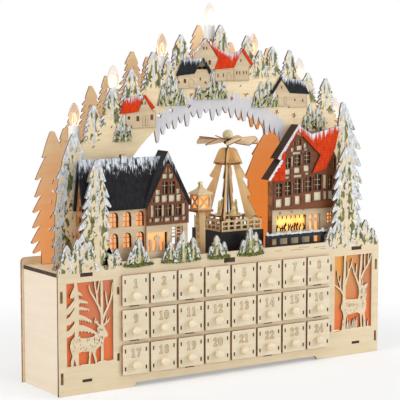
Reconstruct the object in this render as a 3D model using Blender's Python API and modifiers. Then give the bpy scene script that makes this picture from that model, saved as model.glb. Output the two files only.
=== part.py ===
"""Light-up wooden advent calendar: a plywood base with 24 drawers, a village of
cut-out houses and firs on its deck, a candle arch and a turning pyramid.

Metres, +Z up, the front faces -Y. The origin is on the ground, in the middle of
the calendar's footprint with its drawers shut.
"""
import math

import bmesh
import bpy
from mathutils import Matrix, Vector

# Sheets, gaps and fits
PLY = 0.003
THIN_PLY = 0.002
GAP = 0.0003
OVERRUN = 0.002
GLUE_LAP = 0.0005
WELD = 0.00001
FLUSH = 0.0001

# Base
BODY_WIDTH = 0.440
BODY_DEPTH = 0.088
BASE_HEIGHT = 0.140
DECK_TOP = 0.132
DECK_THICKNESS = 0.004
SIDE_INSET = 0.0025
FOOT_LENGTH = 0.093
FOOT_NOTCH = 0.0045
FOOT_SLOPE = 0.003
PANEL_CORNER = 0.005
BOTTOM_FLOOR = 0.0128
TAB_CLEARANCE = 0.0002

# Drawer bank
DRAWER_COLUMNS = 8
DRAWER_ROWS = 3
BANK_MARGIN = 0.00818
ROW_PITCH = 0.03834
DRAWER_FRONT_GAP = 0.00268
DRAWER_FRONT_HEIGHT = 0.0336
FRONT_LIFT = 0.00025
SLIDE_CLEARANCE = 0.0005
OPENING_MARGIN = 0.0003
TRAY_HEIGHT = 0.0308
TRAY_LENGTH = 0.078
TRAY_WALL = 0.0025
KNOB_DIAMETER = 0.010
KNOB_DROP = 0.008
KNOB_SINK = 0.0005
BANK_WALL_SETOUT = 0.0022
RACK_DEPTH = 0.080
SHELF_TAB = 0.012
WALL_TAB = 0.008
WALL_TAB_HEIGHTS = (0.0353, 0.1085)
SIDE_TAB = 0.0123
SIDE_TAB_HEIGHTS = (0.0193, 0.1073)
BOTTOM_TAB = 0.0115
BOTTOM_TAB_INSET = 0.0345
DECK_TAB = 0.015
DECK_TAB_INSET = 0.0345
DECK_SLOT_HEIGHT = 0.004

# Window scenes of the base
WINDOW_START = 0.010
WINDOW_WIDTH = 0.0575
WINDOW_FOOT = 0.0315
WINDOW_HEIGHT = 0.090
FRET_SETBACK = 0.0002
FILM = 0.0005
FILM_LAP = 0.0015

# Firs of the front edge
FIR_NOTCH_SHARE = 0.62
FIR_UNDERCUT_SHARE = 0.035
TIP_SHARE = 0.09
CLEAR_SHARE = 1.12
TALL_FIR_HEIGHT = 0.112
TALL_FIR_HALF = 0.0235
TALL_FIR_START = 0.048
SMALL_FIR_HEIGHT = 0.030
SMALL_FIR_HALF = 0.0105
CLUSTER_FOOT = 0.132
CLUSTER_HEIGHT = 0.044
CLUSTER_HALF = 0.019

# Arch panel and forest panel
ARCH_DEPTH_PLACE = 0.027
FOREST_DEPTH_PLACE = 0.075
CANDLE_LEAD = 0.025
SKYLINE_FIR_HEIGHT = 0.060
SKYLINE_FIR_HALF = 0.024
BRANCH_NOTCH = 0.0055
BRANCH_RISE = 0.004
ARCH_MARGIN = 0.080
ARCH_CENTRE_RISE = 0.033
FOREST_ARCH_MARGIN = 0.070
ICICLE_LENGTH = 0.012
ICICLE_TIP = 0.0012
ARCH_ICICLES = 22
FOREST_ICICLES = 18
ARCH_ICICLE_START = math.radians(42)
FOREST_ICICLE_START = math.radians(50)
STAR_RADIUS = 0.0032
STAR_WAIST_SHARE = 0.36
STAR_POINTS = 4
STAR_ORBIT = 0.0095

# Small houses on the arch panel
HAMLET_RELIEF = 0.0015

# Candles
CANDLE_DIAMETER = 0.012
CANDLE_DEPTH_PLACE = 0.042
BULB_LENGTH = 0.020
BULB_DIAMETER = 0.0115
SLEEVE_LENGTH = 0.034
CANDLE_HOLDER_WIDTH = 0.008
CANDLE_HOLDER_HEIGHT = 0.012
TOP_CANDLE = 0.421
CANDLE_FACETS = 9

# Left house
LEFT_HOUSE_START = 0.0355
LEFT_WING_WIDTH = 0.0775
LEFT_WING_HEIGHT = 0.0632
LEFT_GABLE_WIDTH = 0.054
LEFT_GABLE_HEIGHT = 0.114
LEFT_HOUSE_FRONT = 0.0056
WING_SETBACK = 0.0025
HOUSE_BACK_GAP = 0.0006
LEFT_EAVES = 0.068
ROOF_THICKNESS = 0.004
WING_ROOF_THICKNESS = 0.002
ROOF_OVERHANG = 0.003
LEFT_RIDGE = 0.119
LEFT_RIDGE_PLACE = 0.0147
LEFT_GABLE_APEX = 0.125
CHIMNEY_WIDTH = 0.007
CHIMNEY_HEIGHT = 0.009
CHIMNEY_SUNK_SHARE = 0.6
CHIMNEY_PLACE = 0.050
ARCHED_WINDOW_WIDTH = 0.0105
ARCHED_WINDOW_HEIGHT = 0.017
ARCHED_WINDOW_PITCH = 0.0165
ARCHED_WINDOW_FLOORS = (0.0209, 0.0440)
ARCHED_WINDOW_START = 0.0330
SIDE_WINDOW = 0.0035
SIDE_WINDOW_HEIGHT = 0.005

# Right house
RIGHT_HOUSE_MARGIN = 0.056
RIGHT_HOUSE_WIDTH = 0.093
RIGHT_HOUSE_HEIGHT = 0.148
RIGHT_HOUSE_FRONT = 0.0153
PERSPECTIVE_SHARE = 0.272
VANISHING_SHARE = 0.37
PERSPECTIVE_LEVEL_SHARE = 0.16

# Garden fence
GARDEN_FENCE_MARGIN = 0.063
GARDEN_FENCE_WIDTH = 0.101
GARDEN_FENCE_PLACE = 0.0058
GARDEN_FENCE_HEIGHT = 0.0215
GARDEN_RAIL = 0.0035
GARDEN_POST = 0.0032
GARDEN_BAYS = 9

# Pyramid
PYRAMID_OFFSET = 0.026
PYRAMID_PLACE = 0.042
PLINTH_WIDTH = 0.060
PLINTH_HEIGHT = 0.028
LATTICE_HEIGHT = 0.0145
LATTICE_BAR = 0.0016
LATTICE_POST = 0.0045
LATTICE_POST_RISE = 0.003
FRAME_HEIGHT = 0.094
FRAME_HALF = 0.034
COLLAR_RADIUS = 0.0145
COLLAR_HEIGHT = 0.078
ROD_RADIUS = 0.0013
BORE_RADIUS = 0.0018
BORE_FACETS = 10
FIGURE_FACETS = 6
ROUND_FACETS = 16
LATTICE_COLUMNS = 5
LATTICE_ROWS = 2
ROD_RISE = 0.103
TURNTABLE_RADIUS = 0.0175
TURNTABLE_HEIGHT = 0.0145
FIGURES = 4
FIGURE_HEIGHT = 0.017
FIGURE_RADIUS = 0.0032
FIGURE_ORBIT = 0.0115
ROTOR_RADIUS = 0.036
ROTOR_BLADES = 8
BLADE_WIDTH = 0.019
BLADE_THICKNESS = 0.0012
BLADE_TILT = math.radians(24)
HUB_RADIUS = 0.0085
HUB_HEIGHT = 0.0055
ROTOR_RISE = 0.0985
ROTOR_BALL_DIAMETER = 0.0125

# Street lamp
LAMP_OFFSET = 0.026
LAMP_PLACE = 0.0205
LAMP_POST = 0.008
LAMP_POST_HEIGHT = 0.053
LAMP_SHELF = 0.021
LAMP_HEAD = 0.0175
LAMP_CORNER = 0.0022
LAMP_CAP_HEIGHT = 0.0145

# Battery box, switch and window lamps
BATTERY_BOX_WIDTH = 0.050
BATTERY_BOX_HEIGHT = 0.064
BATTERY_BOX_DEPTH = 0.020
BATTERY_BOX_START = 0.012
BATTERY_BOX_FOOT = 0.032
BATTERY_WALL = 0.0018
COVER_HEIGHT = 0.040
COVER_THICKNESS = 0.0016
COVER_TRAVEL = 0.008
SWITCH_WIDTH = 0.005
SWITCH_HEIGHT = 0.003
SWITCH_DEPTH = 0.0035
SWITCH_TRAVEL = 0.004
WINDOW_LAMP_RADIUS = 0.008
WINDOW_LAMP_HEIGHT = 0.034

# Places that follow from the sizes above
DRAWER_PITCH = (BODY_WIDTH - 2 * (WINDOW_START + WINDOW_WIDTH + BANK_MARGIN)) / DRAWER_COLUMNS
DRAWER_FRONT_WIDTH = DRAWER_PITCH - DRAWER_FRONT_GAP
BOTTOM_TAB_REACH = BODY_WIDTH / 2 - BOTTOM_TAB_INSET
DECK_TAB_REACH = BODY_WIDTH / 2 - DECK_TAB_INSET
SKYLINE_HEIGHT = TOP_CANDLE - DECK_TOP - CANDLE_LEAD
ARCH_RADIUS = BODY_WIDTH / 2 - ARCH_MARGIN
FOREST_ARCH_RADIUS = BODY_WIDTH / 2 - FOREST_ARCH_MARGIN
RIGHT_HOUSE_START = BODY_WIDTH - RIGHT_HOUSE_MARGIN - RIGHT_HOUSE_WIDTH
GARDEN_FENCE_START = BODY_WIDTH - GARDEN_FENCE_MARGIN - GARDEN_FENCE_WIDTH
PYRAMID_START = BODY_WIDTH / 2 + PYRAMID_OFFSET
LAMP_START = BODY_WIDTH / 2 - LAMP_OFFSET
KNOB_REACH = GAP + PLY + KNOB_DIAMETER - KNOB_SINK
FRONT = (KNOB_REACH - BODY_DEPTH) / 2
BACK = FRONT + BODY_DEPTH
LEFT = -BODY_WIDTH / 2
INNER_FRONT = FRONT + PLY + GAP
INNER_BACK = BACK - PLY - GAP
INNER_DEPTH = INNER_BACK - INNER_FRONT
DECK_UNDERSIDE = DECK_TOP - DECK_THICKNESS
STAND = DECK_TOP + GAP
SHELF_ZERO = BOTTOM_FLOOR + PLY / 2
BANK_WALL_REACH = DRAWER_COLUMNS * DRAWER_PITCH / 2 + BANK_WALL_SETOUT
TRAY_WIDTH = DRAWER_PITCH - PLY - 2 * SLIDE_CLEARANCE
TRAY_FLOOR = PLY / 2 + GAP
SIDE_CENTRE = BODY_WIDTH / 2 - SIDE_INSET - PLY / 2

# Shapes as shares of the sizes that they follow
FIR_TIER_SHARES = ((0.18, 0.43), (0.33, 0.60), (0.47, 0.72), (0.61, 0.84), (0.76, 0.95), (0.90, 1.0))
SKYLINE_SHARES = (
    (0.080, 0.553, 1.1), (0.136, 0.670, 1.0), (0.189, 0.739, 1.0), (0.245, 0.814, 1.0),
    (0.309, 0.886, 1.1), (0.352, 0.856, 0.9), (0.393, 0.958, 1.0), (0.466, 0.943, 1.3),
    (0.514, 1.000, 1.0), (0.598, 0.955, 1.1), (0.639, 0.890, 0.9), (0.680, 0.905, 0.9),
    (0.736, 0.890, 1.1), (0.798, 0.788, 1.0), (0.859, 0.761, 1.1), (0.920, 0.648, 1.1))
LEFT_EDGE_SHARES = ((0.052, 0.447), (0.034, 0.379), (0.032, 0.299), (0.023, 0.235), (0.023, 0.167),
                    (0.020, 0.098))
RIGHT_EDGE_SHARES = ((0.959, 0.527), (0.982, 0.436), (0.984, 0.354), (0.990, 0.277), (0.990, 0.200),
                     (0.984, 0.098))
FOREST_EDGE_SHARES = ((0.680, 0.303), (0.670, 0.314), (0.698, 0.409), (0.693, 0.417), (0.732, 0.504),
                      (0.730, 0.530))
ICICLE_LENGTH_SHARES = (0.8, 1.1, 0.6, 0.95, 0.7, 1.2, 0.85, 0.6, 1.15)
STAR_ANGLE_SHARES = (0.26, 0.315, 0.375, 0.43, 0.555, 0.60, 0.665, 0.725)
CANDLE_PLACE_SHARES = ((0.100, 0.622), (0.211, 0.759), (0.355, 0.881), (0.500, 1.0),
                       (0.639, 0.881), (0.793, 0.780), (0.916, 0.616))


# Tools of the workshop

def remove_everything():
    for item in list(bpy.data.objects):
        bpy.data.objects.remove(item, do_unlink=True)


def collection_named(name):
    made = bpy.data.collections.new(name)
    bpy.context.scene.collection.children.link(made)
    return made


def material(name, colour, roughness, metallic=0.0):
    made = bpy.data.materials.new(name)
    made.use_nodes = True
    surface = made.node_tree.nodes["Principled BSDF"]
    surface.inputs["Base Color"].default_value = (*colour, 1.0)
    surface.inputs["Roughness"].default_value = roughness
    surface.inputs["Metallic"].default_value = metallic
    made.diffuse_color = (*colour, 1.0)
    return made


def new_object(name, mesh, finish=None):
    made = bpy.data.objects.new(name, mesh)
    if finish is not None:
        mesh.materials.clear()
        mesh.materials.append(finish)
    PARTS.objects.link(made)
    return made


def settle(item):
    """Moves an object's place into its mesh, so that the object stands at the origin."""
    bpy.context.view_layer.update()
    item.data.transform(item.matrix_world)
    item.matrix_world = Matrix.Identity(4)
    return item


def box(name, low, high, finish=None):
    """An upright block between two corners."""
    bm = bmesh.new()
    bmesh.ops.create_cube(bm, size=1.0)
    size = Vector(high) - Vector(low)
    bmesh.ops.scale(bm, vec=size, verts=bm.verts)
    bmesh.ops.translate(bm, vec=Vector(low) + size / 2, verts=bm.verts)
    mesh = bpy.data.meshes.new(name)
    bm.to_mesh(mesh)
    bm.free()
    return new_object(name, mesh, finish)


def boxes(name, corners, finish=None):
    """Several separate blocks in one mesh, for a cutter or for a set of tabs."""
    bm = bmesh.new()
    for low, high in corners:
        size = Vector(high) - Vector(low)
        made = bmesh.ops.create_cube(bm, size=1.0)["verts"]
        bmesh.ops.scale(bm, vec=size, verts=made)
        bmesh.ops.translate(bm, vec=Vector(low) + size / 2, verts=made)
    mesh = bpy.data.meshes.new(name)
    bm.to_mesh(mesh)
    bm.free()
    return new_object(name, mesh, finish)


def sheet(name, loops, thickness, finish=None, place=(0, 0, 0), turn=(0, 0, 0)):
    """A flat sheet cut to an outline with holes: a filled 2D curve with thickness, made a mesh."""
    curve = bpy.data.curves.new(name, "CURVE")
    curve.dimensions = "2D"
    curve.fill_mode = "BOTH"
    curve.extrude = thickness / 2
    for loop in loops:
        spline = curve.splines.new("POLY")
        spline.points.add(len(loop) - 1)
        for point, (u, v) in zip(spline.points, loop):
            point.co = (u, v, 0, 1)
        spline.use_cyclic_u = True
    drawn = bpy.data.objects.new(name + "_outline", curve)
    PARTS.objects.link(drawn)
    drawn.location = place
    drawn.rotation_euler = turn
    bpy.context.view_layer.update()
    evaluated = drawn.evaluated_get(bpy.context.evaluated_depsgraph_get())
    mesh = bpy.data.meshes.new_from_object(evaluated)
    mesh.transform(drawn.matrix_world)
    bm = bmesh.new()
    bm.from_mesh(mesh)
    bmesh.ops.remove_doubles(bm, verts=bm.verts, dist=WELD)
    bmesh.ops.recalc_face_normals(bm, faces=bm.faces)
    faces = [face for face in bm.faces if len(face.verts) == 3]
    inner = [edge for edge in bm.edges if all(len(face.verts) == 3 for face in edge.link_faces)]
    bmesh.ops.beautify_fill(bm, faces=faces, edges=inner)
    bm.to_mesh(mesh)
    bm.free()
    bpy.data.objects.remove(drawn, do_unlink=True)
    mesh.name = name
    return new_object(name, mesh, finish)


def upright(name, loops, thickness, front, finish=None, left=LEFT, foot=0.0):
    """A sheet that stands across the calendar, its front face at the given depth."""
    return sheet(name, loops, thickness, finish, (left, front + thickness / 2, foot), (math.pi / 2, 0, 0))


def lying(name, loops, thickness, foot, finish=None, left=LEFT, front=0.0):
    """A sheet that lies flat, its underside at the given height."""
    return sheet(name, loops, thickness, finish, (left, front, foot + thickness / 2))


def sideways(name, loops, thickness, left, finish=None, front=0.0, foot=0.0):
    """A sheet that stands along the depth of the calendar."""
    return sheet(name, loops, thickness, finish, (left + thickness / 2, front, foot),
                 (math.pi / 2, 0, math.pi / 2))


def combine(target, tool, operation="UNION"):
    """Joins a tool to the target, or cuts it out, and removes the tool."""
    change = target.modifiers.new(operation, "BOOLEAN")
    change.operation = operation
    change.object = tool
    change.solver = "EXACT"
    bpy.context.view_layer.update()
    evaluated = target.evaluated_get(bpy.context.evaluated_depsgraph_get())
    result = bpy.data.meshes.new_from_object(evaluated)
    target.modifiers.clear()
    finishes = list(target.data.materials)
    target.data = result
    result.materials.clear()
    for finish in finishes:
        result.materials.append(finish)
    bm = bmesh.new()
    bm.from_mesh(result)
    bmesh.ops.remove_doubles(bm, verts=bm.verts, dist=WELD)
    bmesh.ops.dissolve_degenerate(bm, edges=bm.edges, dist=WELD)
    bm.to_mesh(result)
    bm.free()
    bpy.data.objects.remove(tool, do_unlink=True)
    return target


def turned(name, profile, steps, finish=None, place=(0, 0, 0), turn=(0, 0, 0)):
    """A turned piece: a half profile (radius, height), top to bottom, spun by a Screw modifier."""
    mesh = bpy.data.meshes.new(name)
    points = [(radius, 0, height) for radius, height in profile]
    mesh.from_pydata(points, [(i, i + 1) for i in range(len(points) - 1)], [])
    spun = new_object(name, mesh)
    screw = spun.modifiers.new("Turn", "SCREW")
    screw.steps = steps
    screw.render_steps = steps
    screw.use_merge_vertices = True
    screw.merge_threshold = WELD
    screw.use_smooth_shade = False
    spun.location = place
    spun.rotation_euler = turn
    bpy.context.view_layer.update()
    evaluated = spun.evaluated_get(bpy.context.evaluated_depsgraph_get())
    result = bpy.data.meshes.new_from_object(evaluated)
    spun.modifiers.clear()
    spun.data = result
    bm = bmesh.new()
    bm.from_mesh(result)
    bmesh.ops.remove_doubles(bm, verts=bm.verts, dist=WELD)
    bmesh.ops.recalc_face_normals(bm, faces=bm.faces)
    bm.to_mesh(result)
    bm.free()
    if finish is not None:
        result.materials.append(finish)
    return settle(spun)


def rounded(item):
    """Smooth shading with sharp edges kept, for a round piece."""
    item.data.shade_smooth()
    item.data.set_sharp_from_angle(angle=math.radians(35))
    return item


def rectangle(low_u, low_v, high_u, high_v):
    return [(low_u, low_v), (high_u, low_v), (high_u, high_v), (low_u, high_v)]


def around(centre, middle, width, height):
    """A rectangle about a middle point."""
    return rectangle(centre - width / 2, middle - height / 2, centre + width / 2, middle + height / 2)


def arc(centre, middle, radius, start, end, count):
    """Points along an arc, angles in radians."""
    step = (end - start) / (count - 1)
    return [(centre + radius * math.cos(start + step * i), middle + radius * math.sin(start + step * i))
            for i in range(count)]


def scaled(shares, width, height):
    """An outline given as shares of a width and a height."""
    return [(width * u, height * v) for u, v in shares]


def moved(loop, across, up):
    return [(u + across, v + up) for u, v in loop]


def star(centre, middle, radius):
    """A four-pointed star."""
    points = []
    for i in range(2 * STAR_POINTS):
        reach = radius if i % 2 == 0 else radius * STAR_WAIST_SHARE
        angle = i * math.pi / STAR_POINTS
        points.append((centre + reach * math.cos(angle), middle + reach * math.sin(angle)))
    return points


# Firs and the contours they make

def fir_flank(height, half, depth, room=BODY_WIDTH):
    """One side of a fir, from its tip down to a depth: (distance from the trunk, depth below the tip)."""
    points = [(half * TIP_SHARE, 0.0)]
    for tier_share, width_share in FIR_TIER_SHARES:
        lowest = height * (tier_share + FIR_UNDERCUT_SHARE) * CLEAR_SHARE
        if lowest > depth or half * width_share * CLEAR_SHARE > room:
            break
        points.append((half * width_share, height * tier_share))
        points.append((half * width_share * FIR_NOTCH_SHARE, height * (tier_share + FIR_UNDERCUT_SHARE)))
    return points


def valley(first, second, foot):
    """Where two neighbouring firs meet; each is (place, tip, height, half width)."""
    first_slope = first[3] / first[2]
    second_slope = second[3] / second[2]
    level = first_slope * first[1] + second_slope * second[1] - (second[0] - first[0])
    level /= first_slope + second_slope
    level = max(level, foot)
    middle = first[0] + first_slope * (first[1] - level)
    return middle, level


def contour(firs, foot):
    """The edge made by a row of firs, left to right, between their outer feet."""
    points = []
    for i, (place, tip, height, half) in enumerate(firs):
        left, left_level = (place - BODY_WIDTH, foot) if i == 0 else valley(firs[i - 1], firs[i], foot)
        last = i == len(firs) - 1
        right, right_level = (place + BODY_WIDTH, foot) if last else valley(firs[i], firs[i + 1], foot)
        if left_level <= foot:
            left = place - BODY_WIDTH
        if right_level <= foot:
            right = place + BODY_WIDTH
        rising = fir_flank(height, half, tip - left_level, place - left)
        falling = fir_flank(height, half, tip - right_level, right - place)
        points += [(place - across, tip - down) for across, down in reversed(rising)]
        points += [(place + across, tip - down) for across, down in falling]
        if i < len(firs) - 1:
            across, level = valley(firs[i], firs[i + 1], foot)
            points.append((across, level))
            if level <= foot and firs[i + 1][0] - place > 2 * half / height * (tip - foot):
                next_place, next_tip, next_height, next_half = firs[i + 1]
                points.append((next_place - next_half / next_height * (next_tip - foot), foot))
    return points


def fir(place, foot, height, half):
    """A single fir that stands on a foot line."""
    flank = fir_flank(height, half, height)
    left = [(place - across, foot + height - down) for across, down in reversed(flank)]
    right = [(place + across, foot + height - down) for across, down in flank]
    return [(place - half * FIR_NOTCH_SHARE, foot)] + left + right + [(place + half * FIR_NOTCH_SHARE, foot)]


# Base

def drawer_centre(column):
    """A drawer's middle, as a distance from the middle of the calendar."""
    return (column - (DRAWER_COLUMNS - 1) / 2) * DRAWER_PITCH


def shelf_height(level):
    """The middle of a shelf: level 0 is the bottom panel."""
    return SHELF_ZERO + ROW_PITCH * level


def tab_columns(level):
    """The columns of drawers under which a shelf's tabs show in the front panel."""
    inner = (DRAWER_COLUMNS // 4, DRAWER_COLUMNS - 1 - DRAWER_COLUMNS // 4)
    return inner if level == 0 else (0, *inner, DRAWER_COLUMNS - 1)


def drawer_opening(column, level):
    """An opening of the front panel, with a notch for a shelf's tab in its foot."""
    middle = BODY_WIDTH / 2 + drawer_centre(column)
    half = TRAY_WIDTH / 2 + OPENING_MARGIN
    low = shelf_height(level) + PLY / 2
    high = shelf_height(level) + TRAY_FLOOR + TRAY_HEIGHT + OPENING_MARGIN
    loop = [(middle - half, low)]
    if column in tab_columns(level):
        notch_half = SHELF_TAB / 2 + TAB_CLEARANCE
        notch_low = low - PLY - TAB_CLEARANCE
        loop += [(middle - notch_half, low), (middle - notch_half, notch_low),
                 (middle + notch_half, notch_low), (middle + notch_half, low)]
    return loop + [(middle + half, low), (middle + half, high), (middle - half, high)]


def slots():
    """The slots that the tabs of the base's sheets come through, in the front and back panels."""
    room = 2 * TAB_CLEARANCE
    loops = []
    for side in (-1, 1):
        middle = BODY_WIDTH / 2 + side * SIDE_CENTRE
        for height in SIDE_TAB_HEIGHTS:
            loops.append(around(middle, height, PLY + room, SIDE_TAB + room))
        wall = BODY_WIDTH / 2 + side * BANK_WALL_REACH
        for height in WALL_TAB_HEIGHTS:
            loops.append(around(wall, height, PLY + room, WALL_TAB + room))
        bottom = BODY_WIDTH / 2 + side * BOTTOM_TAB_REACH
        loops.append(around(bottom, SHELF_ZERO, BOTTOM_TAB + room, PLY + room))
    for side in (-1, 0, 1):
        middle = BODY_WIDTH / 2 + side * DECK_TAB_REACH
        loops.append(around(middle, DECK_TOP - DECK_THICKNESS / 2, DECK_TAB + room, DECK_SLOT_HEIGHT + room))
    return loops


def ground_plan_foot():
    """The lower edge of the front and back panels: two feet with a raised stretch between them."""
    start = FOOT_LENGTH
    end = BODY_WIDTH - FOOT_LENGTH
    return [(0, 0), (start, 0), (start + FOOT_SLOPE, FOOT_NOTCH), (end - FOOT_SLOPE, FOOT_NOTCH),
            (end, 0), (BODY_WIDTH, 0)]


def front_firs():
    """The firs cut into the front panel's upper edge: (place, tip, height, half width)."""
    tall = (TALL_FIR_HEIGHT, TALL_FIR_HALF)
    small = (SMALL_FIR_HEIGHT, SMALL_FIR_HALF)
    top = BASE_HEIGHT
    left_tall = TALL_FIR_START
    right_tall = BODY_WIDTH - TALL_FIR_START - PLY
    low_share = 0.8
    return (
        (SMALL_FIR_HALF, top + small[0] * low_share, small[0] * low_share, small[1] * low_share),
        (2 * SMALL_FIR_HALF, top + small[0], *small),
        (left_tall, top + tall[0], *tall),
        (right_tall, top + tall[0], *tall),
        (right_tall + TALL_FIR_HALF + SMALL_FIR_HALF * low_share, top + small[0], *small),
        (BODY_WIDTH - SMALL_FIR_HALF, top + small[0] * low_share / 2, small[0] * low_share / 2,
         small[1] * low_share))


WINDOW_GROUND_SHARES = ((0.0, 0.10), (0.2, 0.06), (0.45, 0.10), (0.7, 0.05), (0.88, 0.09), (1.0, 0.06))
DEER_SHARES = (
    (0.30, 0.02), (0.32, 0.20), (0.28, 0.30), (0.29, 0.44), (0.36, 0.50), (0.55, 0.50),
    (0.60, 0.56), (0.62, 0.68), (0.57, 0.72), (0.48, 0.86), (0.53, 0.98), (0.565, 0.97), (0.53, 0.86),
    (0.60, 0.76), (0.63, 0.78), (0.64, 0.90), (0.72, 1.0), (0.745, 0.985), (0.675, 0.88), (0.665, 0.77),
    (0.69, 0.72), (0.76, 0.66), (0.75, 0.63), (0.68, 0.62), (0.66, 0.50), (0.64, 0.38), (0.66, 0.22),
    (0.655, 0.02), (0.625, 0.02), (0.62, 0.20), (0.58, 0.34), (0.42, 0.32), (0.38, 0.20), (0.345, 0.02))
DOE_SHARES = (
    (0.24, 0.02), (0.26, 0.28), (0.20, 0.42), (0.22, 0.60), (0.32, 0.68), (0.52, 0.66),
    (0.58, 0.76), (0.62, 0.90), (0.58, 0.99), (0.64, 0.97), (0.67, 1.0), (0.70, 0.95), (0.80, 0.88),
    (0.79, 0.84),
    (0.70, 0.83), (0.66, 0.66), (0.63, 0.50), (0.65, 0.28), (0.645, 0.02), (0.60, 0.02), (0.59, 0.26),
    (0.54, 0.42), (0.38, 0.44), (0.33, 0.26), (0.30, 0.02))
DEER_HEIGHT_SHARE = 0.72
DOE_HEIGHT_SHARE = 0.50
FIGURE_RISE_SHARE = 0.047


def window_figures(start, figure_shares, height_share, trunk_shares, firs_shares):
    """The fretwork left standing in a window: an animal, trunks and firs on the ground line."""
    figure = scaled(figure_shares, WINDOW_WIDTH, WINDOW_HEIGHT * height_share)
    figures = [moved(figure, start, WINDOW_FOOT + WINDOW_HEIGHT * FIGURE_RISE_SHARE)]
    low = WINDOW_FOOT - GLUE_LAP
    high = WINDOW_FOOT + WINDOW_HEIGHT + GLUE_LAP
    for foot_share, top_share, width_share in trunk_shares:
        foot_u = start + WINDOW_WIDTH * foot_share
        top_u = start + WINDOW_WIDTH * top_share
        half = WINDOW_WIDTH * width_share / 2
        figures.append([(foot_u - half, low), (foot_u + half, low), (top_u + half / 2, high),
                        (top_u - half / 2, high)])
    for place_share, height_part_share, half_share in firs_shares:
        figures.append(fir(start + WINDOW_WIDTH * place_share, low, WINDOW_HEIGHT * height_part_share,
                           WINDOW_WIDTH * half_share))
    return figures


def window_hole(start):
    """A window's opening above its wavy ground line."""
    ground = [(start + WINDOW_WIDTH * u, WINDOW_FOOT + WINDOW_HEIGHT * v) for u, v in WINDOW_GROUND_SHARES]
    high = WINDOW_FOOT + WINDOW_HEIGHT
    return ground + [(start + WINDOW_WIDTH, high), (start, high)]


def panel_corner(side):
    """A rounded upper corner of the front or back panel."""
    if side > 0:
        return arc(BODY_WIDTH - PANEL_CORNER, BASE_HEIGHT - PANEL_CORNER, PANEL_CORNER, 0, math.pi / 2, 4)
    return arc(PANEL_CORNER, BASE_HEIGHT - PANEL_CORNER, PANEL_CORNER, math.pi / 2, math.pi, 4)


CLUSTER_SHARES = (
    (0.225, ((0.0, 1.0), (0.45, 0.62), (-0.45, 0.55))),
    (0.351, ((0.1, 1.0), (-0.75, 0.72), (0.95, 0.70), (-0.3, 0.75))),
    (0.463, ((-0.2, 0.72), (0.55, 0.52))),
    (0.567, ((0.0, 0.80), (0.7, 0.50), (-0.7, 0.46))))


def cluster_outline(middle, members):
    """A group of small firs on a bushy foot."""
    firs = sorted((middle + CLUSTER_HALF * place_share, CLUSTER_FOOT + CLUSTER_HEIGHT * tip_share,
                   CLUSTER_HEIGHT * tip_share, CLUSTER_HALF * tip_share * 0.62)
                  for place_share, tip_share in members)
    hem = CLUSTER_FOOT + CLUSTER_HEIGHT * 0.12
    top = contour(firs, hem)
    left = top[0][0] - CLUSTER_HALF * 0.12
    right = top[-1][0] + CLUSTER_HALF * 0.12
    count = 5
    hems = []
    for i in range(count):
        share = i / (count - 1)
        dip = CLUSTER_HEIGHT * 0.1 * math.sin(math.pi * share)
        hems.append((right + (left - right) * share, hem - CLUSTER_HEIGHT * 0.03 - dip))
    return top + hems


def front_panel(finish):
    top = contour(front_firs(), BASE_HEIGHT)
    outline = ground_plan_foot() + panel_corner(1) + list(reversed(top)) + panel_corner(-1)
    loops = [outline] + slots()
    for level in range(DRAWER_ROWS):
        loops += [drawer_opening(column, level) for column in range(DRAWER_COLUMNS)]
    right_start = BODY_WIDTH - WINDOW_START - WINDOW_WIDTH
    loops += [window_hole(WINDOW_START), window_hole(right_start)]
    panel = upright("front_panel", loops, PLY, FRONT, finish)
    left_figures = window_figures(
        WINDOW_START, DEER_SHARES, DEER_HEIGHT_SHARE,
        ((0.84, 0.80, 0.06),), ((0.16, 0.92, 0.17),))
    right_figures = window_figures(
        right_start, DOE_SHARES, DOE_HEIGHT_SHARE,
        ((0.20, 0.30, 0.06), (0.86, 0.80, 0.07)), ())
    for figures in (left_figures, right_figures):
        for i, loop in enumerate(figures):
            setback = FRET_SETBACK * (i + 1)
            combine(panel, upright("fret", [loop], PLY - 2 * setback, FRONT + setback))
    for place_share, members in CLUSTER_SHARES:
        loop = cluster_outline(BODY_WIDTH * place_share, members)
        combine(panel, upright("cluster", [loop], THIN_PLY + GLUE_LAP, FRONT - THIN_PLY))
    return panel


def battery_window():
    """The opening of the back panel that the battery box looks out of."""
    low = (BATTERY_BOX_START - GAP, BATTERY_BOX_FOOT - GAP)
    return rectangle(*low, low[0] + BATTERY_BOX_WIDTH + 2 * GAP, low[1] + BATTERY_BOX_HEIGHT + 2 * GAP)


def back_panel(finish):
    outline = ground_plan_foot() + panel_corner(1) + panel_corner(-1)
    return upright("back_panel", [outline, battery_window()] + slots(), PLY, BACK - PLY, finish)


def side_panel(side, name, finish):
    """A side of the base, with tabs through the front and back panels."""
    high = DECK_UNDERSIDE - GAP
    front, back = INNER_FRONT - FRONT, INNER_BACK - FRONT
    tab = PLY + GAP
    loop = [(front, 0)]
    for height in SIDE_TAB_HEIGHTS:
        low_v, high_v = height - SIDE_TAB / 2, height + SIDE_TAB / 2
        loop += [(front, low_v), (front - tab, low_v), (front - tab, high_v), (front, high_v)]
    loop += [(front, high), (back, high)]
    for height in reversed(SIDE_TAB_HEIGHTS):
        low_v, high_v = height - SIDE_TAB / 2, height + SIDE_TAB / 2
        loop += [(back, high_v), (back + tab, high_v), (back + tab, low_v), (back, low_v)]
    loop.append((back, 0))
    return sideways(name, [loop], PLY, side * SIDE_CENTRE - PLY / 2, finish, front=FRONT)


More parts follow.
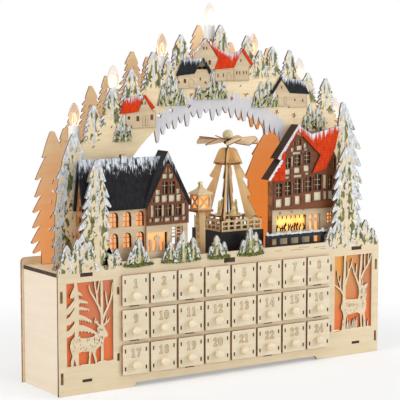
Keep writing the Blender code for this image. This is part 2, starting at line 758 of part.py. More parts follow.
def tabbed_board(name, half_width, thickness, foot, tabs, finish, holes=()):
    """A lying board with tabs on its front and back edges: tabs are (middle, length)."""
    front, back = INNER_FRONT - FRONT, INNER_BACK - FRONT
    tab = PLY + GAP
    loop = [(-half_width, front)]
    for middle, length in sorted(tabs):
        loop += [(middle - length / 2, front), (middle - length / 2, front - tab),
                 (middle + length / 2, front - tab), (middle + length / 2, front)]
    loop += [(half_width, front), (half_width, back)]
    for middle, length in sorted(tabs, reverse=True):
        if abs(middle) > BANK_WALL_REACH or thickness > PLY:
            loop += [(middle + length / 2, back), (middle + length / 2, back + tab),
                     (middle - length / 2, back + tab), (middle - length / 2, back)]
    loop.append((-half_width, back))
    return lying(name, [loop, *holes], thickness, foot, finish, left=0.0, front=FRONT)


def bottom_panel(finish):
    tabs = [(side * BOTTOM_TAB_REACH, BOTTOM_TAB) for side in (-1, 1)]
    tabs += [(drawer_centre(column), SHELF_TAB) for column in tab_columns(0)]
    half = SIDE_CENTRE - PLY / 2 - GAP
    return tabbed_board("bottom_panel", half, PLY, BOTTOM_FLOOR, tabs, finish)


def deck_board(finish):
    tabs = [(side * DECK_TAB_REACH, DECK_TAB) for side in (-1, 0, 1)]
    half = BODY_WIDTH / 2 - SIDE_INSET
    return tabbed_board("deck_board", half, DECK_THICKNESS, DECK_UNDERSIDE, tabs, finish)


def drawer_rack(finish):
    """Two end walls, two shelves and the dividers, halved together, drawn as one comb."""
    low = BOTTOM_FLOOR + PLY + GAP
    high = DECK_UNDERSIDE - GAP
    uprights = [drawer_centre(column) - DRAWER_PITCH / 2 for column in range(1, DRAWER_COLUMNS)]
    uprights = [-BANK_WALL_REACH, *uprights, BANK_WALL_REACH]
    half = PLY / 2
    outline = []
    top_shelf = shelf_height(DRAWER_ROWS - 1) + half
    bottom_shelf = shelf_height(1) - half
    for i, place in enumerate(uprights):
        if i > 0:
            outline.append((place - half, top_shelf))
        outline += [(place - half, high), (place + half, high)]
        if i < len(uprights) - 1:
            outline.append((place + half, top_shelf))
    for i, place in enumerate(reversed(uprights)):
        if i > 0:
            outline.append((place + half, bottom_shelf))
        outline += [(place + half, low), (place - half, low)]
        if i < len(uprights) - 1:
            outline.append((place - half, bottom_shelf))
    cells = []
    for level in range(1, DRAWER_ROWS - 1):
        for first, second in zip(uprights, uprights[1:]):
            cells.append(rectangle(first + half, shelf_height(level) + half,
                                   second - half, shelf_height(level + 1) - half))
    rack = upright("drawer_rack", [outline] + cells, RACK_DEPTH, INNER_FRONT, finish, left=0.0)
    tabs = []
    tab_front = FRONT
    tab_back = INNER_FRONT + GLUE_LAP
    for level in range(1, DRAWER_ROWS):
        for column in tab_columns(level):
            middle = drawer_centre(column)
            height = shelf_height(level)
            tabs.append(((middle - SHELF_TAB / 2, tab_front, height - half + FLUSH),
                         (middle + SHELF_TAB / 2, tab_back, height + half - FLUSH)))
    for side in (-1, 1):
        for height in WALL_TAB_HEIGHTS:
            middle = side * BANK_WALL_REACH
            tabs.append(((middle - half + FLUSH, tab_front, height - WALL_TAB / 2),
                         (middle + half - FLUSH, tab_back, height + WALL_TAB / 2)))
    return combine(rack, boxes("tabs", tabs))


def window_film(side, name, finish):
    """Coloured film behind a window of the base."""
    start = WINDOW_START if side < 0 else BODY_WIDTH - WINDOW_START - WINDOW_WIDTH
    loop = rectangle(start - FILM_LAP, WINDOW_FOOT, start + WINDOW_WIDTH + FILM_LAP,
                     WINDOW_FOOT + WINDOW_HEIGHT + FILM_LAP)
    return upright(name, [loop], FILM, INNER_FRONT, finish)


# Drawers

def ball(name, diameter, place, segments=8, rings=5):
    bm = bmesh.new()
    bmesh.ops.create_uvsphere(bm, u_segments=segments, v_segments=rings, radius=diameter / 2)
    bmesh.ops.rotate(bm, cent=(0, 0, 0), matrix=Matrix.Rotation(math.pi / 2, 3, "X"), verts=bm.verts)
    bmesh.ops.translate(bm, vec=place, verts=bm.verts)
    mesh = bpy.data.meshes.new(name)
    bm.to_mesh(mesh)
    bm.free()
    return new_object(name, mesh)


def drawer_pattern(finish):
    """One drawer about its own origin: the middle of its front's foot, on the front panel's face."""
    half = DRAWER_FRONT_WIDTH / 2
    drawer = box("drawer", (-half, -GAP - PLY, 0), (half, -GAP, DRAWER_FRONT_HEIGHT), finish)
    floor = TRAY_FLOOR - FRONT_LIFT
    tray_half = TRAY_WIDTH / 2
    tray_front = -GAP - GLUE_LAP
    combine(drawer, box("tray", (-tray_half, tray_front, floor),
                        (tray_half, TRAY_LENGTH, floor + TRAY_HEIGHT)))
    inner_half = tray_half - TRAY_WALL
    combine(drawer, box("hollow", (-inner_half, tray_front, floor + TRAY_WALL),
                        (inner_half, TRAY_LENGTH - TRAY_WALL, floor + TRAY_HEIGHT + OVERRUN)), "DIFFERENCE")
    knob_place = (0, -GAP - PLY + KNOB_SINK - KNOB_DIAMETER / 2, DRAWER_FRONT_HEIGHT / 2 - KNOB_DROP)
    combine(drawer, ball("knob", KNOB_DIAMETER, knob_place))
    return rounded(drawer)


def drawers(finish):
    """The 24 drawers, numbered along the rows from the upper left."""
    pattern = drawer_pattern(finish)
    mesh = pattern.data
    bpy.data.objects.remove(pattern, do_unlink=True)
    for row in range(DRAWER_ROWS):
        level = DRAWER_ROWS - 1 - row
        for column in range(DRAWER_COLUMNS):
            made = bpy.data.objects.new(f"drawer_{row * DRAWER_COLUMNS + column + 1:02d}", mesh)
            made.location = (drawer_centre(column), FRONT, shelf_height(level) + FRONT_LIFT)
            PARTS.objects.link(made)


# Arch panel and forest panel

def skyline():
    """The upper contour of the arch panel and of the forest panel, left foot to right foot."""
    foot = STAND
    firs = []
    for place_share, tip_share, size_share in SKYLINE_SHARES:
        firs.append((BODY_WIDTH * place_share, foot + SKYLINE_HEIGHT * tip_share,
                     SKYLINE_FIR_HEIGHT * size_share, SKYLINE_FIR_HALF * size_share))
    left = [(BODY_WIDTH * u, foot + SKYLINE_HEIGHT * v) for u, v in LEFT_EDGE_SHARES]
    right = [(BODY_WIDTH * u, foot + SKYLINE_HEIGHT * v) for u, v in RIGHT_EDGE_SHARES]
    points = [(left[-1][0] + BRANCH_NOTCH, foot)]
    for u, v in reversed(left):
        points += [(u, v), (u + BRANCH_NOTCH, v + BRANCH_RISE)]
    left_level, right_level = left[0][1] + 2 * BRANCH_RISE, right[0][1] + 2 * BRANCH_RISE
    for u, v in contour(firs, foot):
        if v > (left_level if u < BODY_WIDTH / 2 else right_level):
            points.append((u, v))
    for u, v in right:
        points += [(u - BRANCH_NOTCH, v + BRANCH_RISE), (u, v)]
    points.append((right[-1][0] - BRANCH_NOTCH, foot))
    return points


def icicles(radius, middle, start, end, count):
    """The edge of an arch with icicles hanging from it, from a right angle round to a left one."""
    points = []
    step = (end - start) / count
    for i in range(count):
        angle = start + step * i
        tip_angle = angle + step * 0.45
        length = ICICLE_LENGTH * ICICLE_LENGTH_SHARES[i % len(ICICLE_LENGTH_SHARES)]
        root = (BODY_WIDTH / 2 + radius * math.cos(angle), middle + radius * math.sin(angle))
        hang_u = BODY_WIDTH / 2 + radius * math.cos(tip_angle)
        hang_v = middle + radius * math.sin(tip_angle) - length
        points += [root, (hang_u + ICICLE_TIP / 2, hang_v), (hang_u - ICICLE_TIP / 2, hang_v)]
    points.append((BODY_WIDTH / 2 + radius * math.cos(end), middle + radius * math.sin(end)))
    return points


def arch_panel(finish):
    middle = STAND + ARCH_CENTRE_RISE
    dip = math.asin(ARCH_CENTRE_RISE / ARCH_RADIUS)
    hang_start = ARCH_ICICLE_START
    lower_right = arc(BODY_WIDTH / 2, middle, ARCH_RADIUS, -dip, hang_start, 6)
    lower_left = [(BODY_WIDTH - u, v) for u, v in reversed(lower_right)]
    hanging = icicles(ARCH_RADIUS, middle, hang_start, math.pi - hang_start, ARCH_ICICLES)
    loops = [skyline() + lower_right[:-1] + hanging + lower_left[1:]]
    for angle_share in STAR_ANGLE_SHARES:
        angle = math.pi * (1 - angle_share)
        orbit = ARCH_RADIUS + STAR_ORBIT
        across, up = orbit * math.cos(angle), orbit * math.sin(angle)
        loops.append(star(BODY_WIDTH / 2 + across, middle + up, STAR_RADIUS))
    panel = upright("arch_panel", loops, PLY, FRONT + ARCH_DEPTH_PLACE, finish)
    for loop in hamlet():
        combine(panel, upright("relief", [loop], HAMLET_RELIEF + GLUE_LAP,
                               FRONT + ARCH_DEPTH_PLACE - HAMLET_RELIEF))
    return panel


HAMLET_SHARES = (
    ((0.209, 0.633), (0.227, 0.689), (0.277, 0.705), (0.311, 0.648), (0.307, 0.576), (0.232, 0.576),
     (0.232, 0.633)),
    ((0.377, 0.788), (0.395, 0.852), (0.455, 0.860), (0.484, 0.792), (0.484, 0.735), (0.384, 0.735),
     (0.384, 0.788)),
    ((0.423, 0.873), (0.464, 0.943), (0.500, 0.860), (0.523, 0.892), (0.581, 0.893), (0.614, 0.828),
     (0.609, 0.754), (0.552, 0.754), (0.552, 0.808), (0.491, 0.806)),
    ((0.677, 0.705), (0.707, 0.773), (0.780, 0.752), (0.800, 0.694), (0.795, 0.642), (0.680, 0.642),
     (0.680, 0.700)))


def hamlet():
    """The small houses glued on the arch panel."""
    return [[(BODY_WIDTH * u, STAND + SKYLINE_HEIGHT * v) for u, v in house] for house in HAMLET_SHARES]


def forest_panel(finish):
    middle = STAND + ARCH_CENTRE_RISE
    hang_start = FOREST_ICICLE_START
    edge = [(BODY_WIDTH * FOREST_EDGE_SHARES[0][0], STAND)]
    edge += [(BODY_WIDTH * u, STAND + SKYLINE_HEIGHT * v) for u, v in FOREST_EDGE_SHARES]
    left = [(BODY_WIDTH - u, v) for u, v in reversed(edge)]
    hanging = icicles(FOREST_ARCH_RADIUS, middle, hang_start, math.pi - hang_start, FOREST_ICICLES)
    outline = skyline() + edge + hanging + left
    return upright("forest_panel", [outline], PLY, FRONT + FOREST_DEPTH_PLACE, finish)


# Candles

def candle(number, place_share, height_share, finish):
    """An electric candle: clear bulb, sleeve and the block that holds it to the arch panel."""
    place = LEFT + BODY_WIDTH * place_share
    tip = DECK_TOP + (TOP_CANDLE - DECK_TOP) * height_share
    bulb = BULB_DIAMETER / 2
    sleeve = CANDLE_DIAMETER / 2
    top = 0.0
    profile = [(0, top), (bulb * 0.30, top - BULB_LENGTH * 0.06), (bulb * 0.72, top - BULB_LENGTH * 0.22),
               (bulb * 0.95, top - BULB_LENGTH * 0.42), (bulb * 0.9, top - BULB_LENGTH * 0.8),
               (bulb * 0.62, top - BULB_LENGTH), (sleeve, top - BULB_LENGTH),
               (sleeve, top - BULB_LENGTH - SLEEVE_LENGTH), (0, top - BULB_LENGTH - SLEEVE_LENGTH)]
    depth = FRONT + CANDLE_DEPTH_PLACE
    made = turned(f"candle_{number}", profile, CANDLE_FACETS, finish, (place, depth, tip))
    holder_foot = tip - BULB_LENGTH - SLEEVE_LENGTH + CANDLE_DIAMETER * 0.1
    front = FRONT + ARCH_DEPTH_PLACE + PLY + GAP
    combine(made, box("holder", (place - CANDLE_HOLDER_WIDTH / 2, front, holder_foot),
                      (place + CANDLE_HOLDER_WIDTH / 2, depth, holder_foot + CANDLE_HOLDER_HEIGHT)))
    return rounded(made)


# Left house

def arched_window(start, floor, width, height):
    """A window with a round head, its lower left corner at the given place."""
    radius = width / 2
    head = arc(start + radius, floor + height - radius, radius, 0, math.pi, 5)
    return [(start, floor), (start + width, floor)] + head


LEFT_GABLE_HOLE_SHARES = (
    (0.04, 0.13, 0.50, 0.31), (0.60, 0.06, 0.88, 0.36),
    (0.18, 0.485, 0.33, 0.585), (0.42, 0.485, 0.60, 0.585), (0.70, 0.485, 0.85, 0.585),
    (0.37, 0.715, 0.48, 0.82), (0.55, 0.715, 0.66, 0.82))
LEFT_GABLE_OUTLINE_SHARES = ((0, 0), (1, 0), (1, 0.56), (0.53, 0.975), (0.47, 0.975), (0, 0.56))


def left_house_walls(finish):
    """Wing wall with arched windows, gable wall with shop window and door, and two side walls."""
    back = FRONT + ARCH_DEPTH_PLACE - HAMLET_RELIEF - HOUSE_BACK_GAP
    wing_front = FRONT + LEFT_HOUSE_FRONT + WING_SETBACK
    start = LEFT + LEFT_HOUSE_START
    loops = [rectangle(0, 0, LEFT_WING_WIDTH + PLY, LEFT_WING_HEIGHT)]
    for floor in ARCHED_WINDOW_FLOORS:
        for i in range(3):
            loops.append(arched_window(ARCHED_WINDOW_START + ARCHED_WINDOW_PITCH * i, floor,
                                       ARCHED_WINDOW_WIDTH, ARCHED_WINDOW_HEIGHT))
    walls = upright("left_house_walls", loops, PLY, wing_front, finish, start, STAND)
    gable_start = start + LEFT_WING_WIDTH
    gable = [scaled(LEFT_GABLE_OUTLINE_SHARES, LEFT_GABLE_WIDTH, LEFT_GABLE_HEIGHT)]
    for low_u, low_v, high_u, high_v in LEFT_GABLE_HOLE_SHARES:
        gable.append(rectangle(LEFT_GABLE_WIDTH * low_u, LEFT_GABLE_HEIGHT * low_v,
                               LEFT_GABLE_WIDTH * high_u, LEFT_GABLE_HEIGHT * high_v))
    combine(walls, upright("gable", gable, PLY, FRONT + LEFT_HOUSE_FRONT, None, gable_start, STAND))
    front = wing_front + GLUE_LAP - FRONT
    ridge = LEFT_RIDGE_PLACE
    half = back - FRONT - ridge
    drop = LEFT_RIDGE - LEFT_EAVES
    side_top = LEFT_RIDGE - fold_depth(half, drop, WING_ROOF_THICKNESS) - OVERRUN
    back_top = side_top - drop
    front_top = side_top - (ridge - front) * drop / half
    side = [[(front, 0), (back - FRONT, 0), (back - FRONT, back_top), (ridge, side_top), (front, front_top)]]
    middle = ridge - SIDE_WINDOW / 2
    for i in range(3):
        floor = LEFT_WING_HEIGHT * 0.62 + i * 2.4 * SIDE_WINDOW_HEIGHT
        side.append(rectangle(middle, floor, middle + SIDE_WINDOW, floor + SIDE_WINDOW_HEIGHT))
    combine(walls, sideways("end", side, PLY - 2 * FLUSH, start + FLUSH, None, FRONT, STAND))
    right = [rectangle(LEFT_HOUSE_FRONT + GLUE_LAP, 0, back - FRONT, LEFT_WING_HEIGHT - ROOF_THICKNESS)]
    right_start = gable_start + LEFT_GABLE_WIDTH - PLY
    combine(walls, sideways("end", right, PLY - 2 * FLUSH, right_start, None, FRONT, STAND))
    return walls


LEFT_TIMBER_OUTLINE_SHARES = ((0, 0.385), (1, 0.385), (1, 0.56), (0.53, 0.97), (0.47, 0.97), (0, 0.56))
LEFT_TIMBER_HOLE_SHARES = (
    (0.06, 0.415, 0.13, 0.455), (0.20, 0.415, 0.31, 0.455), (0.40, 0.415, 0.60, 0.455),
    (0.69, 0.415, 0.80, 0.455), (0.87, 0.415, 0.94, 0.455),
    (0.06, 0.485, 0.12, 0.585), (0.18, 0.485, 0.33, 0.585), (0.42, 0.485, 0.60, 0.585),
    (0.70, 0.485, 0.85, 0.585), (0.89, 0.485, 0.94, 0.575),
    (0.20, 0.625, 0.32, 0.685), (0.40, 0.625, 0.60, 0.685), (0.68, 0.625, 0.80, 0.685),
    (0.37, 0.715, 0.48, 0.82), (0.55, 0.715, 0.66, 0.82),
    (0.40, 0.845, 0.48, 0.885), (0.52, 0.845, 0.60, 0.885))


def pane_loops(shares, width, height):
    return [rectangle(width * low_u, height * low_v, width * high_u, height * high_v)
            for low_u, low_v, high_u, high_v in shares]


def left_house_timber(finish):
    """The half-timbering laid over the gable wall."""
    outline = scaled(LEFT_TIMBER_OUTLINE_SHARES, LEFT_GABLE_WIDTH, LEFT_GABLE_HEIGHT)
    loops = [outline] + pane_loops(LEFT_TIMBER_HOLE_SHARES, LEFT_GABLE_WIDTH, LEFT_GABLE_HEIGHT)
    front = FRONT + LEFT_HOUSE_FRONT - GAP - THIN_PLY
    start = LEFT + LEFT_HOUSE_START + LEFT_WING_WIDTH
    return upright("left_house_timber", loops, THIN_PLY, front, finish, start, STAND)


def fold_depth(half, drop, thickness):
    """How far a sloping roof of a given thickness reaches straight down."""
    return thickness * math.hypot(half, drop) / half


def roof_fold(half, drop, thickness):
    """The section of a roof with two equal slopes: half width, fall and thickness square to the slope."""
    down = fold_depth(half, drop, thickness)
    return [(-half, -drop), (0, 0), (half, -drop), (half, -drop - down / 2),
            (half - half * down / drop / 2, -drop - down / 2), (0, -down),
            (-half + half * down / drop / 2, -drop - down / 2), (-half, -drop - down / 2)]


def left_house_roof(finish):
    """Wing roof along the calendar, cross gable roof towards the front, and a chimney."""
    start = LEFT + LEFT_HOUSE_START - ROOF_OVERHANG
    wing_length = LEFT_WING_WIDTH + ROOF_OVERHANG + LEFT_GABLE_WIDTH / 2
    back = FRONT + ARCH_DEPTH_PLACE - HAMLET_RELIEF - HOUSE_BACK_GAP
    wing_half = back - FRONT - LEFT_RIDGE_PLACE
    wing = [roof_fold(wing_half, LEFT_RIDGE - LEFT_EAVES, WING_ROOF_THICKNESS)]
    roof = sideways("left_house_roof", wing, wing_length, start, finish,
                    FRONT + LEFT_RIDGE_PLACE, STAND + LEFT_RIDGE)
    gable_middle = LEFT + LEFT_HOUSE_START + LEFT_WING_WIDTH + LEFT_GABLE_WIDTH / 2
    half = LEFT_GABLE_WIDTH / 2 + ROOF_OVERHANG
    drop = LEFT_GABLE_APEX - LEFT_EAVES
    depth_front = FRONT + PLY + GAP
    depth = back - depth_front
    inside = [(-half, -drop), (0, -GAP), (half, -drop), (half, -drop * 1.5), (-half, -drop * 1.5)]
    combine(roof, upright("inside", [inside], depth + 2 * OVERRUN, depth_front - OVERRUN, None, gable_middle,
                          STAND + LEFT_GABLE_APEX), "DIFFERENCE")
    gable = [roof_fold(half, drop, ROOF_THICKNESS)]
    combine(roof, upright("gable", gable, depth, depth_front, None, gable_middle, STAND + LEFT_GABLE_APEX))
    chimney = LEFT + LEFT_HOUSE_START + CHIMNEY_PLACE
    ridge = FRONT + LEFT_RIDGE_PLACE
    half_depth = CHIMNEY_WIDTH * 0.3
    low = STAND + LEFT_RIDGE - CHIMNEY_HEIGHT * CHIMNEY_SUNK_SHARE
    combine(roof, box("chimney", (chimney, ridge - half_depth, low),
                      (chimney + CHIMNEY_WIDTH, ridge + half_depth, low + CHIMNEY_HEIGHT)))
    return roof


# Right house, drawn in perspective on flat sheets

def leaning(loops):
    """Slants the level lines upwards to the right, more so higher up, as the front is drawn."""
    level = RIGHT_HOUSE_HEIGHT * PERSPECTIVE_LEVEL_SHARE
    result = []
    for loop in loops:
        slanted = []
        for u, v in loop:
            rise = PERSPECTIVE_SHARE * (u / RIGHT_HOUSE_WIDTH - VANISHING_SHARE)
            slanted.append((u, v + max(v - level, 0) * rise))
        result.append(slanted)
    return result


RIGHT_WALL_SHARES = ((0, 0), (1, 0), (1, 0.72), (0.93, 0.80), (0.60, 0.855), (0.366, 0.925),
                     (0.172, 0.780), (0.172, 0.575), (0, 0.572))
RIGHT_SHOP_SHARES = ((0.06, 0.155, 0.53, 0.275), (0.585, 0.04, 0.76, 0.275), (0.86, 0.19, 0.955, 0.285))
RIGHT_WINDOW_SHARES = (
    (0.043, 0.450, 0.140, 0.560), (0.172, 0.450, 0.275, 0.560), (0.335, 0.450, 0.430, 0.560),
    (0.495, 0.450, 0.600, 0.560), (0.645, 0.450, 0.750, 0.560), (0.855, 0.440, 0.955, 0.545),
    (0.195, 0.670, 0.275, 0.750), (0.325, 0.670, 0.420, 0.750), (0.475, 0.660, 0.575, 0.740),
    (0.305, 0.840, 0.352, 0.872), (0.385, 0.840, 0.432, 0.872))
RIGHT_PANEL_SHARES = (
    (0.043, 0.365, 0.140, 0.425), (0.172, 0.365, 0.275, 0.425), (0.335, 0.365, 0.430, 0.425),
    (0.495, 0.365, 0.600, 0.425), (0.645, 0.365, 0.750, 0.425), (0.810, 0.360, 0.845, 0.415),
    (0.880, 0.355, 0.955, 0.410), (0.775, 0.450, 0.825, 0.545),
    (0.190, 0.605, 0.275, 0.645), (0.325, 0.605, 0.420, 0.645), (0.475, 0.600, 0.575, 0.640),
    (0.250, 0.785, 0.320, 0.820), (0.350, 0.785, 0.420, 0.820), (0.460, 0.775, 0.530, 0.805))
RIGHT_TIMBER_SHARES = ((0, 0.330), (1, 0.315), (1, 0.72), (0.93, 0.80), (0.60, 0.855), (0.366, 0.925),
                       (0.172, 0.780), (0.172, 0.575), (0, 0.572))
RIGHT_ROOF_SHARES = (
    (-0.108, 0.574), (0.108, 0.736), (0.032, 0.736), (0.366, 1.0), (0.570, 0.919), (1.032, 0.980),
    (0.957, 0.797), (0.806, 0.635), (0.591, 0.608), (0.720, 0.750), (0.366, 0.946), (0.161, 0.784),
    (0.161, 0.561), (-0.043, 0.561))
RIGHT_BARGE_SHARES = (
    (-0.108, 0.574), (0.108, 0.736), (0.032, 0.736), (0.366, 1.0), (0.400, 0.986), (0.366, 0.962),
    (0.130, 0.790), (0.130, 0.745), (-0.060, 0.574))


def right_house_walls(finish):
    """The front sheet of the right house and the dark return wall on its left."""
    front = FRONT + RIGHT_HOUSE_FRONT
    back = FRONT + ARCH_DEPTH_PLACE - HAMLET_RELIEF - HOUSE_BACK_GAP
    start = LEFT + RIGHT_HOUSE_START
    outline = scaled(RIGHT_WALL_SHARES, RIGHT_HOUSE_WIDTH, RIGHT_HOUSE_HEIGHT)
    loops = [outline] + pane_loops(RIGHT_SHOP_SHARES, RIGHT_HOUSE_WIDTH, RIGHT_HOUSE_HEIGHT)
    loops += leaning(pane_loops(RIGHT_WINDOW_SHARES, RIGHT_HOUSE_WIDTH, RIGHT_HOUSE_HEIGHT))
    walls = upright("right_house_walls", loops, PLY, front, finish, start, STAND)
    side = [rectangle(front + GLUE_LAP, 0, back, RIGHT_HOUSE_HEIGHT * RIGHT_WALL_SHARES[-1][1] - PLY)]
    return combine(walls, sideways("end", side, PLY - 2 * FLUSH, start + FLUSH, None, 0.0, STAND))


def right_house_timber(finish):
    """The half-timbering laid over the upper floors."""
    front = FRONT + RIGHT_HOUSE_FRONT - GAP - THIN_PLY
    outline = scaled(RIGHT_TIMBER_SHARES, RIGHT_HOUSE_WIDTH, RIGHT_HOUSE_HEIGHT)
    panes = pane_loops(RIGHT_WINDOW_SHARES + RIGHT_PANEL_SHARES, RIGHT_HOUSE_WIDTH, RIGHT_HOUSE_HEIGHT)
    return upright("right_house_timber", [outline] + leaning(panes), THIN_PLY, front, finish,
                   LEFT + RIGHT_HOUSE_START, STAND)


def right_house_roof(finish):
    """The red roof sheet in front and the deep barge on the left."""
    layer_front = FRONT + RIGHT_HOUSE_FRONT - 2 * (GAP + THIN_PLY)
    back = FRONT + ARCH_DEPTH_PLACE - HAMLET_RELIEF - HOUSE_BACK_GAP
    start = LEFT + RIGHT_HOUSE_START
    roof = upright("right_house_roof", [scaled(RIGHT_ROOF_SHARES, RIGHT_HOUSE_WIDTH, RIGHT_HOUSE_HEIGHT)],
                   THIN_PLY, layer_front, finish, start, STAND)
    barge = [scaled(RIGHT_BARGE_SHARES, RIGHT_HOUSE_WIDTH, RIGHT_HOUSE_HEIGHT)]
    depth_front = layer_front + GLUE_LAP
    return combine(roof, upright("barge", barge, back - depth_front, depth_front, None, start, STAND))


def garden_fence(finish):
    """A picket fence with two rails, cut from one sheet."""
    width, height, rail = GARDEN_FENCE_WIDTH, GARDEN_FENCE_HEIGHT, GARDEN_RAIL
    pitch = (width - GARDEN_POST) / GARDEN_BAYS
    top = []
    for i in range(GARDEN_BAYS + 1):
        start = pitch * i
        post_top = height if i % 3 == 0 else height - GARDEN_RAIL / 2
        top += [(start, post_top), (start + GARDEN_POST, post_top)]
        if i < GARDEN_BAYS:
            top += [(start + GARDEN_POST, height - rail), (start + pitch, height - rail)]
    loops = [[(0, 0), (width, 0)] + list(reversed(top))]
    for i in range(GARDEN_BAYS):
        start = pitch * i + GARDEN_POST
        end = pitch * (i + 1)
        loops.append(rectangle(start, rail * 1.6, end, height * 0.46))
        loops.append(rectangle(start, height * 0.46 + rail * 0.7, end, height - 2 * rail))
    return upright("garden_fence", loops, THIN_PLY, FRONT + GARDEN_FENCE_PLACE, finish,
                   LEFT + GARDEN_FENCE_START, STAND)


# Pyramid

def pyramid_axis():
    return LEFT + PYRAMID_START, FRONT + PYRAMID_PLACE


def pyramid_plinth(finish):
    x, y = pyramid_axis()
    half = PLINTH_WIDTH / 2
    top = STAND + PLINTH_HEIGHT
    plinth = box("pyramid_plinth", (x - half, y - half, STAND), (x + half, y + half, top), finish)
    bearing = [(0, OVERRUN), (BORE_RADIUS, OVERRUN), (BORE_RADIUS, -2 * PLY), (0, -2 * PLY)]
    return combine(plinth, turned("bearing", bearing, BORE_FACETS, None, (x, y, top)), "DIFFERENCE")


def pyramid_fence(finish):
    """Four lattice sides between corner posts, around the top of the plinth."""
    x, y = pyramid_axis()
    foot = STAND + PLINTH_HEIGHT + GAP
    post = LATTICE_POST
    inner = PLINTH_WIDTH - 2 * post
    cell_width = (inner - LATTICE_BAR * (LATTICE_COLUMNS - 1)) / LATTICE_COLUMNS
    cell_height = (LATTICE_HEIGHT - LATTICE_BAR * (LATTICE_ROWS + 2)) / LATTICE_ROWS
    loops = [rectangle(-inner / 2 - GLUE_LAP, 0, inner / 2 + GLUE_LAP, LATTICE_HEIGHT)]
    for column in range(LATTICE_COLUMNS):
        for row in range(LATTICE_ROWS):
            low_u = -inner / 2 + column * (cell_width + LATTICE_BAR)
            low_v = LATTICE_BAR * 1.5 + row * (cell_height + LATTICE_BAR)
            high_u = low_u + cell_width
            loops.append(rectangle(low_u + GLUE_LAP, low_v, high_u - GLUE_LAP, low_v + cell_height))
    corners = []
    half = PLINTH_WIDTH / 2
    post_top = foot + LATTICE_HEIGHT + LATTICE_POST_RISE
    for side_u in (-1, 1):
        for side_v in (-1, 1):
            low_u = x + side_u * (half - post / 2) - post / 2
            low_v = y + side_v * (half - post / 2) - post / 2
            corners.append(((low_u, low_v, foot), (low_u + post, low_v + post, post_top)))
    fence = boxes("pyramid_fence", corners, finish)
    for side in (-1, 1):
        front = y + side * (half - post / 2) - THIN_PLY / 2
        combine(fence, upright("lattice", loops, THIN_PLY, front, None, x, foot + FLUSH))
        left = x + side * (half - post / 2) - THIN_PLY / 2
        combine(fence, sideways("lattice", loops, THIN_PLY, left, None, y, foot + FLUSH))
    return fence


FRAME_OUTER_SHARES = ((0.86, 0.0), (0.90, 0.13), (1.0, 0.20), (0.86, 0.225), (0.88, 0.42), (0.73, 0.445),
                      (0.66, 0.655), (0.50, 0.675), (0.42, 0.79), (0.56, 0.82), (0.30, 0.97), (0.16, 1.0))
FRAME_INNER_SHARES = ((0.14, 0.80), (0.66, 0.0))


def pyramid_frame(finish):
    """Two tree-shaped frames crossed at right angles, with a round collar on them."""
    x, y = pyramid_axis()
    foot = STAND + PLINTH_HEIGHT + GAP
    outer = scaled(FRAME_OUTER_SHARES, FRAME_HALF, FRAME_HEIGHT)
    inner = scaled(FRAME_INNER_SHARES, FRAME_HALF, FRAME_HEIGHT)
    left_outer = [(-u, v) for u, v in reversed(outer)]
    left_inner = [(-u, v) for u, v in reversed(inner)]
    loop = outer + left_outer + left_inner + inner
    frames = sheet("pyramid_frame", [loop], PLY, finish, (x, y, foot), (math.pi / 2, 0, math.pi / 4))
    combine(frames, sheet("crossing", [loop], PLY, None, (x, y, foot), (math.pi / 2, 0, -math.pi / 4)))
    collar = [(0, PLY), (COLLAR_RADIUS, PLY), (COLLAR_RADIUS, 0), (0, 0)]
    combine(frames, turned("collar", collar, ROUND_FACETS, None, (x, y, foot + COLLAR_HEIGHT)))
    bore = [(0, FRAME_HEIGHT), (BORE_RADIUS, FRAME_HEIGHT), (BORE_RADIUS, 0), (0, 0)]
    return combine(frames, turned("bore", bore, BORE_FACETS, None, (x, y, foot + OVERRUN)), "DIFFERENCE")


FIGURE_SHARES = ((0, 1), (0.5, 0.93), (0.5, 0.80), (0.3, 0.74), (0.62, 0.66), (0.62, 0.40), (1, 0), (0, 0))


def pyramid_spindle(finish):
    """The rod with its point in the bearing, the turntable and the figures on it."""
    x, y = pyramid_axis()
    zero = STAND + PLINTH_HEIGHT
    profile = [(0, ROD_RISE), (ROD_RADIUS, ROD_RISE), (ROD_RADIUS, TURNTABLE_HEIGHT + THIN_PLY),
               (TURNTABLE_RADIUS, TURNTABLE_HEIGHT + THIN_PLY), (TURNTABLE_RADIUS, TURNTABLE_HEIGHT),
               (ROD_RADIUS, TURNTABLE_HEIGHT), (ROD_RADIUS, 0), (0, GAP - 2 * PLY)]
    spindle = turned("pyramid_spindle", profile, ROUND_FACETS, finish, (x, y, zero))
    for i in range(FIGURES):
        angle = 2 * math.pi * i / FIGURES
        place = (x + FIGURE_ORBIT * math.cos(angle), y + FIGURE_ORBIT * math.sin(angle),
                 zero + TURNTABLE_HEIGHT + THIN_PLY - GLUE_LAP)
        height, wide = FIGURE_HEIGHT, FIGURE_RADIUS
        figure = [(wide * u, height * v) for u, v in FIGURE_SHARES]
        combine(spindle, turned("figure", figure, FIGURE_FACETS, None, place))
    return rounded(spindle)


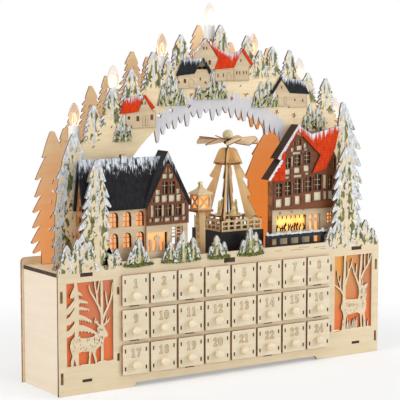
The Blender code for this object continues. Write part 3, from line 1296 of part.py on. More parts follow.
def pyramid_rotor(finish):
    """The vane wheel: hub, tilted blades and the ball on top."""
    x, y = pyramid_axis()
    zero = STAND + PLINTH_HEIGHT + ROTOR_RISE
    ball_radius = ROTOR_BALL_DIAMETER / 2
    ball_middle = HUB_HEIGHT + ball_radius * 0.8
    profile = [(0, ball_middle + ball_radius)]
    profile += arc(0, ball_middle, ball_radius, math.radians(60), math.radians(-52), 5)
    profile += [(HUB_RADIUS, HUB_HEIGHT), (HUB_RADIUS * 0.45, 0), (0, 0)]
    rotor = turned("pyramid_rotor", profile, ROUND_FACETS, finish, (x, y, zero))
    root = HUB_RADIUS * 0.5
    blade = [(root, -BLADE_WIDTH * 0.16), (ROTOR_RADIUS * 0.5, -BLADE_WIDTH * 0.36),
             (ROTOR_RADIUS * 0.96, -BLADE_WIDTH * 0.5), (ROTOR_RADIUS, -BLADE_WIDTH * 0.25),
             (ROTOR_RADIUS, BLADE_WIDTH * 0.25), (ROTOR_RADIUS * 0.96, BLADE_WIDTH * 0.5),
             (ROTOR_RADIUS * 0.5, BLADE_WIDTH * 0.36), (root, BLADE_WIDTH * 0.16)]
    for i in range(ROTOR_BLADES):
        angle = 2 * math.pi * (i + 0.5) / ROTOR_BLADES
        plate = sheet("blade", [blade], BLADE_THICKNESS)
        turn = Matrix.Rotation(angle, 4, "Z") @ Matrix.Rotation(BLADE_TILT, 4, "X")
        plate.data.transform(Matrix.Translation((x, y, zero + HUB_HEIGHT * 0.75)) @ turn)
        combine(rotor, plate)
    bore = [(0, ROD_RISE - ROTOR_RISE + GAP), (BORE_RADIUS, ROD_RISE - ROTOR_RISE + GAP),
            (BORE_RADIUS, -OVERRUN), (0, -OVERRUN)]
    return rounded(combine(rotor, turned("bore", bore, BORE_FACETS, None, (x, y, zero)), "DIFFERENCE"))


# Street lamp

def street_lamp(finish):
    """A square post, a shelf, an open lantern head and a swept cap with a finial."""
    x, y = LEFT + LAMP_START, FRONT + LAMP_PLACE
    post = LAMP_POST / 2
    post_top = STAND + LAMP_POST_HEIGHT
    lamp = box("street_lamp", (x - post, y - post, STAND), (x + post, y + post, post_top), finish)
    shelf = LAMP_SHELF / 2
    shelf_foot = post_top - GLUE_LAP
    combine(lamp, box("shelf", (x - shelf, y - shelf, shelf_foot), (x + shelf, y + shelf, shelf_foot + PLY)))
    head = LAMP_HEAD / 2
    head_foot = shelf_foot + PLY - GLUE_LAP
    head_top = head_foot + LAMP_HEAD
    combine(lamp, box("head", (x - head, y - head, head_foot), (x + head, y + head, head_top)))
    pane = head - LAMP_CORNER
    low, high = head_foot + LAMP_CORNER, head_top - LAMP_CORNER
    across = boxes("panes", [((x - head - OVERRUN, y - pane, low), (x + head + OVERRUN, y + pane, high))])
    combine(lamp, across, "DIFFERENCE")
    along = boxes("panes", [((x - pane, y - head - OVERRUN, low), (x + pane, y + head + OVERRUN, high))])
    combine(lamp, along, "DIFFERENCE")
    wide = shelf * math.sqrt(2)
    tall = LAMP_CAP_HEIGHT
    cap = [(0, tall), (wide * 0.17, tall * 0.92), (wide * 0.17, tall * 0.62), (wide * 0.30, tall * 0.45),
           (wide * 0.85, tall * 0.16), (wide, 0), (0, 0)]
    combine(lamp, turned("cap", cap, 4, None, (x, y, head_top - GLUE_LAP), (0, 0, math.pi / 4)))
    return lamp


# Power and lamps inside the base

def battery_box(finish):
    """A case let into the back panel, open where the cover lies, with a slot for the switch."""
    low_x = LEFT + BATTERY_BOX_START
    back, front = BACK, BACK - BATTERY_BOX_DEPTH
    width, height = BATTERY_BOX_WIDTH, BATTERY_BOX_HEIGHT
    foot = BATTERY_BOX_FOOT
    case = box("battery_box", (low_x, front, foot), (low_x + width, back, foot + height), finish)
    wall = BATTERY_WALL
    hollow_top = foot + COVER_HEIGHT - 2 * wall
    cuts = [((low_x + 2 * wall, front + wall, foot + 2 * wall),
             (low_x + width - 2 * wall, back + OVERRUN, hollow_top))]
    combine(case, boxes("hollow", cuts), "DIFFERENCE")
    track_top = foot + wall + COVER_HEIGHT + COVER_TRAVEL + 2 * GAP
    track = [((low_x + wall, back - COVER_THICKNESS - GAP, foot + wall),
              (low_x + width - wall, back + OVERRUN, track_top))]
    combine(case, boxes("track", track), "DIFFERENCE")
    x, z = switch_place()
    half = (SWITCH_WIDTH + SWITCH_TRAVEL) / 2 + GAP
    slot = [((x - half, back - SWITCH_DEPTH - GAP, z - SWITCH_HEIGHT / 2 - GAP),
             (x + half, back + OVERRUN, z + SWITCH_HEIGHT / 2 + GAP))]
    return combine(case, boxes("slot", slot), "DIFFERENCE")


def switch_place():
    """The middle of the switch's slot."""
    top_margin = (BATTERY_BOX_HEIGHT - BATTERY_WALL - COVER_HEIGHT - COVER_TRAVEL) / 2
    height = BATTERY_BOX_FOOT + BATTERY_BOX_HEIGHT - top_margin
    return LEFT + BATTERY_BOX_START + BATTERY_BOX_WIDTH / 2, height


def battery_cover(finish):
    """The cover, which slides up to come off; three grooves give a grip."""
    low_x = LEFT + BATTERY_BOX_START + BATTERY_WALL + GAP
    high_x = low_x + BATTERY_BOX_WIDTH - 2 * (BATTERY_WALL + GAP)
    foot = BATTERY_BOX_FOOT + BATTERY_WALL + GAP
    top = foot + COVER_HEIGHT - GAP
    cover = box("battery_cover", (low_x, BACK - COVER_THICKNESS, foot), (high_x, BACK, top), finish)
    middle = (low_x + high_x) / 2
    half = (high_x - low_x) / 5
    grooves = []
    for i in range(3):
        z = foot + COVER_HEIGHT * (0.62 + 0.08 * i)
        grooves.append(((middle - half, BACK - COVER_THICKNESS / 2, z),
                        (middle + half, BACK + OVERRUN, z + COVER_HEIGHT * 0.03)))
    return combine(cover, boxes("grooves", grooves), "DIFFERENCE")


def power_switch(finish):
    """A slide switch, shown off, at the left end of its slot as seen from behind."""
    x, z = switch_place()
    low = x + (SWITCH_WIDTH + SWITCH_TRAVEL) / 2 - SWITCH_WIDTH
    switch = box("power_switch", (low, BACK - SWITCH_DEPTH, z - SWITCH_HEIGHT / 2),
                 (low + SWITCH_WIDTH, BACK, z + SWITCH_HEIGHT / 2), finish)
    groove = [((low + SWITCH_WIDTH * 0.4, BACK - SWITCH_DEPTH * 0.2, z - SWITCH_HEIGHT),
               (low + SWITCH_WIDTH * 0.6, BACK + OVERRUN, z + SWITCH_HEIGHT))]
    return combine(switch, boxes("groove", groove), "DIFFERENCE")


def window_lamp(side, name, finish):
    """A small lamp on the bottom panel that lights a window's film."""
    place = (side * BOTTOM_TAB_REACH, FRONT + BODY_DEPTH * 0.4, BOTTOM_FLOOR + PLY + GAP)
    wide, tall = WINDOW_LAMP_RADIUS, WINDOW_LAMP_HEIGHT
    profile = [(0, tall), (wide * 0.45, tall * 0.95), (wide * 0.7, tall * 0.82), (wide * 0.66, tall * 0.62),
               (wide * 0.5, tall * 0.4), (wide * 0.5, tall * 0.12), (wide, tall * 0.12), (wide, 0), (0, 0)]
    return rounded(turned(name, profile, BORE_FACETS, finish, place))


def build():
    wood = material("birch_ply", (0.80, 0.66, 0.44), 0.62)
    glow = material("lit_ply", (0.86, 0.45, 0.18), 0.6)
    timber = material("brown_timber", (0.20, 0.07, 0.035), 0.6)
    charcoal = material("charcoal_paint", (0.02, 0.02, 0.022), 0.6)
    red = material("red_paint", (0.75, 0.08, 0.02), 0.55)
    film = material("orange_film", (0.90, 0.22, 0.03), 0.3)
    candle_white = material("candle_white", (0.86, 0.84, 0.78), 0.35)
    steel = material("steel_and_wood", (0.62, 0.55, 0.42), 0.4)
    plastic = material("black_plastic", (0.03, 0.03, 0.03), 0.45)
    front_panel(wood)
    back_panel(wood)
    side_panel(-1, "side_panel_left", wood)
    side_panel(1, "side_panel_right", wood)
    bottom_panel(wood)
    deck_board(wood)
    drawer_rack(wood)
    drawers(wood)
    window_film(-1, "window_film_left", film)
    window_film(1, "window_film_right", film)
    arch_panel(wood)
    forest_panel(glow)
    for number, (place_share, height_share) in enumerate(CANDLE_PLACE_SHARES, start=1):
        candle(number, place_share, height_share, candle_white)
    left_house_walls(wood)
    left_house_timber(timber)
    left_house_roof(charcoal)
    right_house_walls(wood)
    right_house_timber(timber)
    right_house_roof(red)
    garden_fence(charcoal)
    pyramid_plinth(charcoal)
    pyramid_fence(wood)
    pyramid_frame(wood)
    pyramid_spindle(steel)
    pyramid_rotor(wood)
    street_lamp(wood)
    battery_box(plastic)
    battery_cover(plastic)
    power_switch(plastic)
    window_lamp(-1, "window_lamp_left", candle_white)
    window_lamp(1, "window_lamp_right", candle_white)


remove_everything()
PARTS = collection_named("advent_calendar")
build()
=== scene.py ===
import random
from math import asin, cos, hypot, pi, radians, sin

import bpy
from bpy.props import FloatProperty, FloatVectorProperty, PointerProperty
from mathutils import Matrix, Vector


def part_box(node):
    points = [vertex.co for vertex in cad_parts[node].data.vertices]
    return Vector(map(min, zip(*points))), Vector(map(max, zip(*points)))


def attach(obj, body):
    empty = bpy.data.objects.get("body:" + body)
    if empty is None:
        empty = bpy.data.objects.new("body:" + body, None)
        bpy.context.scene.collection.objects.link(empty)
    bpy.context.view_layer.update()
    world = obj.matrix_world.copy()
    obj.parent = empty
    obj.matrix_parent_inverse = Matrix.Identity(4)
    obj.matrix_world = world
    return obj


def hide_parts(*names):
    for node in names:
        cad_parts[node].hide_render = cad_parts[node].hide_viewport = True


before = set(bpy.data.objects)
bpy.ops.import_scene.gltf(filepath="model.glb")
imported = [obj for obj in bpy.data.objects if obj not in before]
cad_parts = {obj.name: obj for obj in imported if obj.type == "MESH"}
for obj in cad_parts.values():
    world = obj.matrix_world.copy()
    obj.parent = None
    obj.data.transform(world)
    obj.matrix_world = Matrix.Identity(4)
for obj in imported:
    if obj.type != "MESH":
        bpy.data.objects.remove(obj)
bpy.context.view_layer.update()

bl_info = {
    "name": "Light-up advent calendar",
    "version": (1, 0, 0),
    "blender": (4, 5, 0),
    "location": "3D View > Sidebar > Advent",
    "description": "Dresses the packed advent calendar with its painted firs, houses, drawers and lights",
    "category": "Object",
}

MM = 0.001
DRAWER_HALF, DRAWER_PLAY = 16.04, 0.3
DECK_TABS, DECK_LEVEL = (-185.5, 0, 185.5), 130.2
DEPTH = 88
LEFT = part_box("front_panel")[0][0]
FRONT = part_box("back_panel")[1][1] - DEPTH * MM
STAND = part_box("arch_panel")[0][2] / MM
WIDTH = (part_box("front_panel")[1][0] - LEFT) / MM
PLY = 3
WINDOW_LEFT, WINDOW_RIGHT = 10, 372.5
WINDOW_WIDTH, WINDOW_FOOT, WINDOW_HEIGHT = 57.5, 31.5, 90
DRAWER_PITCH, ROW_PITCH, SHELF_ZERO = 36.08, 38.34, 14.3
ARCH_FRONT, FOREST_FRONT = 27, 75
ARCH_MIDDLE, ARCH_RADIUS, FOREST_RADIUS = 165.3, 140, 150
HOUSE_FRONT, WING_FRONT = 5.6, 8.1
RIGHT_FRONT = 15.3
PYRAMID_X, PYRAMID_Y = 246, 42
CANDLE_ROW = 42
LAMP_X, LAMP_Y = 194, 20.5


# Places, selection and shapes

def spot(x, y, z):
    """A place in metres, from millimetres off the front panel's lower left corner."""
    return LEFT + x * MM, FRONT + y * MM, z * MM


def only(piece):
    """Select one piece and make it active."""
    bpy.ops.object.select_all(action="DESELECT")
    piece.select_set(True)
    bpy.context.view_layer.objects.active = piece
    return piece


def into_edit(piece, select="SELECT"):
    only(piece)
    bpy.ops.object.mode_set(mode="EDIT")
    bpy.ops.mesh.select_all(action=select)


def out_of_edit():
    bpy.ops.object.mode_set(mode="OBJECT")


def apply_place(piece):
    only(piece)
    bpy.ops.object.transform_apply(location=True, rotation=True, scale=True)
    return piece


def tidy_mesh(piece, distance=0.000004):
    into_edit(piece)
    bpy.ops.mesh.remove_doubles(threshold=distance)
    bpy.ops.mesh.normals_make_consistent(inside=False)
    out_of_edit()
    return piece


def join(name, pieces):
    bpy.ops.object.select_all(action="DESELECT")
    for piece in pieces:
        piece.select_set(True)
    bpy.context.view_layer.objects.active = pieces[0]
    if len(pieces) > 1:
        bpy.ops.object.join()
    pieces[0].name = name
    pieces[0].data.name = name
    return pieces[0]


def soften(piece, width, segments=2, angle=40):
    """Round a piece's sharp edges with a bevel."""
    only(piece)
    bevel = piece.modifiers.new("rounding", "BEVEL")
    bevel.width = width * MM
    bevel.segments = segments
    bevel.limit_method = "ANGLE"
    bevel.angle_limit = radians(angle)
    bpy.ops.object.modifier_apply(modifier="rounding")
    return piece


def smooth(piece, angle=35):
    only(piece)
    bpy.ops.object.shade_smooth_by_angle(angle=radians(angle))
    return piece


def drawn(name, lines, closed, **settings):
    """A mesh made from a curve, with one spline for each line in millimetres."""
    curve = bpy.data.curves.new(name, "CURVE")
    for setting, value in settings.items():
        setattr(curve, setting, value)
    for line in lines:
        spline = curve.splines.new("POLY")
        spline.points.add(len(line) - 1)
        for point, (u, v) in zip(spline.points, line):
            point.co = (u * MM, v * MM, 0, 1)
        spline.use_cyclic_u = closed
    piece = bpy.data.objects.new(name, curve)
    bpy.context.collection.objects.link(piece)
    only(piece)
    bpy.ops.object.convert(target="MESH")
    return bpy.context.view_layer.objects.active


def cut_sheet(name, loops, front, thickness, facing="front"):
    """A flat sheet cut from closed outlines in millimetres: across and up, or depth and up."""
    piece = drawn(name, loops, True, dimensions="2D", fill_mode="BOTH", extrude=thickness * MM / 2)
    if facing == "front":
        piece.rotation_euler = (pi / 2, 0, 0)
        piece.location = spot(0, front + thickness / 2, 0)
    else:
        piece.rotation_euler = (pi / 2, 0, pi / 2)
        piece.location = spot(front + thickness / 2, 0, 0)
    apply_place(piece)
    return tidy_mesh(piece)


def line_work(name, lines, front, width, closed=False):
    """Fine engraved or drawn lines lying on a sheet."""
    piece = drawn(name, lines, closed, dimensions="3D", bevel_depth=width * MM / 2, bevel_resolution=0,
        use_fill_caps=True)
    piece.rotation_euler = (pi / 2, 0, 0)
    piece.location = spot(0, front, 0)
    apply_place(piece)
    return tidy_mesh(piece)


def block(name, low, high, rounding=0):
    """A square block between two corners in millimetres, with its edges eased."""
    middle = [(a + b) / 2 for a, b in zip(low, high)]
    size = [(b - a) * MM for a, b in zip(low, high)]
    bpy.ops.object.select_all(action="DESELECT")
    bpy.ops.mesh.primitive_cube_add(size=1, location=spot(*middle), scale=size)
    piece = bpy.context.view_layer.objects.active
    piece.name = name
    apply_place(piece)
    if rounding:
        into_edit(piece)
        bpy.ops.mesh.bevel(offset=rounding * MM, segments=2, affect="EDGES")
        out_of_edit()
    return piece


def lathe(name, profile, place, sides=24):
    """A turned shape from a profile of radii and heights in millimetres, foot first."""
    bpy.ops.object.select_all(action="DESELECT")
    x, y, z = place
    first_radius, first_height = profile[0]
    start = spot(x, y, z + first_height)
    bpy.ops.mesh.primitive_circle_add(vertices=sides, radius=first_radius * MM, location=start, fill_type="NGON")
    piece = bpy.context.view_layer.objects.active
    piece.name = name
    apply_place(piece)
    into_edit(piece)
    radius, height = first_radius, first_height
    for next_radius, next_height in profile[1:]:
        bpy.ops.mesh.extrude_region_move(TRANSFORM_OT_translate={"value": (0, 0, (next_height - height) * MM)})
        ratio = next_radius / radius
        bpy.ops.transform.resize(value=(ratio, ratio, 1), center_override=spot(x, y, z + next_height))
        radius, height = next_radius, next_height
    out_of_edit()
    return tidy_mesh(piece)


def copy_of(piece, name, move=(0, 0, 0)):
    """A copy with a mesh of its own, moved in millimetres."""
    only(piece)
    bpy.ops.object.duplicate()
    made = bpy.context.view_layer.objects.active
    made.name = name
    made.location = [m * MM for m in move]
    return apply_place(made)


def turned_sheet(name, loops, place, turn, thickness):
    """A sheet drawn about a standing axis, turned and then set at a place."""
    piece = cut_sheet(name, loops, -thickness / 2, thickness)
    piece.location = [-c for c in spot(0, 0, 0)]
    apply_place(piece)
    piece.rotation_euler = turn
    piece.location = spot(*place)
    return apply_place(piece)


def rectangle(low_u, low_v, high_u, high_v):
    return [(low_u, low_v), (high_u, low_v), (high_u, high_v), (low_u, high_v)]


def grown(low_u, low_v, high_u, high_v, by=0.4):
    return rectangle(low_u - by, low_v - by, high_u + by, high_v + by)


def around(u, v, width, height):
    return rectangle(u - width / 2, v - height / 2, u + width / 2, v + height / 2)


def arc(u, v, radius, start, end, steps):
    return [(u + radius * cos(start + (end - start) * i / steps), v + radius * sin(start + (end - start) * i / steps))
        for i in range(steps + 1)]


def finish_node(name, material):
    """Give a CAD node its material."""
    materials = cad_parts[name].data.materials
    materials.clear()
    materials.append(material)


def dress(piece, material, body="base", slot="wood", stands_for=()):
    """Give a finished piece its material, its body and the nodes that it stands for. The slot is not used."""
    piece.data.materials.clear()
    piece.data.materials.append(material)
    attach(piece, body)
    if stands_for:
        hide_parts(*stands_for)
    return piece


def lay(name, loops, front, thickness, material, *place, **given):
    """Cut a sheet and dress it."""
    return dress(cut_sheet(name, loops, front, thickness), material, *place, **given)


# Firs

def flank(height, half, tiers, stub, chance):
    """One side of a fir from its rounded tip down: distance from the trunk and drop from the tip."""
    points = [(stub * sin(a), stub - stub * cos(a)) for a in (0.5, 1, 1.5)]
    inner, level = stub, stub
    pitch = height * 0.9 / tiers
    round_off = min(0.9, pitch * 0.20)
    for i in range(tiers):
        share = (i + 1) / tiers
        reach = max(half * (0.24 + 0.76 * share ** 0.9) * chance.uniform(0.86, 1.08), inner + 0.8)
        drop = min(height * (0.10 + 0.90 * share) * chance.uniform(0.985, 1.01), height - 0.4)
        for f in (0.3, 0.6, 0.85):
            points.append((inner + (reach - inner) * f ** 0.9, level + (drop - 2 * round_off - level) * f))
        points += [(reach - 0.1, drop - 1.6 * round_off), (reach + 0.35, drop - 0.5 * round_off),
            (reach, drop + 0.3 * round_off), (reach - round_off, drop + 0.45 * round_off)]
        inner = max(reach * 0.66, stub)
        level = drop - 0.2 * round_off
        if i < tiers - 1:
            points += [(inner + (reach - inner) * 0.45, drop - 0.5 * round_off), (inner, level)]
    return points


def fir_outline(x, tip, height, half, tiers=6, stub=3, seed=1):
    """The outline of one fir in millimetres."""
    chance = random.Random(seed)
    left = flank(height, half, tiers, stub, chance)
    right = flank(height, half, tiers, stub, chance)
    foot = tip - height
    outline = [(x - u, max(tip - v, foot)) for u, v in reversed(left)] + [(x, tip)]
    outline += [(x + u, max(tip - v, foot)) for u, v in right]
    return outline + [(x + half * 0.3, foot - 0.4), (x - half * 0.3, foot - 0.4)]


def hooked_outline(x, tip, foot, trunk, hooks, stub=3.6):
    """A big fir whose branches are listed: hooks are (reach to the left, reach to the right, height)."""
    left, right = [], []
    for side, points in ((0, left), (1, right)):
        inner, level = stub, tip - stub
        points += [(stub * sin(a), tip - stub + stub * cos(a)) for a in (0.45, 0.9, 1.4)]
        for hook in hooks:
            reach, height = hook[side], hook[2]
            for f in (0.2, 0.4, 0.6, 0.8, 0.93):
                points.append((inner + (reach - inner) * f ** 0.85, level + (height + 1.6 - level) * f))
            points += [(reach, height + 1.6), (reach + 0.8, height + 0.4), (reach + 0.6, height - 0.8),
                (reach - 0.6, height - 1.3), (reach - 2, height - 0.6)]
            inner = reach * 0.60
            level = height + 1.8
            points += [(reach - (reach - inner) * 0.6, height + 0.9), (inner, level)]
        points.append((trunk, foot))
    return [(x - u, v) for u, v in reversed(left)] + [(x, tip)] + [(x + u, v) for u, v in right]


def squiggles(x, tip, height, half, count, seed, size=1):
    """Short crooked cuts inside a fir."""
    chance = random.Random(seed)
    loops = []
    for i in range(count):
        drop = height * (0.28 + 0.66 * (i + chance.uniform(0.1, 0.9)) / count)
        reach = half * drop / height * 0.58
        u, v = x + chance.uniform(-reach, reach), tip - drop
        long, wide = chance.uniform(2.6, 4.2) * size, chance.uniform(0.8, 1.2) * size ** 1.5
        turn, bend = chance.uniform(0.5, 1.3) * chance.choice((1, -1, 1)), chance.uniform(-0.7, 0.7)
        path = [(u + cos(turn) * long * f + bend * (0.25 - f * f), v + sin(turn) * long * f)
            for f in (-0.5, -0.2, 0.15, 0.5)]
        loops.append(branch(path, (wide * 0.5, wide, wide * 0.9, wide * 0.4)))
    return loops


def mark(piece, name, value):
    """Give every corner of a piece one constant vector, for its material to read."""
    item = piece.data.attributes.new(name, "FLOAT_VECTOR", "POINT")
    item.data.foreach_set("vector", list(value) * len(piece.data.vertices))


class Grove:
    """A stand of firs cut from sheets, each with its trunk, tip and spread kept for the paint."""

    def __init__(self, front, thickness):
        self.front, self.thickness = front, thickness
        self.sheets, self.cuts = [], []

    def add(self, outline, tree, cuts=3, front=None, thickness=None, holes=()):
        x, tip, height, half, snow, free = tree
        step = 0.04 * (len(self.sheets) % 5 + 1)
        front = self.front - step if front is None else front
        thickness = self.thickness + 2 * step if thickness is None else thickness
        sheet = cut_sheet("fir", [outline, *holes], front, thickness)
        mark(sheet, "fir", (LEFT + x * MM, tip * MM, height * MM))
        mark(sheet, "spread", (half * MM, snow, free))
        self.sheets.append(sheet)
        self.cuts += squiggles(x, tip, height, half, cuts, int(x * 7 + tip))

    def plain(self, sheet):
        mark(sheet, "fir", (0, 0, 0))
        mark(sheet, "spread", (1, 0, 0))
        self.sheets.insert(0, sheet)


# Material nodes

def feed(tree, socket, value):
    """Link a value to a socket, or set it there; a colour gets its alpha."""
    if isinstance(value, bpy.types.NodeSocket):
        tree.links.new(value, socket)
    elif socket.type == "RGBA":
        socket.default_value = (*value[:3], 1)
    else:
        socket.default_value = value


def add_node(tree, kind, values=None, **settings):
    made = tree.nodes.new(kind)
    for key, value in settings.items():
        setattr(made, key, value)
    for key, value in (values or {}).items():
        feed(tree, made.inputs[key], value)
    return made


def blend_colour(tree, factor, first, second, mode="MIX"):
    made = add_node(tree, "ShaderNodeMix", data_type="RGBA", blend_type=mode)
    for index, value in ((0, factor), (6, first), (7, second)):
        feed(tree, made.inputs[index], value)
    return made.outputs[2]


def calculate(tree, operation, first, second=0, third=0, clamp=False):
    made = add_node(tree, "ShaderNodeMath", operation=operation, use_clamp=clamp)
    for index, value in enumerate((first, second, third)):
        feed(tree, made.inputs[index], value)
    return made.outputs[0]


def times(tree, first, second, **settings):
    return calculate(tree, "MULTIPLY", first, second, **settings)


def minus(tree, first, second):
    return calculate(tree, "SUBTRACT", first, second)


def times_plus(tree, first, second, third):
    return calculate(tree, "MULTIPLY_ADD", first, second, third)


def length_of(tree, vector):
    return add_node(tree, "ShaderNodeVectorMath", {0: vector}, operation="LENGTH").outputs["Value"]


def spread(tree, value, low, high, to_low=0, to_high=1):
    """Map a value smoothly from one range to another."""
    made = add_node(tree, "ShaderNodeMapRange", interpolation_type="SMOOTHSTEP")
    for index, item in enumerate((value, low, high, to_low, to_high)):
        feed(tree, made.inputs[index], item)
    return made.outputs[0]


def noise(tree, vector, scale, detail=4, roughness=0.55, distortion=0):
    made = add_node(tree, "ShaderNodeTexNoise", {"Scale": scale, "Detail": detail, "Roughness": roughness,
        "Distortion": distortion})
    tree.links.new(vector, made.inputs["Vector"])
    return made.outputs["Fac"]


def stretched(tree, vector, scale, location=(0, 0, 0), rotation=(0, 0, 0)):
    return add_node(tree, "ShaderNodeMapping", {"Vector": vector, "Location": location, "Rotation": rotation,
        "Scale": scale}).outputs[0]


def object_place(tree):
    """The place on the piece in its own coordinates."""
    return add_node(tree, "ShaderNodeTexCoord").outputs["Object"]


def axes(tree, vector):
    """The x, y and z of a vector."""
    return add_node(tree, "ShaderNodeSeparateXYZ", {0: vector}).outputs


def new_group(name, inputs, outputs):
    group = bpy.data.node_groups.new(name, "ShaderNodeTree")
    for label, kind in inputs:
        group.interface.new_socket(name=label, in_out="INPUT", socket_type=kind)
    for label, kind in outputs:
        group.interface.new_socket(name=label, in_out="OUTPUT", socket_type=kind)
    return group, group.nodes.new("NodeGroupInput").outputs, group.nodes.new("NodeGroupOutput").inputs


def use_group(tree, maker, **values):
    """Put a shared group in a material; its maker runs once."""
    return add_node(tree, "ShaderNodeGroup", values, node_tree=Finishes.group(maker)).outputs


def ply_grain_group():
    """Birch ply: broad clouds and fine fibres along one direction."""
    group, given, result = new_group("ply_grain", (("Stretch", "NodeSocketVector"), ("Pale", "NodeSocketColor"),
        ("Deep", "NodeSocketColor")), (("Colour", "NodeSocketColor"), ("Height", "NodeSocketFloat")))
    place = object_place(group)
    along = stretched(group, place, given["Stretch"])
    clouds = noise(group, along, 1, 5, 0.6, 0.6)
    fibres = noise(group, along, 7, 4, 0.7, 0.2)
    specks = noise(group, place, 900, 2)
    mottle = times_plus(group, clouds, 0.62, times(group, fibres, 0.30))
    mottle = times_plus(group, specks, 0.08, mottle)
    mask = spread(group, mottle, 0.36, 0.66)
    colour = blend_colour(group, mask, given["Deep"], given["Pale"])
    group.links.new(colour, result["Colour"])
    group.links.new(mottle, result["Height"])
    return group


def burnt_edge_group():
    """Marks the laser-cut edges of a sheet: everything that doesn't face along the sheet's axis."""
    group, given, result = new_group("burnt_edges", (("Axis", "NodeSocketVector"),), (("Edge", "NodeSocketFloat"),))
    normal = add_node(group, "ShaderNodeTexCoord").outputs["Normal"]
    dot = add_node(group, "ShaderNodeVectorMath", operation="DOT_PRODUCT")
    group.links.new(normal, dot.inputs[0])
    group.links.new(given["Axis"], dot.inputs[1])
    facing = calculate(group, "ABSOLUTE", dot.outputs["Value"])
    group.links.new(spread(group, facing, 0.35, 0.75, 1, 0), result["Edge"])
    return group


def fir_paint_group():
    """Brushed snow on branch ends, tip and trunk, olive strokes between them."""
    group, given, result = new_group("fir_paint", (("Lush", "NodeSocketFloat"),), (("Snow", "NodeSocketFloat"),
        ("Green", "NodeSocketFloat"), ("Shade", "NodeSocketFloat")))
    values = []
    for name in ("fir", "spread"):
        parts = axes(group, add_node(group, "ShaderNodeAttribute", attribute_name=name).outputs["Vector"])
        values += list(parts)
    centre, tip, tall, half, amount, free = values
    place = object_place(group)
    parts = axes(group, place)
    painted = calculate(group, "GREATER_THAN", tall, 0.001)
    drop = calculate(group, "DIVIDE", minus(group, tip, parts[2]), tall)
    offset = calculate(group, "ABSOLUTE", minus(group, parts[0], centre))
    reach = times(group, half, times_plus(group, drop, 0.84, 0.16))
    across = calculate(group, "DIVIDE", offset, reach)
    brush = noise(group, stretched(group, place, (1, 1, 0.45)), 430, 4, 0.65, 0.4)
    ragged = minus(group, brush, 0.5)
    broad = noise(group, stretched(group, place, (1, 1, 0.8)), 120, 2)
    ends = spread(group, times_plus(group, ragged, 0.9, across), 0.66, 0.78)
    ends = times(group, ends, spread(group, broad, 0.40, 0.47))
    ends = times(group, ends, spread(group, minus(group, drop, free), 0.08, -0.04))
    top = spread(group, times_plus(group, ragged, 0.16, drop), 0.12, 0.07)
    stroke = spread(group, times_plus(group, ragged, 0.007, offset), 0.0021, 0.0009)
    stroke = times(group, stroke, spread(group, times_plus(group, broad, 0.7, drop), 1, 0.75))
    snow = calculate(group, "MAXIMUM", calculate(group, "MAXIMUM", ends, top), stroke)
    snow = times(group, times(group, snow, amount, clamp=True), painted)
    group.links.new(snow, result["Snow"])
    strokes = noise(group, stretched(group, place, (1, 1, 0.42), (0.3, 0.1, 0.7)), 210, 2, 0.5, 0.6)
    strokes = times_plus(group, given["Lush"], 0.07, strokes)
    green = spread(group, strokes, 0.505, 0.545)
    green = times(group, green, spread(group, across, 0.06, 0.25))
    green = times(group, green, spread(group, minus(group, drop, free), 0.12, 0))
    green = times(group, green, times(group, painted, spread(group, drop, 0.06, 0.16)))
    group.links.new(green, result["Green"])
    group.links.new(spread(group, brush, 0.30, 0.70), result["Shade"])
    return group


def snow_streak_group():
    """Snow brushed down from a ridge: full at the ridge, thin streaks below."""
    group, given, result = new_group("ridge_snow", (("Below", "NodeSocketFloat"), ("Fall", "NodeSocketFloat"),
        ("Fineness", "NodeSocketFloat")), (("Snow", "NodeSocketFloat"), ("Tone", "NodeSocketFloat")))
    place = object_place(group)
    below = calculate(group, "DIVIDE", given["Below"], given["Fall"])
    streaks = add_node(group, "ShaderNodeTexNoise", {"Detail": 4, "Roughness": 0.65})
    group.links.new(stretched(group, place, (1, 1, 0.055)), streaks.inputs["Vector"])
    group.links.new(given["Fineness"], streaks.inputs["Scale"])
    depth = times_plus(group, minus(group, streaks.outputs["Fac"], 0.5), 3.2, minus(group, 0.45, below))
    group.links.new(spread(group, depth, -0.22, 0.42), result["Snow"])
    group.links.new(spread(group, streaks.outputs["Fac"], 0.35, 0.65), result["Tone"])
    return group


class Finishes:
    """The materials of the calendar, made once by the first operator that needs them."""
    made = {}
    groups = {}

    @classmethod
    def group(cls, maker):
        if maker not in cls.groups:
            cls.groups[maker] = maker()
        return cls.groups[maker]

    @classmethod
    def start(cls, name, roughness=0.6):
        material = bpy.data.materials.new(name)
        material.use_nodes = True
        tree = material.node_tree
        shader = tree.nodes["Principled BSDF"]
        shader.inputs["Roughness"].default_value = roughness
        cls.made[name] = material
        return material, tree, shader


def raise_surface(tree, shader, height, strength, distance):
    bump = add_node(tree, "ShaderNodeBump", {"Strength": strength, "Distance": distance * MM})
    tree.links.new(height, bump.inputs["Height"])
    tree.links.new(bump.outputs[0], shader.inputs["Normal"])


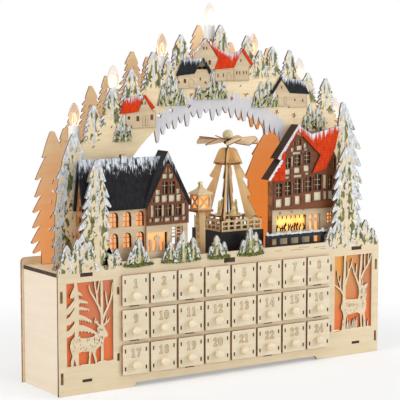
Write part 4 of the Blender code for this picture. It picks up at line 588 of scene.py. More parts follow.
def ply_material(name, axis=(0, 1, 0), along="x", pale=None, deep=None, edge=(0.20, 0.085, 0.028), roughness=0.62):
    """Birch ply with burnt edges; axis is square to the sheet, along is the grain."""
    if name in Finishes.made:
        return Finishes.made[name]
    looks = bpy.context.scene.advent_wood
    pale, deep = pale or looks.pale_wood, deep or looks.deep_wood
    stretch = {"x": (9, 60, 130), "z": (130, 60, 9), "y": (130, 9, 130)}[along]
    material, tree, shader = Finishes.start(name, roughness)
    shader.inputs["Specular IOR Level"].default_value = 0.25
    grain = use_group(tree, ply_grain_group, Stretch=stretch, Pale=pale, Deep=deep)
    if edge is None:
        tree.links.new(grain["Colour"], shader.inputs["Base Color"])
        raise_surface(tree, shader, grain["Height"], 0.25, 0.12)
        return material
    rim = use_group(tree, burnt_edge_group, Axis=axis)
    place = object_place(tree)
    scorch = noise(tree, place, 160, 3)
    burnt = blend_colour(tree, spread(tree, scorch, 0.35, 0.7), edge, [min(c * 2.4, 1) for c in edge])
    colour = blend_colour(tree, rim["Edge"], grain["Colour"], burnt)
    tree.links.new(colour, shader.inputs["Base Color"])
    raise_surface(tree, shader, grain["Height"], 0.25, 0.12)
    return material


def fir_material(name, pale, deep, lush=0, icicles=False):
    """Ply firs with snow and olive paint; icicles adds the white band along the arch."""
    looks = bpy.context.scene.advent_wood
    material, tree, shader = Finishes.start(name, 0.6)
    grain = use_group(tree, ply_grain_group, Stretch=(9, 60, 110), Pale=pale, Deep=deep)
    rim = use_group(tree, burnt_edge_group, Axis=(0, 1, 0))
    paint = use_group(tree, fir_paint_group, Lush=lush)
    place = object_place(tree)
    green = blend_colour(tree, paint["Shade"], (0.035, 0.048, 0.010), looks.fir_green)
    colour = blend_colour(tree, paint["Green"], grain["Colour"], green)
    white = looks.snow_white
    snow = blend_colour(tree, paint["Shade"], (0.42, 0.45, 0.46), white)
    cover = paint["Snow"]
    if icicles:
        centre = stretched(tree, place, (1, 0, 1), (0, 0, -ARCH_MIDDLE * MM))
        length = length_of(tree, centre)
        streak = noise(tree, stretched(tree, place, (1, 1, 0.09)), 480, 3)
        reach = times_plus(tree, minus(tree, streak, 0.5), 0.032, length)
        parts = axes(tree, place)
        side = calculate(tree, "ABSOLUTE", minus(tree, parts[0], 0.008))
        ice = times(tree, spread(tree, reach, 0.1535, 0.1515), spread(tree, side, 0.0895, 0.0885))
        colour = blend_colour(tree, ice, colour, blend_colour(tree, streak, (0.52, 0.51, 0.53), (0.76, 0.73, 0.73)))
    colour = blend_colour(tree, cover, colour, snow)
    scorch = noise(tree, place, 160, 3)
    burnt = blend_colour(tree, spread(tree, scorch, 0.35, 0.7), (0.045, 0.020, 0.010), (0.20, 0.09, 0.035))
    colour = blend_colour(tree, rim["Edge"], colour, burnt)
    tree.links.new(colour, shader.inputs["Base Color"])
    raise_surface(tree, shader, calculate(tree, "ADD", grain["Height"], paint["Snow"]), 0.35, 0.25)
    return material


def warm_ply_material(name):
    """The rear forest's ply in the warm light of the lamps, brightest behind the pyramid."""
    if name in Finishes.made:
        return Finishes.made[name]
    material, tree, shader = Finishes.start(name, 0.6)
    glow = bpy.context.scene.advent_lights
    grain = use_group(tree, ply_grain_group, Stretch=(9, 60, 110), Pale=(1, 0.80, 0.50), Deep=(1, 0.68, 0.38))
    rim = use_group(tree, burnt_edge_group, Axis=(0, 1, 0))
    place = object_place(tree)
    centre = stretched(tree, place, (4.2, 0, 5.5), (-0.294, 0, -0.9075))
    length = length_of(tree, centre)
    parts = axes(tree, place)
    low = spread(tree, parts[2], 0.27, 0.16, 0, 0.62)
    near = calculate(tree, "MAXIMUM", spread(tree, length, 1.25, 0.15), low)
    colour = blend_colour(tree, times(tree, near, 0.85), grain["Colour"], (0.62, 0.235, 0.055))
    colour = blend_colour(tree, rim["Edge"], colour, (0.13, 0.045, 0.015))
    tree.links.new(colour, shader.inputs["Base Color"])
    lit = blend_colour(tree, near, (0, 0, 0), (1, 0.30, 0.045))
    lit = blend_colour(tree, rim["Edge"], lit, (0.02, 0.006, 0))
    tree.links.new(lit, shader.inputs["Emission Color"])
    shader.inputs["Emission Strength"].default_value = glow.forest_glow
    raise_surface(tree, shader, grain["Height"], 0.25, 0.12)
    return material


def glow_material(name, colour, deep, strength, scale=45):
    """A lit surface seen through a window: brighter and darker patches of one warm colour."""
    if name in Finishes.made:
        return Finishes.made[name]
    material, tree, shader = Finishes.start(name, 0.5)
    place = object_place(tree)
    patches = spread(tree, noise(tree, place, scale, 2), 0.3, 0.7)
    lit = blend_colour(tree, patches, deep, colour)
    tree.links.new(lit, shader.inputs["Base Color"])
    tree.links.new(lit, shader.inputs["Emission Color"])
    shader.inputs["Emission Strength"].default_value = strength
    return material


def paint_material(name, colour, deep, roughness=0.6, scale=130):
    """Matt paint with brush marks."""
    if name in Finishes.made:
        return Finishes.made[name]
    material, tree, shader = Finishes.start(name, roughness)
    place = object_place(tree)
    marks = noise(tree, stretched(tree, place, (0.4, 1, 1)), scale, 4)
    tree.links.new(blend_colour(tree, spread(tree, marks, 0.3, 0.7), deep, colour), shader.inputs["Base Color"])
    shader.inputs["Specular IOR Level"].default_value = 0.2
    raise_surface(tree, shader, marks, 0.3, 0.15)
    return material


def snow_material():
    return paint_material("brushed_snow", (0.86, 0.87, 0.88), (0.58, 0.61, 0.64), 0.75, 320)


# Dark paint for cut slits, reveals and dark window openings: the burnt cut edges plus the painted shade seen through
# the openings.
def cut_material():
    return paint_material("dark_cuts_and_painted_shade", (0.035, 0.020, 0.012), (0.015, 0.009, 0.006), 0.8)


def engraving_material():
    return paint_material("burnt_lines", (0.20, 0.095, 0.035), (0.12, 0.05, 0.018), 0.75)


# Dark panes of the unlit windows: painted shade of the dark inside seen through them.
def dark_glass():
    return paint_material("dark_glass", (0.040, 0.013, 0.010), (0.014, 0.007, 0.006), 0.3)


def timber_material():
    """Brown stained half-timber with darker edges."""
    return ply_material("stained_timber", pale=(0.215, 0.072, 0.026), deep=(0.135, 0.042, 0.015),
        edge=(0.045, 0.014, 0.008))


def snowy_roof_material(name, colour, deep, fall, fineness, below, tiles=False, edge=(0.022, 0.014, 0.010),
        chimney=False):
    """Painted roof with snow brushed down from the ridge; below gives the distance under the ridge."""
    if name in Finishes.made:
        return Finishes.made[name]
    material, tree, shader = Finishes.start(name, 0.8)
    shader.inputs["Specular IOR Level"].default_value = 0.15
    place = object_place(tree)
    fine = noise(tree, stretched(tree, place, (1, 1, 0.3)), 420, 3)
    base = blend_colour(tree, spread(tree, fine, 0.35, 0.7), deep, colour)
    height = fine
    if tiles:
        wave = add_node(tree, "ShaderNodeTexWave", {"Scale": 95, "Distortion": 3, "Detail": 2, "Detail Scale": 3},
            wave_type="BANDS", bands_direction="Z")
        tree.links.new(stretched(tree, place, (1, 1, 1), (0, 0, 0), (0, radians(-6), 0)), wave.inputs["Vector"])
        base = blend_colour(tree, times(tree, wave.outputs["Fac"], 0.6), base, deep)
        height = wave.outputs["Fac"]
    under = below(tree)
    snow = use_group(tree, snow_streak_group, Below=under, Fall=fall * MM, Fineness=fineness)
    white = blend_colour(tree, snow["Tone"], (0.40, 0.46, 0.54), (0.86, 0.88, 0.90))
    rim = use_group(tree, burnt_edge_group, Axis=(0, 1, 0))
    colour = blend_colour(tree, snow["Snow"], base, white)
    if chimney:
        colour = blend_colour(tree, spread(tree, under, -0.0009, -0.0013), colour, (0.66, 0.51, 0.31))
    ribs = add_node(tree, "ShaderNodeTexWave", {"Scale": 150, "Distortion": 1.5}, wave_type="BANDS",
        bands_direction="Z")
    tree.links.new(place, ribs.inputs["Vector"])
    side = blend_colour(tree, ribs.outputs["Fac"], edge, [c * 3.2 for c in edge])
    tree.links.new(blend_colour(tree, rim["Edge"], colour, side), shader.inputs["Base Color"])
    raise_surface(tree, shader, height, 0.3, 0.2)
    return material


def under_level(ridge):
    """Distance below a level ridge, for a material."""
    def build(tree):
        parts = axes(tree, object_place(tree))
        return minus(tree, ridge * MM, parts[2])
    return build


def under_valley(tree):
    """Distance below the right house's ridge, which dips at its valley."""
    parts = axes(tree, object_place(tree))
    offset = minus(tree, parts[0], LEFT + 344 * MM)
    rise = calculate(tree, "MAXIMUM", times(tree, offset, -0.56), times(tree, offset, 0.21))
    return minus(tree, calculate(tree, "ADD", rise, 0.2690), parts[2])


def under_marked(tree):
    """Distance below the ridge line that a small roof carries: its place, height and slope."""
    ridge = axes(tree, add_node(tree, "ShaderNodeAttribute", attribute_name="ridge").outputs["Vector"])
    parts = axes(tree, object_place(tree))
    offset = minus(tree, parts[0], ridge[0])
    level = times_plus(tree, offset, ridge[2], ridge[1])
    return minus(tree, level, parts[2])


def film_material(side):
    """Orange film with lamp light behind it, paler near the lamp."""
    material, tree, shader = Finishes.start("orange_film_" + side, 0.4)
    place = object_place(tree)
    middle, level = (-0.211, 0.095) if side == "left" else (0.158, 0.122)
    near = stretched(tree, place, (24, 0, 13), (-24 * middle, 0, -13 * level))
    length = length_of(tree, near)
    reach = times_plus(tree, noise(tree, place, 40, 3), 0.35, length)
    parts = axes(tree, place)
    middle_tone = (0.80, 0.235, 0.105) if side == "left" else (0.74, 0.262, 0.105)
    low = blend_colour(tree, spread(tree, parts[2], 0.088, 0.045), middle_tone, (1, 0.205, 0.046))
    high = (0.97, 0.19, 0.034) if side == "left" else (1, 0.42, 0.070)
    colour = blend_colour(tree, spread(tree, reach, 1.35, 0.25), low, high)
    tree.links.new(blend_colour(tree, 0.52, colour, (0, 0, 0)), shader.inputs["Base Color"])
    tree.links.new(colour, shader.inputs["Emission Color"])
    shader.inputs["Emission Strength"].default_value = bpy.context.scene.advent_lights.film_glow
    return material


# Settings that a user would change

class AdventWood(bpy.types.PropertyGroup):
    """Colours of the wood and the paint."""
    pale_wood: FloatVectorProperty(name="Pale wood", description="Lightest tone of the birch ply",
        default=(0.85, 0.71, 0.49), size=3, min=0, max=1, subtype="COLOR")
    deep_wood: FloatVectorProperty(name="Deep wood", description="Darkest tone of the birch ply",
        default=(0.78, 0.63, 0.41), size=3, min=0, max=1, subtype="COLOR")
    fir_green: FloatVectorProperty(name="Fir green", description="Olive paint of the fir branches",
        default=(0.27, 0.27, 0.075), size=3, min=0, max=1, subtype="COLOR")
    snow_white: FloatVectorProperty(name="Snow", description="White paint of the snow", default=(0.93, 0.92, 0.91),
        size=3, min=0, max=1, subtype="COLOR")


class AdventSizes(bpy.types.PropertyGroup):
    """Sizes of small parts."""
    knob: FloatProperty(name="Knob", description="Diameter of a drawer knob", default=0.010, min=0.006, max=0.011,
        unit="LENGTH")
    digit: FloatProperty(name="Digit height", description="Height of the numbers on the drawers", default=0.0098,
        min=0.005, max=0.012, unit="LENGTH")
    line: FloatProperty(name="Engraved line", description="Width of the engraved lines", default=0.00068, min=0.0002,
        max=0.001, unit="LENGTH")


class AdventLights(bpy.types.PropertyGroup):
    """Strengths of the lit pieces."""
    film_glow: FloatProperty(name="Film glow", description="Light of the films in the base", default=0.34, min=0,
        max=3)
    window_glow: FloatProperty(name="Window glow", description="Light of the house windows", default=0.9, min=0,
        max=3)
    forest_glow: FloatProperty(name="Forest glow", description="Warm light on the rear forest", default=0.40, min=0,
        max=3)
    bulb_glow: FloatProperty(name="Bulb glow", description="Light of the candle filaments", default=0.9, min=0,
        max=20)


# Pieces

def drawer_opening(column, level):
    """An opening of the front panel, with a notch for a shelf's tab in its foot."""
    middle = WIDTH / 2 + (column - 3.5) * DRAWER_PITCH
    half = DRAWER_HALF + DRAWER_PLAY
    low = SHELF_ZERO + ROW_PITCH * level + PLY / 2
    high = SHELF_ZERO + ROW_PITCH * level + 1.8 + 30.8 + DRAWER_PLAY
    loop = [(middle - half, low)]
    columns = (2, 5) if level == 0 else (0, 2, 5, 7)
    if column in columns:
        loop += [(middle - 6.2, low), (middle - 6.2, low - 3.2), (middle + 6.2, low - 3.2), (middle + 6.2, low)]
    return loop + [(middle + half, low), (middle + half, high), (middle - half, high)]


def panel_slots():
    """Slots for the tabs of the sides, the bank's end walls, the bottom and the deck."""
    loops = []
    for side in (-1, 1):
        for height in (19.3, 107.3):
            loops.append(around(WIDTH / 2 + side * 216, height, 3.4, 12.7))
        for height in (35.3, 108.5):
            loops.append(around(WIDTH / 2 + side * 146.52, height, 3.4, 8.4))
        loops.append(around(WIDTH / 2 + side * 185.5, SHELF_ZERO, 11.9, 3.4))
    for place in DECK_TABS:
        loops.append(around(WIDTH / 2 + place, DECK_LEVEL, 15.4, 5.6))
    return loops


def in_window(start, shares):
    return [(start + WINDOW_WIDTH * u, WINDOW_FOOT + WINDOW_HEIGHT * v) for u, v in shares]


def branch(points, widths):
    """A tapering branch as one outline: widths across the path at each point."""
    left, right = [], []
    for i, (u, v) in enumerate(points):
        before = points[max(i - 1, 0)]
        after = points[min(i + 1, len(points) - 1)]
        du, dv = after[0] - before[0], after[1] - before[1]
        length = hypot(du, dv) or 1
        nu, nv = -dv / length * widths[i] / 2, du / length * widths[i] / 2
        left.append((u + nu, v + nv))
        right.append((u - nu, v - nv))
    return left + right[::-1]


LEFT_HOLES = (((0, 1), (0.163, 1), (0.172, 0.96), (0.073, 0.844), (0.085, 0.825), (0.127, 0.82), (0.165, 0.83),
    (0.163, 0.795), (0.08, 0.74), (0, 0.692)), ((0.165, 0.715), (0.17, 0.69), (0.06, 0.60), (0, 0.576), (0, 0.626),
    (0.06, 0.64), (0.127, 0.679)), ((0.165, 0.555), (0.168, 0.515), (0.07, 0.45), (0, 0.424), (0, 0.505),
    (0.06, 0.505), (0.118, 0.53)), ((0.172, 0.43), (0.17, 0.355), (0.10, 0.30), (0.065, 0.25), (0.09, 0.18),
    (0.125, 0.12), (0.085, 0.07), (0.09, 0), (0, 0), (0, 0.354), (0.05, 0.36), (0.127, 0.385)),
    ((0.135, 0), (0.145, 0.055), (0.165, 0.085), (0.195, 0)), ((0.222, 1), (1, 1), (1, 0.02), (0.90, 0.012),
    (0.76, 0.03), (0.68, 0.018), (0.60, 0), (0.48, 0.006), (0.36, 0.01), (0.25, 0), (0.25, 0.40), (0.268, 0.6),
    (0.255, 0.85)))
RIGHT_HOLES = (((0, 1), (1, 1), (1, 0), (0.9, 0.01), (0.82, 0), (0.7, 0.012), (0.62, 0.004), (0.5, 0.012), (0.4, 0),
    (0.3, 0.01), (0.2, 0), (0.1, -0.012), (0, -0.02)),)
STAG = ((0.085, 0), (0.10, 0.07), (0.145, 0.13), (0.105, 0.19), (0.075, 0.25), (0.09, 0.30), (0.125, 0.335),
    (0.18, 0.348), (0.25, 0.335), (0.27, 0.36), (0.30, 0.328), (0.42, 0.325), (0.50, 0.325), (0.58, 0.333),
    (0.63, 0.36), (0.665, 0.40), (0.64, 0.43), (0.675, 0.44), (0.71, 0.465), (0.76, 0.46), (0.80, 0.435),
    (0.83, 0.40), (0.865, 0.355), (0.875, 0.33), (0.85, 0.305), (0.81, 0.31), (0.795, 0.28), (0.765, 0.23),
    (0.71, 0.205), (0.63, 0.175), (0.60, 0.12), (0.625, 0.07), (0.645, -0.01), (0.61, -0.01), (0.575, 0.08),
    (0.54, 0.15), (0.525, 0.15), (0.50, 0.09), (0.495, -0.01), (0.455, -0.01), (0.47, 0.09), (0.475, 0.155),
    (0.40, 0.162), (0.32, 0.165), (0.245, 0.155), (0.215, 0.13), (0.20, 0.09), (0.235, 0), (0.195, 0), (0.165, 0.08),
    (0.125, 0.06), (0.125, 0))
LEFT_LIMBS = ((((0.70, 0.455), (0.655, 0.48), (0.625, 0.515), (0.605, 0.555)), (2.2, 1.7, 1.4, 0.8)),
    (((0.64, 0.495), (0.60, 0.50), (0.585, 0.53)), (1.5, 1.2, 0.7)), (((0.66, 0.48), (0.665, 0.52)), (1.3, 0.8)),
    (((0.78, 0.45), (0.83, 0.475), (0.88, 0.50), (0.925, 0.54)), (2.2, 1.7, 1.5, 0.8)),
    (((0.84, 0.48), (0.85, 0.52), (0.865, 0.55)), (1.5, 1.2, 0.7)), (((0.86, 0.49), (0.91, 0.49)), (1.3, 0.8)),
    (((0.755, -0.01), (0.757, 0.4), (0.755, 0.7), (0.752, 1.01)), (3.4, 3.3, 3, 2.6)),
    (((0.75, 0.60), (0.69, 0.69), (0.60, 0.79), (0.52, 0.87), (0.485, 0.93), (0.48, 0.96)),
    (2.8, 2.3, 2, 1.7, 1.4, 0.7)), (((0.655, 0.735), (0.645, 0.83), (0.615, 0.92), (0.60, 1.01)),
    (1.7, 1.7, 1.6, 1.6)), (((0.645, 0.84), (0.68, 0.92), (0.705, 1.01)), (1.5, 1.5, 1.5)),
    (((0.765, 0.52), (0.83, 0.61), (0.90, 0.69), (0.95, 0.77), (1.01, 0.86)), (2.8, 2.3, 2, 1.8, 1.6)),
    (((0.88, 0.67), (0.855, 0.76), (0.83, 0.86)), (1.7, 1.5, 0.9)), (((0.95, 0.77), (0.975, 0.87), (0.985, 0.96)),
    (1.5, 1.3, 0.9)))
FIR_LIMBS = ((0.90, 0.34, 0.845, 0.055), (0.805, 0.455, 0.755, 0.06), (0.715, 0.49, 0.665, 0.05),
    (0.62, 0.545, 0.52, 0.075), (0.50, 0.65, 0.375, 0.09))
DOE = ((0.195, 0), (0.225, 0.08), (0.25, 0.15), (0.235, 0.22), (0.205, 0.27), (0.175, 0.285), (0.18, 0.33),
    (0.215, 0.37), (0.26, 0.40), (0.32, 0.408), (0.45, 0.40), (0.58, 0.397), (0.645, 0.40), (0.655, 0.46),
    (0.655, 0.52), (0.64, 0.565), (0.67, 0.575), (0.70, 0.555), (0.74, 0.58), (0.79, 0.565), (0.83, 0.585),
    (0.885, 0.60), (0.88, 0.565), (0.85, 0.53), (0.855, 0.48), (0.86, 0.42), (0.84, 0.395), (0.855, 0.33),
    (0.845, 0.24), (0.815, 0.20), (0.83, 0.12), (0.85, -0.01), (0.81, -0.01), (0.785, 0.10), (0.765, 0.185),
    (0.745, 0.185), (0.735, 0.10), (0.755, -0.01), (0.715, -0.01), (0.70, 0.10), (0.69, 0.19), (0.62, 0.215),
    (0.50, 0.205), (0.40, 0.20), (0.34, 0.20), (0.315, 0.15), (0.295, 0.08), (0.30, 0), (0.262, 0), (0.265, 0.07),
    (0.245, 0.10), (0.232, 0.05), (0.232, 0))
RIGHT_LIMBS = ((((0.26, 0.38), (0.255, 0.6), (0.27, 0.8), (0.275, 1.01)), (4.8, 4.2, 3, 2.6)),
    (((0.235, 0.48), (0.17, 0.545), (0.09, 0.58), (0, 0.62)), (2.6, 2.1, 1.8, 1.4)),
    (((0.16, 0.55), (0.155, 0.63), (0.17, 0.73)), (1.9, 1.7, 0.9)), (((0.155, 0.60), (0.10, 0.69), (0.07, 0.80)),
    (1.6, 1.5, 0.9)), (((0.28, 0.60), (0.34, 0.70), (0.39, 0.80), (0.45, 0.87), (0.475, 0.95)),
    (2.6, 2.1, 1.8, 1.6, 0.8)), (((0.36, 0.74), (0.36, 0.83), (0.35, 0.92)), (1.6, 1.5, 0.8)),
    (((0.68, 0.55), (0.685, 0.72), (0.71, 0.86), (0.72, 1.01)), (3.8, 3.2, 2.8, 2.6)),
    (((0.665, 0.56), (0.60, 0.66), (0.53, 0.75), (0.49, 0.83), (0.44, 0.88)), (2.6, 2.1, 1.9, 1.6, 0.8)),
    (((0.56, 0.72), (0.585, 0.82), (0.59, 0.88)), (1.6, 1.5, 0.8)), (((0.70, 0.66), (0.78, 0.76), (0.87, 0.83),
    (0.94, 0.90), (0.985, 0.99)), (2.6, 2.1, 1.9, 1.6, 1.2)), (((0.81, 0.785), (0.80, 0.88), (0.80, 1.01)),
    (1.7, 1.6, 1.4)), (((0.90, 0.86), (0.90, 0.96), (0.92, 1.01)), (1.4, 1.3, 1)), (((0.72, 0.55), (0.745, 0.60),
    (0.74, 0.65)), (1.5, 1.3, 0.8)))


def window_fretwork(side):
    """The scenes cut into the two windows of the base: stag and fir, doe and bare trees."""
    start = WINDOW_LEFT if side == "left" else WINDOW_RIGHT
    loops = [in_window(start, STAG if side == "left" else DOE)]
    for points, widths in LEFT_LIMBS if side == "left" else RIGHT_LIMBS:
        loops.append(branch(in_window(start, points), widths))
    if side == "left":
        for root, reach, tip, thick in FIR_LIMBS:
            wide = reach - 0.24
            top = [(0.24 + wide * f, root + (tip - root) * f ** 1.5) for f in (0, 0.3, 0.6, 0.85, 1)]
            under = []
            for i in range(5):
                f = 0.9 - i * 0.18
                level = root + (tip - root) * f ** 1.5 - thick * (0.35 + 0.65 * (1 - f))
                under += [(0.24 + wide * (f + 0.04), level + 0.004), (0.24 + wide * f, level - 0.016),
                    (0.24 + wide * (f - 0.06), level + 0.012)]
            loops.append(in_window(start, top + under + [(0.24, root - thick)]))
    else:
        chance = random.Random(3)
        for i in range(11):
            u = (0.25, 0.30, 0.345, 0.39, 0.43, 0.47, 0.52, 0.56, 0.60, 0.80, 0.90)[i]
            lean = chance.uniform(-0.05, 0.05)
            tall = chance.uniform(0.10, 0.17)
            loops.append(branch(in_window(start, ((u, 0), (u + lean * 0.4, tall * 0.6), (u + lean, tall))),
                (1.6, 1.3, 0.5)))
    low, high = WINDOW_FOOT - 0.3, WINDOW_FOOT + WINDOW_HEIGHT + 0.3
    pieces = []
    for i, loop in enumerate(loops):
        loop = [(min(max(u, start - 0.3), start + WINDOW_WIDTH + 0.3), min(max(v, low), high)) for u, v in loop]
        setback = 0.10 + 0.05 * (i % 9)
        pieces.append(cut_sheet("fret", [loop], setback, PLY - 2 * setback))
    return pieces


def front_panel():
    width, top, corner = WIDTH, 140, 5
    outline = [(0, 0), (93, 0), (96, 4.5), (width - 96, 4.5), (width - 93, 0), (width, 0)]
    outline += arc(width - corner, top - corner, corner, 0, pi / 2, 6)
    outline += arc(corner, top - corner, corner, pi / 2, pi, 6)
    loops = [outline] + panel_slots()
    loops += [in_window(WINDOW_LEFT, hole) for hole in LEFT_HOLES]
    loops += [in_window(WINDOW_RIGHT, hole) for hole in RIGHT_HOLES]
    for level in range(3):
        loops += [drawer_opening(column, level) for column in range(8)]
    sheet = cut_sheet("front_sheet", loops, 0, PLY)
    return join("front_sheet", [sheet] + window_fretwork("left") + window_fretwork("right"))


DIGITS = {
    "0": (((3, 0), (5, 1), (5.8, 3.4), (5.8, 6.6), (5, 9), (3, 10), (1, 9), (0.2, 6.6), (0.2, 3.4), (1, 1)),
          ((3, 1.6), (4, 3.4), (4, 6.6), (3, 8.4), (2, 6.6), (2, 3.4))),
    "1": (((0.8, 0), (5.2, 0), (5.2, 1.2), (3.9, 1.2), (3.9, 10), (2.9, 10), (0.8, 8.6), (0.8, 7.4), (2.2, 8),
           (2.2, 1.2), (0.8, 1.2)),),
    "2": (((0.4, 0), (5.8, 0), (5.8, 2.4), (4.8, 2.4), (4.8, 1.4), (2.2, 1.4), (5.2, 5.6), (5.7, 7.4), (5.2, 9.2),
           (3.2, 10), (1.2, 9.4), (0.4, 7.8), (0.5, 6.8), (2, 6.8), (2.1, 8), (3.1, 8.7), (3.9, 8.2), (4, 7.2),
           (3.6, 5.9), (0.4, 1.4)),),
    "3": (((0.5, 2.8), (0.6, 1.2), (2, 0.1), (4, 0.1), (5.5, 1.3), (5.7, 3.2), (4.9, 4.8), (4.2, 5.2), (5, 5.8),
           (5.4, 7.4), (4.9, 9.2), (3.2, 10), (1.2, 9.4), (0.6, 7.6), (2.1, 7.3), (2.4, 8.4), (3.2, 8.7), (3.8, 8),
           (3.7, 6.6), (2.2, 5.8), (2.2, 4.7), (3.2, 4.6), (4, 3.8), (4, 2.2), (3.2, 1.4), (2.4, 1.6), (2.1, 2.9)),),
    "4": (((3.2, 0), (5.6, 0), (5.6, 1), (5, 1), (5, 2.4), (5.9, 2.4), (5.9, 3.7), (5, 3.7), (5, 10), (3.4, 10),
           (0.1, 3.8), (0.1, 2.4), (3.5, 2.4), (3.5, 1), (3.2, 1)), ((1.7, 3.7), (3.5, 3.7), (3.5, 7.2))),
    "5": (((0.6, 10), (5.3, 10), (5.3, 8.5), (2, 8.5), (1.9, 6.2), (3.4, 6.6), (5.1, 5.7), (5.7, 3.5), (5, 1),
           (3, 0), (1.2, 0.5), (0.4, 2.4), (2, 2.7), (2.5, 1.6), (3.3, 1.6), (4, 2.6), (4, 4.2), (3.2, 5.1),
           (2.1, 4.8), (0.6, 4.6)),),
    "6": (((5.2, 9), (3.6, 10), (1.8, 9.2), (0.6, 7), (0.3, 4), (1, 1.2), (3, 0), (5, 1), (5.7, 3.2), (5.1, 5.4),
           (3.4, 6.3), (2, 5.6), (2.3, 7.4), (3.4, 8.5), (4.3, 7.8)),
          ((3, 4.8), (4, 4.2), (4.1, 2.6), (3.2, 1.4), (2.1, 2.2), (2, 4))),
    "7": (((0.4, 10), (5.8, 10), (5.8, 8.6), (3.6, 3.6), (3.3, 0), (1.7, 0), (2, 3.6), (4.1, 8.5), (1.6, 8.5),
           (1.6, 7.2), (0.4, 7.2)),),
    "8": (((3, 0), (5, 0.8), (5.7, 2.8), (5, 4.6), (4.4, 5.2), (5.3, 6.6), (5.2, 8.6), (3, 10), (0.8, 8.6),
           (0.7, 6.6), (1.6, 5.2), (1, 4.6), (0.3, 2.8), (1, 0.8)),
          ((3, 5.9), (3.9, 6.9), (3.8, 8.2), (3, 8.7), (2.2, 8.2), (2.1, 6.9)),
          ((3, 1.3), (4.1, 2.2), (4, 3.8), (3, 4.6), (2, 3.8), (1.9, 2.2))),
}
DIGITS["9"] = tuple(tuple((6 - u, 10 - v) for u, v in loop) for loop in DIGITS["6"])


def digit_lines(number, x, z, size):
    """The engraved outlines of a number, centred at a place on its drawer."""
    scale = size / 10
    text = str(number)
    lines = []
    for i, letter in enumerate(text):
        start = (i - len(text) / 2) * 7.2 + 0.6
        lines += [[(x + (start + u) * scale, z + (v - 5) * scale) for u, v in loop] for loop in DIGITS[letter]]
    return lines


def operator_done(self):
    self.report({"INFO"}, self.bl_label + " made")
    return {"FINISHED"}


class ADVENT_OT_base(bpy.types.Operator):
    """Give the carcass, the films and the power pieces their finishes"""
    bl_idname = "advent.base"
    bl_label = "Base carcass"

    def execute(self, context):
        side = ply_material("side_ply", (1, 0, 0), "y", (0.83, 0.71, 0.56), (0.79, 0.66, 0.50), (0.11, 0.055, 0.020))
        level = ply_material("level_ply", (0, 0, 1), "x", edge=(0.035, 0.018, 0.010))
        back = ply_material("back_ply")
        inner = ply_material("rack_ply", (1, 0, 0), "y", (0.60, 0.45, 0.27), (0.46, 0.32, 0.17), (0.10, 0.045, 0.018))
        for name, finish in (("side_panel_left", side), ("side_panel_right", side), ("bottom_panel", level),
                ("deck_board", level), ("back_panel", back), ("drawer_rack", inner)):
            finish_node(name, finish)
        for side_name in ("left", "right"):
            finish_node("window_film_" + side_name, film_material(side_name))
            finish_node("window_lamp_" + side_name, glow_material("lamp_glass", (1, 0.80, 0.45), (0.95, 0.60, 0.25),
                1.2))
        plastic, tree, shader = Finishes.start("moulded_black", 0.42)
        place = object_place(tree)
        grain = noise(tree, place, 1400, 2)
        tree.links.new(blend_colour(tree, grain, (0.012, 0.012, 0.013), (0.032, 0.032, 0.034)),
            shader.inputs["Base Color"])
        raise_surface(tree, shader, grain, 0.35, 0.06)
        for name in ("battery_box", "battery_cover", "power_switch"):
            finish_node(name, plastic)
        return operator_done(self)


class ADVENT_OT_front(bpy.types.Operator):
    """Cut the front panel with its drawer openings, slots and fretwork windows"""
    bl_idname = "advent.front"
    bl_label = "Front panel"

    def execute(self, context):
        dress(front_panel(), ply_material("front_ply", edge=(0.075, 0.032, 0.012)), stands_for=("front_panel",))
        ends = [around(WIDTH / 2 + place, DECK_LEVEL, 15.2, 5.4) for place in DECK_TABS]
        lay("deck_tab_ends", ends, 0.25, 1, paint_material("tab_burn", (0.060, 0.032, 0.018), (0.028, 0.015, 0.009),
            0.8, 500))
        fur = []
        chance = random.Random(5)
        for start, low_u, high_u, low_v, high_v in ((WINDOW_LEFT, 0.13, 0.60, 0.19, 0.335),
                (WINDOW_LEFT, 0.62, 0.76, 0.24, 0.42), (WINDOW_RIGHT, 0.24, 0.64, 0.225, 0.385),
                (WINDOW_RIGHT, 0.70, 0.83, 0.25, 0.54)):
            for i in range(24):
                u = start + WINDOW_WIDTH * chance.uniform(low_u, high_u)
                v = WINDOW_FOOT + WINDOW_HEIGHT * chance.uniform(low_v, high_v)
                lean = chance.uniform(-1.2, 1.2)
                fur.append([(u, v), (u + 0.5 + lean * 0.5, v - 0.9), (u + lean, v - 1.9)])
        for start, end, height in ((284, 294, 135), (307, 325, 134.4), (341, 367, 134.8), (374, 385, 134.2),
                (56, 70, 136), (78, 92, 135), (110, 120, 134.6), (176, 186, 135.4), (14, 26, 134.5),
                (400, 412, 134.8), (318, 334, 136.6), (350, 360, 132.6)):
            fur.append([(start, height), (start + (end - start) * 0.4, height + 0.5),
                (start + (end - start) * 0.75, height - 0.1), (end, height + 0.2)])
        dress(line_work("front_engraving", fur, 0.02, 0.42), engraving_material())
        return operator_done(self)


